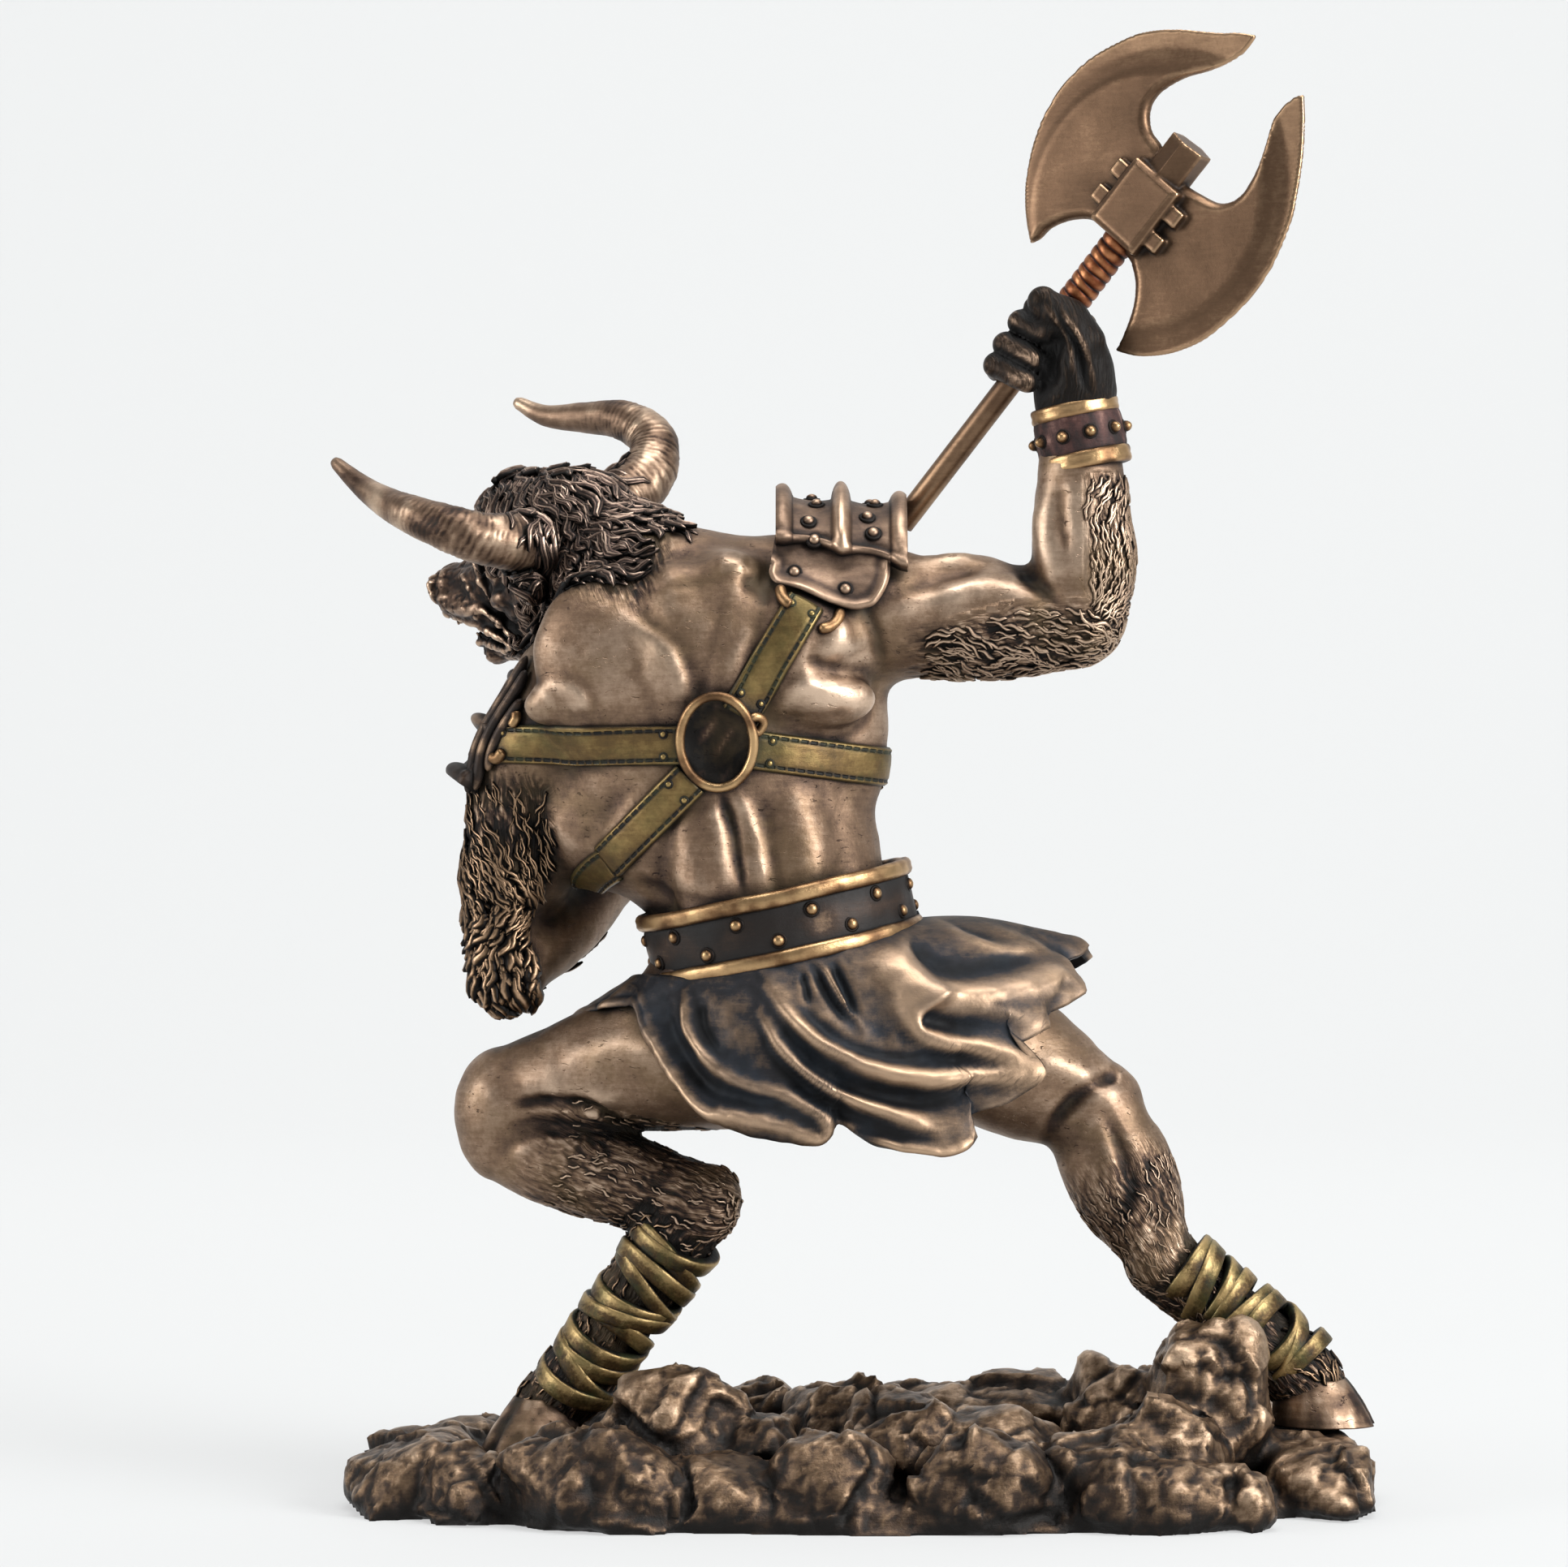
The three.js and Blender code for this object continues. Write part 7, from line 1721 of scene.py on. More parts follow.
def eased(points, quads, rounds):
    """Each point above the underside moves half way to the middle of its neighbours, over and over: edges go
    soft and neighbouring stones run together."""
    a, b = quads.ravel(), np.roll(quads, -1, 1).ravel()
    count = np.bincount(a, minlength=len(points)) + np.bincount(b, minlength=len(points))
    for _ in range(rounds):
        around = np.stack([np.bincount(a, points[b, k], len(points))
                           + np.bincount(b, points[a, k], len(points))
                           for k in range(3)], -1) / np.maximum(count, 1)[:, None]
        points = np.where((points[:, 2] > 0.3)[:, None], (points + around) / 2, points)
    return points


def rocks():
    """The CAD rocks evenly netted, then broken into coarse and fine facets with cracks between; painted light
    makes their upturned faces and the stones on the right lighter, and they are darker towards the bottom."""
    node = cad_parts["rock_base"]
    mesh = node.data.copy()
    stone = bpy.data.objects.new("rough_rock", mesh)
    bpy.context.scene.collection.objects.link(stone)
    weld = stone.modifiers.new("weld", "WELD")
    weld.merge_threshold = 0.00002
    net = stone.modifiers.new("net", "REMESH")
    net.mode = "VOXEL"
    net.voxel_size = ROCK_EDGE * MM
    netted = stone.evaluated_get(bpy.context.evaluated_depsgraph_get())
    solved = netted.to_mesh()
    points = np.empty(len(solved.vertices) * 3)
    solved.vertices.foreach_get("co", points)
    points = points.reshape(-1, 3) / MM
    sizes = np.empty(len(solved.polygons), int)
    solved.polygons.foreach_get("loop_total", sizes)
    loops = np.empty(len(solved.loops), int)
    solved.loops.foreach_get("vertex_index", loops)
    starts = np.cumsum(sizes) - sizes
    quads = loops[starts[sizes == 4][:, None] + np.arange(4)]
    tris = loops[starts[sizes == 3][:, None] + np.arange(3)] if (sizes == 3).any() else None
    netted.to_mesh_clear()
    bpy.data.objects.remove(stone)
    bpy.data.meshes.remove(mesh)
    points = eased(points, quads, 7)
    normals = vertex_normals(points, quads, tris)
    free = ramp(points[:, 2], 0.2, 2.5)
    warp = np.stack([noise(points, 8, n) for n in (1, 2, 3)], -1) * 1.5
    slab, ridge = crags(points + warp * 0.5, 19.0, 3)
    facet, edge = crags(points + warp * 0.5, 10.0, 19)
    chip, _ = crags(points + warp * 0.5, 4.2, 37)
    rough = ramp(noise(points, 14, 9), -0.25, 0.35)
    chisel = noise(points * [1.0, 1.0, 0.5] + warp, 1.3, 21)
    shift = 0.28 * slab + (0.3 + 0.15 * rough) * facet + (0.15 + 0.25 * rough) * chip \
        - 0.3 * np.exp(-(ridge / 0.04) ** 2)
    shift += 0.16 * chisel + 0.1 * noise(points, 1.1, 8) + ROCK_SWELL
    crest = -0.4 * np.exp(-(ridge / 0.06) ** 2) + 0.1 * np.exp(-(edge / 0.05) ** 2)
    scrape = noise(points * [0.6, 0.6, 1.6] + warp, 1.9, 41)
    crest = crest - 0.4 * np.exp(-(scrape / 0.09) ** 2)
    # Nothing grows into the room kept for the hooves and shanks
    room = np.full(len(points), 99.0)
    for a, b in (((-65.5, 7.5, 24), (-70.5, 3, 7.5)), ((92, 1.5, 28), (94.5, 1, 15.5)),
                 (LEFT["hock"], (-67.5, 8.6, 15)), (RIGHT["hock"], (94.5, 1.8, 19.5))):
        room = np.minimum(room, to_bone(points, a, b)[1])
    shift = np.where(room < 13.5, np.minimum(shift, 0.1), shift)
    moved = points + normals * (shift * free)[:, None]
    moved[:, 2] = np.where(points[:, 2] < 0.3, points[:, 2], np.maximum(moved[:, 2], 0.05))
    low, high = np.array([-107.5, -54.0, 0]), np.array([107.0, 53.5, 60])
    moved = np.clip(moved, low, high)
    normals = vertex_normals(moved, quads, tris)
    relief = relief_of(moved, quads, normals, 1, 3.2)
    # Painted light: faces turned up and the stones towards the viewer's right are made lighter, where the top
    # light and the key light from the right fall; the colour is also darker towards the bottom
    lower = ramp(moved[:, 2], 3, 22)
    relief = np.clip(0.9 * relief + 0.2 * (normals[:, 2] - 0.35) + 0.2 * lower - 0.26 - 0.15 * rough + crest
                     + 0.3 * ramp(moved[:, 0], 30, 90) + 0.25 * noise(points, 10, 31) + 0.2 * chisel, -1, 1)
    return Part(moved, quads, tris, relief, None, normals)


# Axe
AXE_AXIS = unit(AXE_CENTRE - AXE_FOOT)
AXE_FACE = unit(AXE_NORMAL - AXE_AXIS * (AXE_NORMAL @ AXE_AXIS))
AXE_SIDE = np.cross(AXE_AXIS, AXE_FACE)
BLADE_RUNS = [
    [(-3, 10), (-7.2, 12.1), (-11.1, 13.0), (-13.8, 15.3), (-14.9, 18.1), (-14.4, 21.4), (-12.4, 25.5),
     (-8.8, 30.3),
     (-6.3, 34.9), (-5.3, 38.1), (-5.3, 40.7), (-5.7, 41.6)],
    [(-5.7, 41.6), (-9.1, 39.6), (-11.8, 37.5), (-16.1, 34.8), (-20.4, 32), (-24.3, 28.8), (-27.6, 24.9),
     (-30.6, 19.3),
     (-32.6, 13.9), (-33.4, 7.1), (-32.6, 0.4), (-30.4, -5.8), (-27.4, -11.3), (-24, -15.5), (-20.5, -18.7),
     (-17.3, -21.1)],
    [(-17.3, -21.1), (-16.3, -19), (-16.1, -16.7), (-14.9, -14.2), (-12.5, -11.1), (-9.1, -8.8),
     (-3.5, -8.4)],
    [(3.5, -9.9), (6.9, -12.3), (9.3, -15.3), (11, -18.8), (12.3, -22.7), (12.7, -25.5)],
    [(12.7, -25.5), (14.3, -24.9), (17.7, -23), (21.5, -19.7), (24.6, -15.6), (27, -10.8), (28.4, -4.9),
     (29.1, 0.5),
     (28.9, 7), (27.6, 12.8), (25.5, 18.8), (22.5, 24.2), (19.2, 29.3), (15, 34.6), (10.9, 39)],
    [(10.9, 39), (9.8, 37.3), (9.1, 34.5), (9.2, 31.3), (10.5, 28), (12, 24.4), (13.2, 20.6), (13.8, 16.2),
     (13, 13.4),
     (10.6, 11.1), (6, 10), (3, 9.5)],
]


def blade_distance():
    """The distance to the twin blades' outline on a fine flat grid, negative inside: the least distance to
    the outline's segments, signed by counting crossings."""
    outline = np.vstack([smooth_path(np.c_[run, np.zeros(len(run))], 8 * (len(run) - 1))[:, :2]
                         for run in BLADE_RUNS])
    step = 0.3
    x, y = np.meshgrid(np.arange(-40, 40, step), np.arange(-30, 48, step), indexing="ij")
    best, inside = np.full(x.shape, 99.0), np.zeros(x.shape, bool)
    for a, b in zip(outline, np.roll(outline, -1, 0)):
        d = b - a
        t = np.clip(((x - a[0]) * d[0] + (y - a[1]) * d[1]) / max(d @ d, 1e-9), 0, 1)
        best = np.minimum(best, np.hypot(x - a[0] - t * d[0], y - a[1] - t * d[1]))
        if a[1] != b[1]:
            crosses = ((a[1] > y) != (b[1] > y)) & (x < d[0] * (y - a[1]) / d[1] + a[0])
            inside ^= crosses
    table = np.where(inside, -best, best)

    def sample(px, py):
        i = np.clip((px + 40) / step, 0, x.shape[0] - 1.001)
        j = np.clip((py + 30) / step, 0, x.shape[1] - 1.001)
        i0, j0 = i.astype(int), j.astype(int)
        u, v = i - i0, j - j0
        return (table[i0, j0] * (1 - u) + table[i0 + 1, j0] * u) * (1 - v) \
            + (table[i0, j0 + 1] * (1 - u) + table[i0 + 1, j0 + 1] * u) * v

    return sample


def axe_head():
    """Twin blades, thick at the socket and ground to thin cutting edges, with the studded socket block
    between. Carved in the axe's own axes: x to the side, y up the shaft, z out of the face."""
    outline = blade_distance()
    form = Form()

    def blades(p):
        x, y, z = p[:, 0] - BLADE_SHIFT, p[:, 1], p[:, 2]
        flat = outline(x, y)
        r = np.hypot(x + 2, y - 2)
        ground = np.maximum(r - 24.5, 0)
        half = BLADE_THICKNESS / 2 - 0.183 * ground * ramp(r, 24.5, 27.5) - 0.02 * np.abs(x) * (r < 60)
        half = np.minimum(np.maximum(half, 0.5), 0.25 + np.sqrt(np.maximum(-flat, 0)) * 1.35)
        side = np.abs(z) - half
        return np.maximum(side, flat)

    def box(centre, half, rounding):
        def distance(p):
            q = np.abs(p - centre) - (np.asarray(half) - rounding)
            return np.linalg.norm(np.maximum(q, 0), axis=1) + np.minimum(q.max(1), 0) - rounding
        form.items.append((distance, 0.6, False, np.asarray(centre, float), float(np.linalg.norm(half))))

    form.items.append((blades, 0.5, False, np.zeros(3), 55.0))
    box((0, 0, 0), (6.4, 7.9, 5.0), 0.6)
    box((0, 0, 0), (5.5, 7.0, 5.45), 0.5)
    for x in (-1, 1):
        for y in (-3.1, 3.4):
            box((x * 7.8, y, 0), (1.9, 1.8, 4.1), 0.35)

    def collar(p):
        angle = np.arctan2(p[:, 2], p[:, 0])
        wedge = np.mod(angle + math.pi / 6, math.pi / 3) - math.pi / 6
        flat = np.hypot(p[:, 0], p[:, 2]) * np.cos(wedge) - 3.95
        return np.maximum(flat, np.abs(p[:, 1] - 11.4) - 4.7) - 0.2

    form.items.append((collar, 0.5, False, np.array([0, 11.4, 0]), 7.5))
    form.settle()
    points, quads = carve(form, (-42, -32, -7), (42, 46, 7), 0.56,
                          lambda p: np.full(len(p), -9.0))
    points = points + vertex_normals(points, quads) * (0.05 * noise(points, 4, 4))[:, None]
    normals = vertex_normals(points, quads)
    relief = np.clip(1.1 * relief_of(points, quads, normals, 1, 4), -1, 1)
    r = np.hypot(points[:, 0] - BLADE_SHIFT + 2, points[:, 1] - 2)
    relief += 0.35 * ramp(r, 25, 34) + 0.15 * noise(points, 8, 2)
    placed = AXE_CENTRE + points @ np.array([AXE_SIDE, AXE_AXIS, AXE_FACE])
    return Part(placed, quads, None, np.clip(relief, -1, 1))


def shaft():
    n = 90
    t = np.linspace(-83, -4, n)
    path = AXE_CENTRE + t[:, None] * AXE_AXIS
    rings = bar(path, SHAFT_RADIUS * (1 + 0.012 * noise(path, 7, 2)), 28, AXE_FACE)
    return swept(rings, False, np.clip(0.15 + 0.5 * noise(rings, 12, 3), -1, 1))


def binding():
    """A cord wound up the neck: the radius is a row of round humps that climbs one turn at a time."""
    n, sides = ((120, 32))
    t = np.linspace(-25, -7, n)
    path = AXE_CENTRE + t[:, None] * AXE_AXIS
    s = around(sides)
    turn = (t[:, None] + 25) / 2.15 + s[None] / (2 * np.pi) + 0.08 * np.sin(2 * s[None] + t[:, None])
    hump = np.sqrt(np.clip(1 - (2 * (turn % 1) - 1) ** 2, 0, 1))
    ends = ramp(np.abs(t + 16), 9.0, 8.2)[:, None]
    radius = BINDING_RADIUS - 0.6 + 0.65 * hump ** 0.6 * (0.4 + 0.6 * ends)
    rings = bar(path, radius, sides, AXE_FACE)
    return swept(rings, False, np.clip(1.6 * hump - 0.9 + 0.4 * noise(rings, 2, 4), -1, 1))


# Finishes
def colour(code):
    """An sRGB hex value as linear red, green, blue and alpha."""
    parts = [int(code[i:i + 2], 16) / 255 for i in (1, 3, 5)]
    return tuple(c / 12.92 if c <= 0.04045 else ((c + 0.055) / 1.055) ** 2.4 for c in parts) + (1.0,)


def per(mm):
    """The texture scale, on coordinates in metres, of a pattern that repeats about every mm millimetres."""
    return 1000.0 / mm


def node(tree, kind, settings=None, links=None):
    """Adds a node; a setting is one of its properties or else an input's value, a link comes from a
    socket."""
    made = tree.nodes.new("ShaderNode" + kind)
    for key, value in (settings or {}).items():
        if isinstance(key, int) or key in made.inputs:
            made.inputs[key].default_value = value
        else:
            setattr(made, key, value)
    for key, socket in (links or {}).items():
        tree.links.new(socket, made.inputs[key])
    return made


def sums(tree, *terms):
    """The sum of (socket, factor) terms, and a constant given as a number."""
    total = None
    for term in terms:
        if isinstance(term, tuple):
            if total is None:
                made = node(tree, "Math", {"operation": "MULTIPLY", 1: term[1]}, {0: term[0]})
            else:
                made = node(tree, "Math", {"operation": "MULTIPLY_ADD", 1: term[1]}, {0: term[0], 2: total})
        else:
            made = node(tree, "Math", {"operation": "ADD", 1: term}, {0: total})
        total = made.outputs[0]
    return total


# Stitches: from one to the next, and from the strap's middle, in millimetres
STITCH_PITCH, STITCH_ASIDE = 2.1, 2.98


def patina(name, stops, roughness, metallic, wash=None, wash_share=0.3, wash_size=14, mottle=0.35, speck=0.25,
           shade=0.9,
           reach=4.0, strands=0.0, stitches=False, weave=0.0, nicks=0.0, bump=0.12):
    """Cast bronze under a brushed patina: stops are the colours from hollow to rubbed crest. The level
    between them is the carved relief, less the shade of nearby pieces, with mottling; the crests are smoother
    than the hollows."""
    material = bpy.data.materials.new(name)
    material.use_nodes = True
    tree = material.node_tree
    shader = tree.nodes["Principled BSDF"]
    place = node(tree, "TexCoord").outputs["Object"]
    relief = node(tree, "Attribute", {"attribute_name": "relief"}).outputs["Fac"]
    lay = node(tree, "Attribute", {"attribute_name": "lay"}).outputs["Vector"]
    split = node(tree, "SeparateXYZ", links={0: lay})
    broad = node(tree, "TexNoise", {"Scale": per(9), "Detail": 5.0, "Roughness": 0.62},
                 {"Vector": place}).outputs["Fac"]
    tiny = node(tree, "TexNoise", {"Scale": per(1.1), "Detail": 4.0, "Roughness": 0.7},
                {"Vector": place}).outputs["Fac"]
    stretched = node(tree, "Mapping", {"Scale": (1.0, 0.6, 7.0), "Rotation": (0.35, 0.5, 0.2)},
                     {"Vector": place}).outputs[0]
    brushed = node(tree, "TexNoise", {"Scale": per(5), "Detail": 5.0, "Roughness": 0.75, "Distortion": 0.3},
                   {"Vector": stretched}).outputs["Fac"]
    shade_node = node(tree, "AmbientOcclusion", {"samples": 6, "Distance": reach * MM})
    terms = [(relief, 0.5), (broad, mottle), (tiny, speck), (brushed, 0.22),
             (shade_node.outputs["AO"], shade),
             0.5 - 0.5 * mottle - 0.5 * speck - 0.11 - shade * 0.93]
    height = [(tiny, 0.55), (brushed, 0.35)]
    if strands:
        # Hairs lie along the fur's own millimetres: about 5 mm long and 0.7 mm apart, bent by a soft noise
        bend = node(tree, "TexNoise", {"Scale": per(4.5), "Detail": 1.0}, {"Vector": place}).outputs["Color"]
        pulled = node(tree, "VectorMath", {"operation": "MULTIPLY", 1: (0.19, 1.35, 0.0)},
                      {0: lay}).outputs[0]
        bent = node(tree, "VectorMath", {"operation": "MULTIPLY_ADD", 1: (1.1, 2.6, 0.0)},
                    {0: bend, 2: pulled}).outputs[0]
        hair = node(tree, "TexNoise", {"Scale": 1.0, "Detail": 3.0, "Roughness": 0.55, "Distortion": 0.25},
                    {"Vector": bent}).outputs["Fac"]
        sharp = node(tree, "MapRange", {"From Min": 0.36, "From Max": 0.64, "To Min": -0.5, "To Max": 0.5},
                     {"Value": hair}).outputs[0]
        grown = node(tree, "Math", {"operation": "MULTIPLY"}, {0: sharp, 1: split.outputs["Z"]}).outputs[0]
        terms.insert(0, (grown, 0.55 * strands))
        height.append((grown, 2.6 * strands))
    if stitches:
        # Each stitch covers about 1.5 mm of its pitch
        count = node(tree, "Math", {"operation": "MULTIPLY", 1: 1 / STITCH_PITCH},
                     {0: split.outputs["X"]}).outputs[0]
        along = node(tree, "Math", {"operation": "FRACT"}, {0: count}).outputs[0]
        dash = node(tree, "MapRange", {"From Min": 0.62, "From Max": 0.78}, {"Value": along}).outputs[0]
        across = node(tree, "Math", {"operation": "ABSOLUTE"}, {0: split.outputs["Y"]}).outputs[0]
        aside = node(tree, "Math", {"operation": "SUBTRACT", 1: STITCH_ASIDE}, {0: across}).outputs[0]
        off = node(tree, "Math", {"operation": "ABSOLUTE"}, {0: aside}).outputs[0]
        line = node(tree, "MapRange", {"From Min": 0.42, "From Max": 0.2}, {"Value": off}).outputs[0]
        shown = node(tree, "Math", {"operation": "SUBTRACT", 0: 1.0}, {1: dash}).outputs[0]
        seam = node(tree, "Math", {"operation": "MULTIPLY"}, {0: line, 1: shown}).outputs[0]
        seam = node(tree, "Math", {"operation": "MULTIPLY"}, {0: seam, 1: split.outputs["Z"]}).outputs[0]
        terms.insert(0, (seam, -0.75))
        height.append((seam, -1.6))
    if weave:
        cloth = node(tree, "VectorMath", {"operation": "MULTIPLY", 1: (1.0, 1.0, 0.0)}, {0: lay}).outputs[0]
        thread = node(tree, "TexNoise", {"Scale": 1.4, "Detail": 3.0, "Roughness": 0.6},
                      {"Vector": cloth}).outputs["Fac"]
        terms.insert(0, (thread, weave))
        terms[-1] -= weave * 0.5
        height.append((thread, 1.2 * weave))
    if nicks:
        # Short scratches and pits of the finisher's tools
        scuffed = node(tree, "Mapping", {"Scale": (1.0, 0.7, 2.4), "Rotation": (0.2, 0.9, 0.5)},
                       {"Vector": place}).outputs[0]
        cut = node(tree, "TexNoise", {"Scale": per(3.2), "Detail": 3.0, "Distortion": 2.2},
                   {"Vector": scuffed}).outputs["Fac"]
        nick = node(tree, "MapRange", {"From Min": 0.66, "From Max": 0.72}, {"Value": cut}).outputs[0]
        terms.insert(0, (nick, -0.16 * nicks))
        height.append((nick, -0.9 * nicks))
    level = sums(tree, *terms)
    tone = node(tree, "ValToRGB", links={0: level})
    while len(tone.color_ramp.elements) < len(stops):
        tone.color_ramp.elements.new(0.5)
    for element, (position, code) in zip(tone.color_ramp.elements, stops):
        element.position = position
        element.color = colour(code)
    tint = tone.outputs["Color"]
    if wash:
        drift = node(tree, "TexNoise",
                     {"Scale": per(wash_size), "Detail": 4.0, "Roughness": 0.6, "Distortion": 0.5},
                     {"Vector": place}).outputs["Fac"]
        share = node(tree, "MapRange", {"From Min": 0.46, "From Max": 0.66, "To Max": wash_share},
                     {"Value": drift}).outputs[0]
        tint = node(tree, "Mix", {"data_type": "RGBA", "blend_type": "MIX", 7: colour(wash)},
                    {0: share, 6: tint}).outputs[2]
    tree.links.new(tint, shader.inputs["Base Color"])
    rough = node(tree, "MapRange",
                 {"From Min": 0.15, "From Max": 0.95, "To Min": roughness + 0.2, "To Max": roughness - 0.04},
                 {"Value": level})
    tree.links.new(sums(tree, (rough.outputs[0], 1.0), (tiny, 0.16), -0.08), shader.inputs["Roughness"])
    metal = node(tree, "MapRange",
                 {"From Min": 0.1, "From Max": 0.6, "To Min": metallic - 0.3, "To Max": metallic},
                 {"Value": level})
    tree.links.new(metal.outputs[0], shader.inputs["Metallic"])
    rise = node(tree, "Bump", {"Strength": 1.0, "Distance": bump * MM}, {"Height": sums(tree, *height)})
    tree.links.new(rise.outputs[0], shader.inputs["Normal"])
    return material


# Flesh, its short fur and the hooves: bronze powder in resin, waxed dark and rubbed bright; warm tan with
# brown shadows
SKIN = patina("rubbed_cast_bronze",
              [(0.08, "#0e0a07"), (0.36, "#42322a"), (0.58, "#826a56"), (0.95, "#d2b8a0")], 0.42, 0.9,
              wash="#6f5c40", wash_share=0.35, strands=1.0, nicks=1.0)
# The fist, and the fur of the left arm and the shanks: the same bronze, waxed much darker; on the left arm's
# fur, which faces away from the key light, the darkness is also painted shade
FIST = patina("dark_waxed_bronze_fist",
              [(0.14, "#070504"), (0.5, "#15100c"), (0.74, "#3a2d23"), (0.98, "#967d68")], 0.42, 0.8,
              strands=0.8)
FUR = patina("dark_waxed_bronze_fur_with_painted_shade",
             [(0.14, "#080504"), (0.5, "#1d1510"), (0.72, "#56432f"), (0.97, "#bb9a7c")], 0.38, 0.9,
             mottle=0.25, shade=0.9, reach=3.0)
# Hair and beard: left dark, with light only on the crests of the locks
HAIR = patina("dark_waxed_bronze_hair",
              [(0.12, "#090706"), (0.42, "#2a201a"), (0.66, "#7a645a"), (0.96, "#dcc3ac")], 0.37, 0.9,
              mottle=0.25, shade=0.85, reach=3.0)
# Face: between the two, with fine light folds
FACE = patina("dark_waxed_bronze_face",
              [(0.12, "#090605"), (0.42, "#2c201a"), (0.64, "#5d493c"), (0.96, "#bea28a")], 0.38, 0.9,
              strands=0.8, reach=3.0)
# Horns: smoother golden bronze with dark wrinkles
HORN = patina("wrinkled_horn_bronze",
              [(0.08, "#14100b"), (0.33, "#3d2c22"), (0.58, "#7d6654"), (0.94, "#cfb59b")], 0.38, 0.92)
# Straps and leg wraps: a transparent olive-gold paint over the bronze, green where it has pooled
OLIVE = patina("olive_glazed_bronze_strap",
               [(0.06, "#0e0b07"), (0.34, "#32281a"), (0.58, "#655030"), (0.95, "#b0955e")], 0.36, 0.75,
               wash="#464a2a", wash_share=0.4, wash_size=9, stitches=True, speck=0.22)
WRAP = patina("olive_glazed_bronze_linen",
              [(0.12, "#0a0805"), (0.4, "#241b10"), (0.64, "#523f24"), (0.96, "#a38a5c")], 0.42, 0.7,
              wash="#474f2c", wash_share=0.45, wash_size=6, weave=0.5, speck=0.3)
# Rims, studs, ring and hooks: rubbed yellow bronze
BRASS = patina("rubbed_gold_bronze_trim",
               [(0.1, "#140c07"), (0.4, "#44301f"), (0.64, "#7a5c40"), (0.97, "#bd9b70")], 0.38, 0.93,
               mottle=0.55, shade=0.8, reach=2.5, bump=0.12)
# Belt leather and the left shoulder guard: brown-black glaze, worn through on the raised parts
LEATHER = patina("dark_glazed_bronze_leather",
                 [(0.1, "#060403"), (0.48, "#19110c"), (0.74, "#3a2a1f"), (0.98, "#9a7d62")], 0.46, 0.45,
                 wash="#180f0c", wash_share=0.5)
# Right shoulder guard: a thinner brown glaze
GUARD = patina("brown_glazed_bronze_guard",
               [(0.06, "#120d0a"), (0.32, "#46372f"), (0.58, "#7a6453"), (0.97, "#c4a68c")], 0.42, 0.88)
# Cuff: oxblood leather paint
OXBLOOD = patina("oxblood_painted_leather",
                 [(0.1, "#100706"), (0.4, "#301c1a"), (0.66, "#4e322d"), (0.95, "#866559")], 0.5, 0.45,
                 speck=0.6, bump=0.3)
# Kilt: a blue-black wash in the hollows, bronze on the folds
CLOTH = patina("blue_washed_bronze_cloth",
               [(0.12, "#0a0b0e"), (0.36, "#28272a"), (0.58, "#6a5848"), (0.94, "#b99c80")], 0.47, 0.84,
               wash="#2d3844", wash_share=0.32, wash_size=16)
# Rocks: earth-brown patina, dry-brushed on every edge
ROCK = patina("dry_brushed_bronze_rock",
              [(0.08, "#0e0a07"), (0.36, "#382b22"), (0.6, "#755f4a"), (0.95, "#ccb094")], 0.34, 0.88,
              mottle=0.2, speck=0.35, bump=0.35, reach=6.0)
# Axe: satin brown bronze, the same all over, brighter along the ground edges
SATIN = patina("satin_brown_bronze_axe",
               [(0.06, "#1e140d"), (0.34, "#4b3828"), (0.6, "#6c5441"), (0.98, "#b19172")], 0.36, 0.94,
               mottle=0.22, speck=0.2, shade=0.5, bump=0.05)
# Grip binding: copper-red waxed cord
COPPER = patina("copper_red_bound_cord",
                [(0.1, "#140703"), (0.4, "#451f0f"), (0.66, "#723a1c"), (0.96, "#b3784e")], 0.38, 0.7,
                shade=0.6)

# The pieces
flesh, grown = carve_body()
for name, part in flesh.items():
    made = piece(name, part, SKIN, own_normals=True)
    if name == "torso":
        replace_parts(made, "figure")
piece("bull_head", carve_head(), FACE, own_normals=True)
piece("right_hand", carve_hand(), FIST, own_normals=True)
piece("mane", mane(), HAIR)
piece("left_arm_fur", coat(grown[:2], 900), FUR)
piece("right_arm_fur", coat(grown[2:4], 3900), SKIN)
piece("thigh_and_calf_fur", coat(grown[4:6], 6900), SKIN)
piece("shank_fur", coat(grown[6:], 8900), FUR)
piece("horns", [horn(NEAR_HORN), horn(FAR_HORN)], HORN)
leather, brass = harness()
piece("harness_straps", leather, OLIVE)
piece("harness_ring", brass, BRASS)
band, rims, studs = belt()
piece("belt_band", band, LEATHER)
piece("belt_rims", rims, BRASS)
piece("belt_studs", studs, BRASS)
piece("kilt", kilt(), CLOTH)
shells, studs = guard(np.array([-5, 4, 186.5]), unit([1, 0, -0.06]), np.array([0, 0, 1.0]), 20, 24, 0.42, 2.6,
                      0.2)
tongue, rivets = flap()
shells.append(tongue)
studs += rivets
piece("right_shoulder_guard", shells, GUARD)
piece("right_guard_rivets", studs, GUARD)
shells, studs = guard(np.array([-66, 13, 151.5]), unit([0.54, 0, 0.84]), unit([-0.84, 0.05, 0.54]), 15, 23,
                      0.8, 2.6, 0.0)
piece("left_shoulder_guard", shells, LEATHER)
piece("left_guard_rivets", studs, LEATHER)
piece("left_guard_tongues", [wire(*t) for t in TONGUES], LEATHER)
band, rims, studs = cuff()
piece("cuff_band", band, OXBLOOD)
piece("cuff_rims", rims, BRASS)
piece("cuff_studs", studs, BRASS)
piece("left_leg_wraps", bandage((-38.3, 1, 54), (-60.5, 6.2, 22.5), 8.5, 7.6, 11, 3), WRAP)
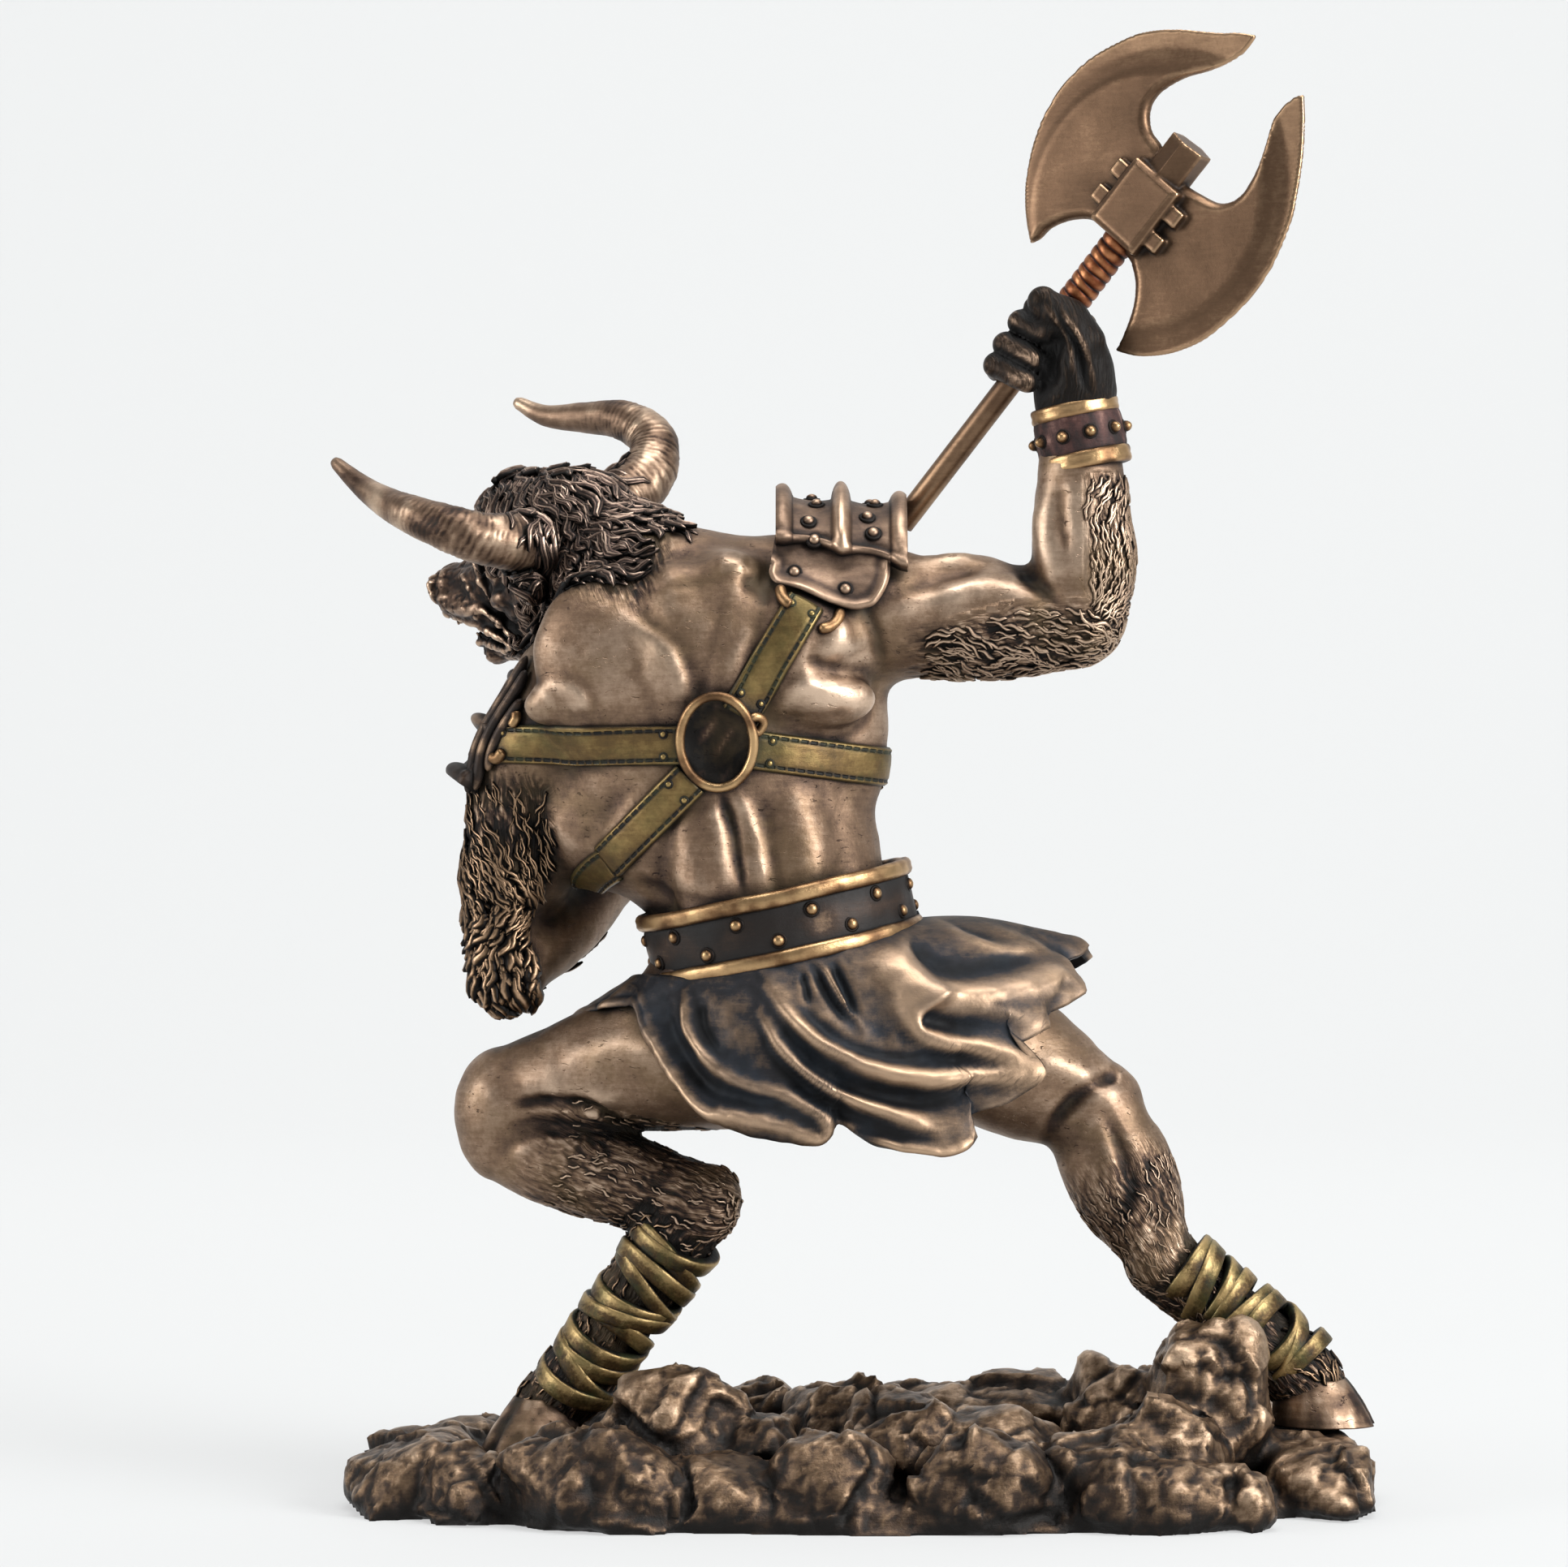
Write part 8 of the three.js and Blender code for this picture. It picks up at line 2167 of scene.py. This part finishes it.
piece("right_leg_wraps", bandage((65.2, -1.9, 48), (90.5, 1.1, 27.5), 7.3, 7.6, 9, 8), WRAP)
piece("hooves", [hoof(*h) for h in HOOVES], SKIN)
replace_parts(piece("rocks", rocks(), ROCK, True), "rock_base")
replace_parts(piece("axe_head", axe_head(), SATIN), "axe")
piece("axe_shaft", shaft(), SATIN)
piece("axe_binding", binding(), COPPER)

# Studio: a pale sweep of paper, a broad soft light on each side and one above
PAPER = bpy.data.materials.new("matt_pale_paper")
PAPER.use_nodes = True
paper_looks = {"Base Color": colour("#7c7e7e"), "Roughness": 0.9, "Emission Color": colour("#ffffff"),
               "Emission Strength": 0.525}
for key, value in paper_looks.items():
    PAPER.node_tree.nodes["Principled BSDF"].inputs[key].default_value = value
# The paper lies flat to where its bend starts, then turns up and rises
BEND_START, BEND_RADIUS, PAPER_FRONT, PAPER_TOP, PAPER_SIDE = 900, 700, -2600.0, 3200, 3000.0
bend = [(BEND_START + BEND_RADIUS * math.sin(a), BEND_RADIUS - BEND_RADIUS * math.cos(a))
        for a in np.linspace(0.1, math.pi / 2, 14)]
profile = np.array([(PAPER_FRONT, 0.0), (BEND_START, 0)] + bend + [(BEND_START + BEND_RADIUS, PAPER_TOP)])
sweep = np.stack([np.stack([np.full(len(profile), x), profile[:, 0], profile[:, 1]], -1)
                  for x in (-PAPER_SIDE, PAPER_SIDE)])
mesh = bpy.data.meshes.new("paper_sweep")
rows = len(profile)
mesh.from_pydata((sweep.reshape(-1, 3) * MM).tolist(), [],
                 [(i, i + rows, i + rows + 1, i + 1) for i in range(rows - 1)])
mesh.polygons.foreach_set("use_smooth", [True] * len(mesh.polygons))
mesh.materials.append(PAPER)
paper = bpy.data.objects.new("paper_sweep", mesh)
bpy.context.scene.collection.objects.link(paper)


def softbox(name, place, target, size, power):
    """A rectangular soft light that stands at place and faces target."""
    light = bpy.data.lights.new(name, "AREA")
    light.shape = "RECTANGLE"
    light.size, light.size_y = size[0] * MM, size[1] * MM
    light.energy = power
    lamp = bpy.data.objects.new(name, light)
    bpy.context.scene.collection.objects.link(lamp)
    away = np.subtract(place, target)
    x, y, z = axes((1, 0, 0) if abs(unit(away)[0]) < 0.9 else (0, 1, 0), away)
    m = np.eye(4)
    m[:3, :3] = np.stack([x, y, z], 1)
    m[:3, 3] = np.asarray(place) * MM
    lamp.matrix_world = Matrix(m.tolist())


softbox("key_right", (1100, -750, 650), (0, 0, 150), (700, 900), 27)
softbox("fill_left", (-1250, -350, 450), (0, 0, 150), (700, 700), 10)
softbox("top", (100, -150, 1300), (0, 0, 100), (900, 600), 13)
softbox("paper_light", (0, 700, 1000), (0, 1500, 200), (2600, 500), 15)
world = bpy.data.worlds.new("studio")
world.use_nodes = True
world.node_tree.nodes["Background"].inputs["Color"].default_value = colour("#eef1f3")
world.node_tree.nodes["Background"].inputs["Strength"].default_value = 0.2
bpy.context.scene.world = world
bpy.context.scene.view_settings.view_transform = "Standard"

# Camera: 1.25 m behind the back, at the height of the upper back, tipped a little down
CAMERA_PLACE, CAMERA_DIP = (-16.7, -1250, 175.7), 1.29
# Its focal length and the image's width, both in pixels, and the sensor's width in millimetres
FOCAL_PIXELS, IMAGE_PIXELS, SENSOR_WIDTH = 7500.0, 1932.0, 36.0
lens = bpy.data.cameras.new("camera")
lens.sensor_width = SENSOR_WIDTH
lens.lens = FOCAL_PIXELS / IMAGE_PIXELS * SENSOR_WIDTH
lens.clip_end = 50.0
camera = bpy.data.objects.new("camera", lens)
bpy.context.scene.collection.objects.link(camera)
camera.location = [v * MM for v in CAMERA_PLACE]
camera.rotation_euler = (math.radians(90 - CAMERA_DIP), 0, 0)
bpy.context.scene.camera = camera

bpy.context.view_layer.update()
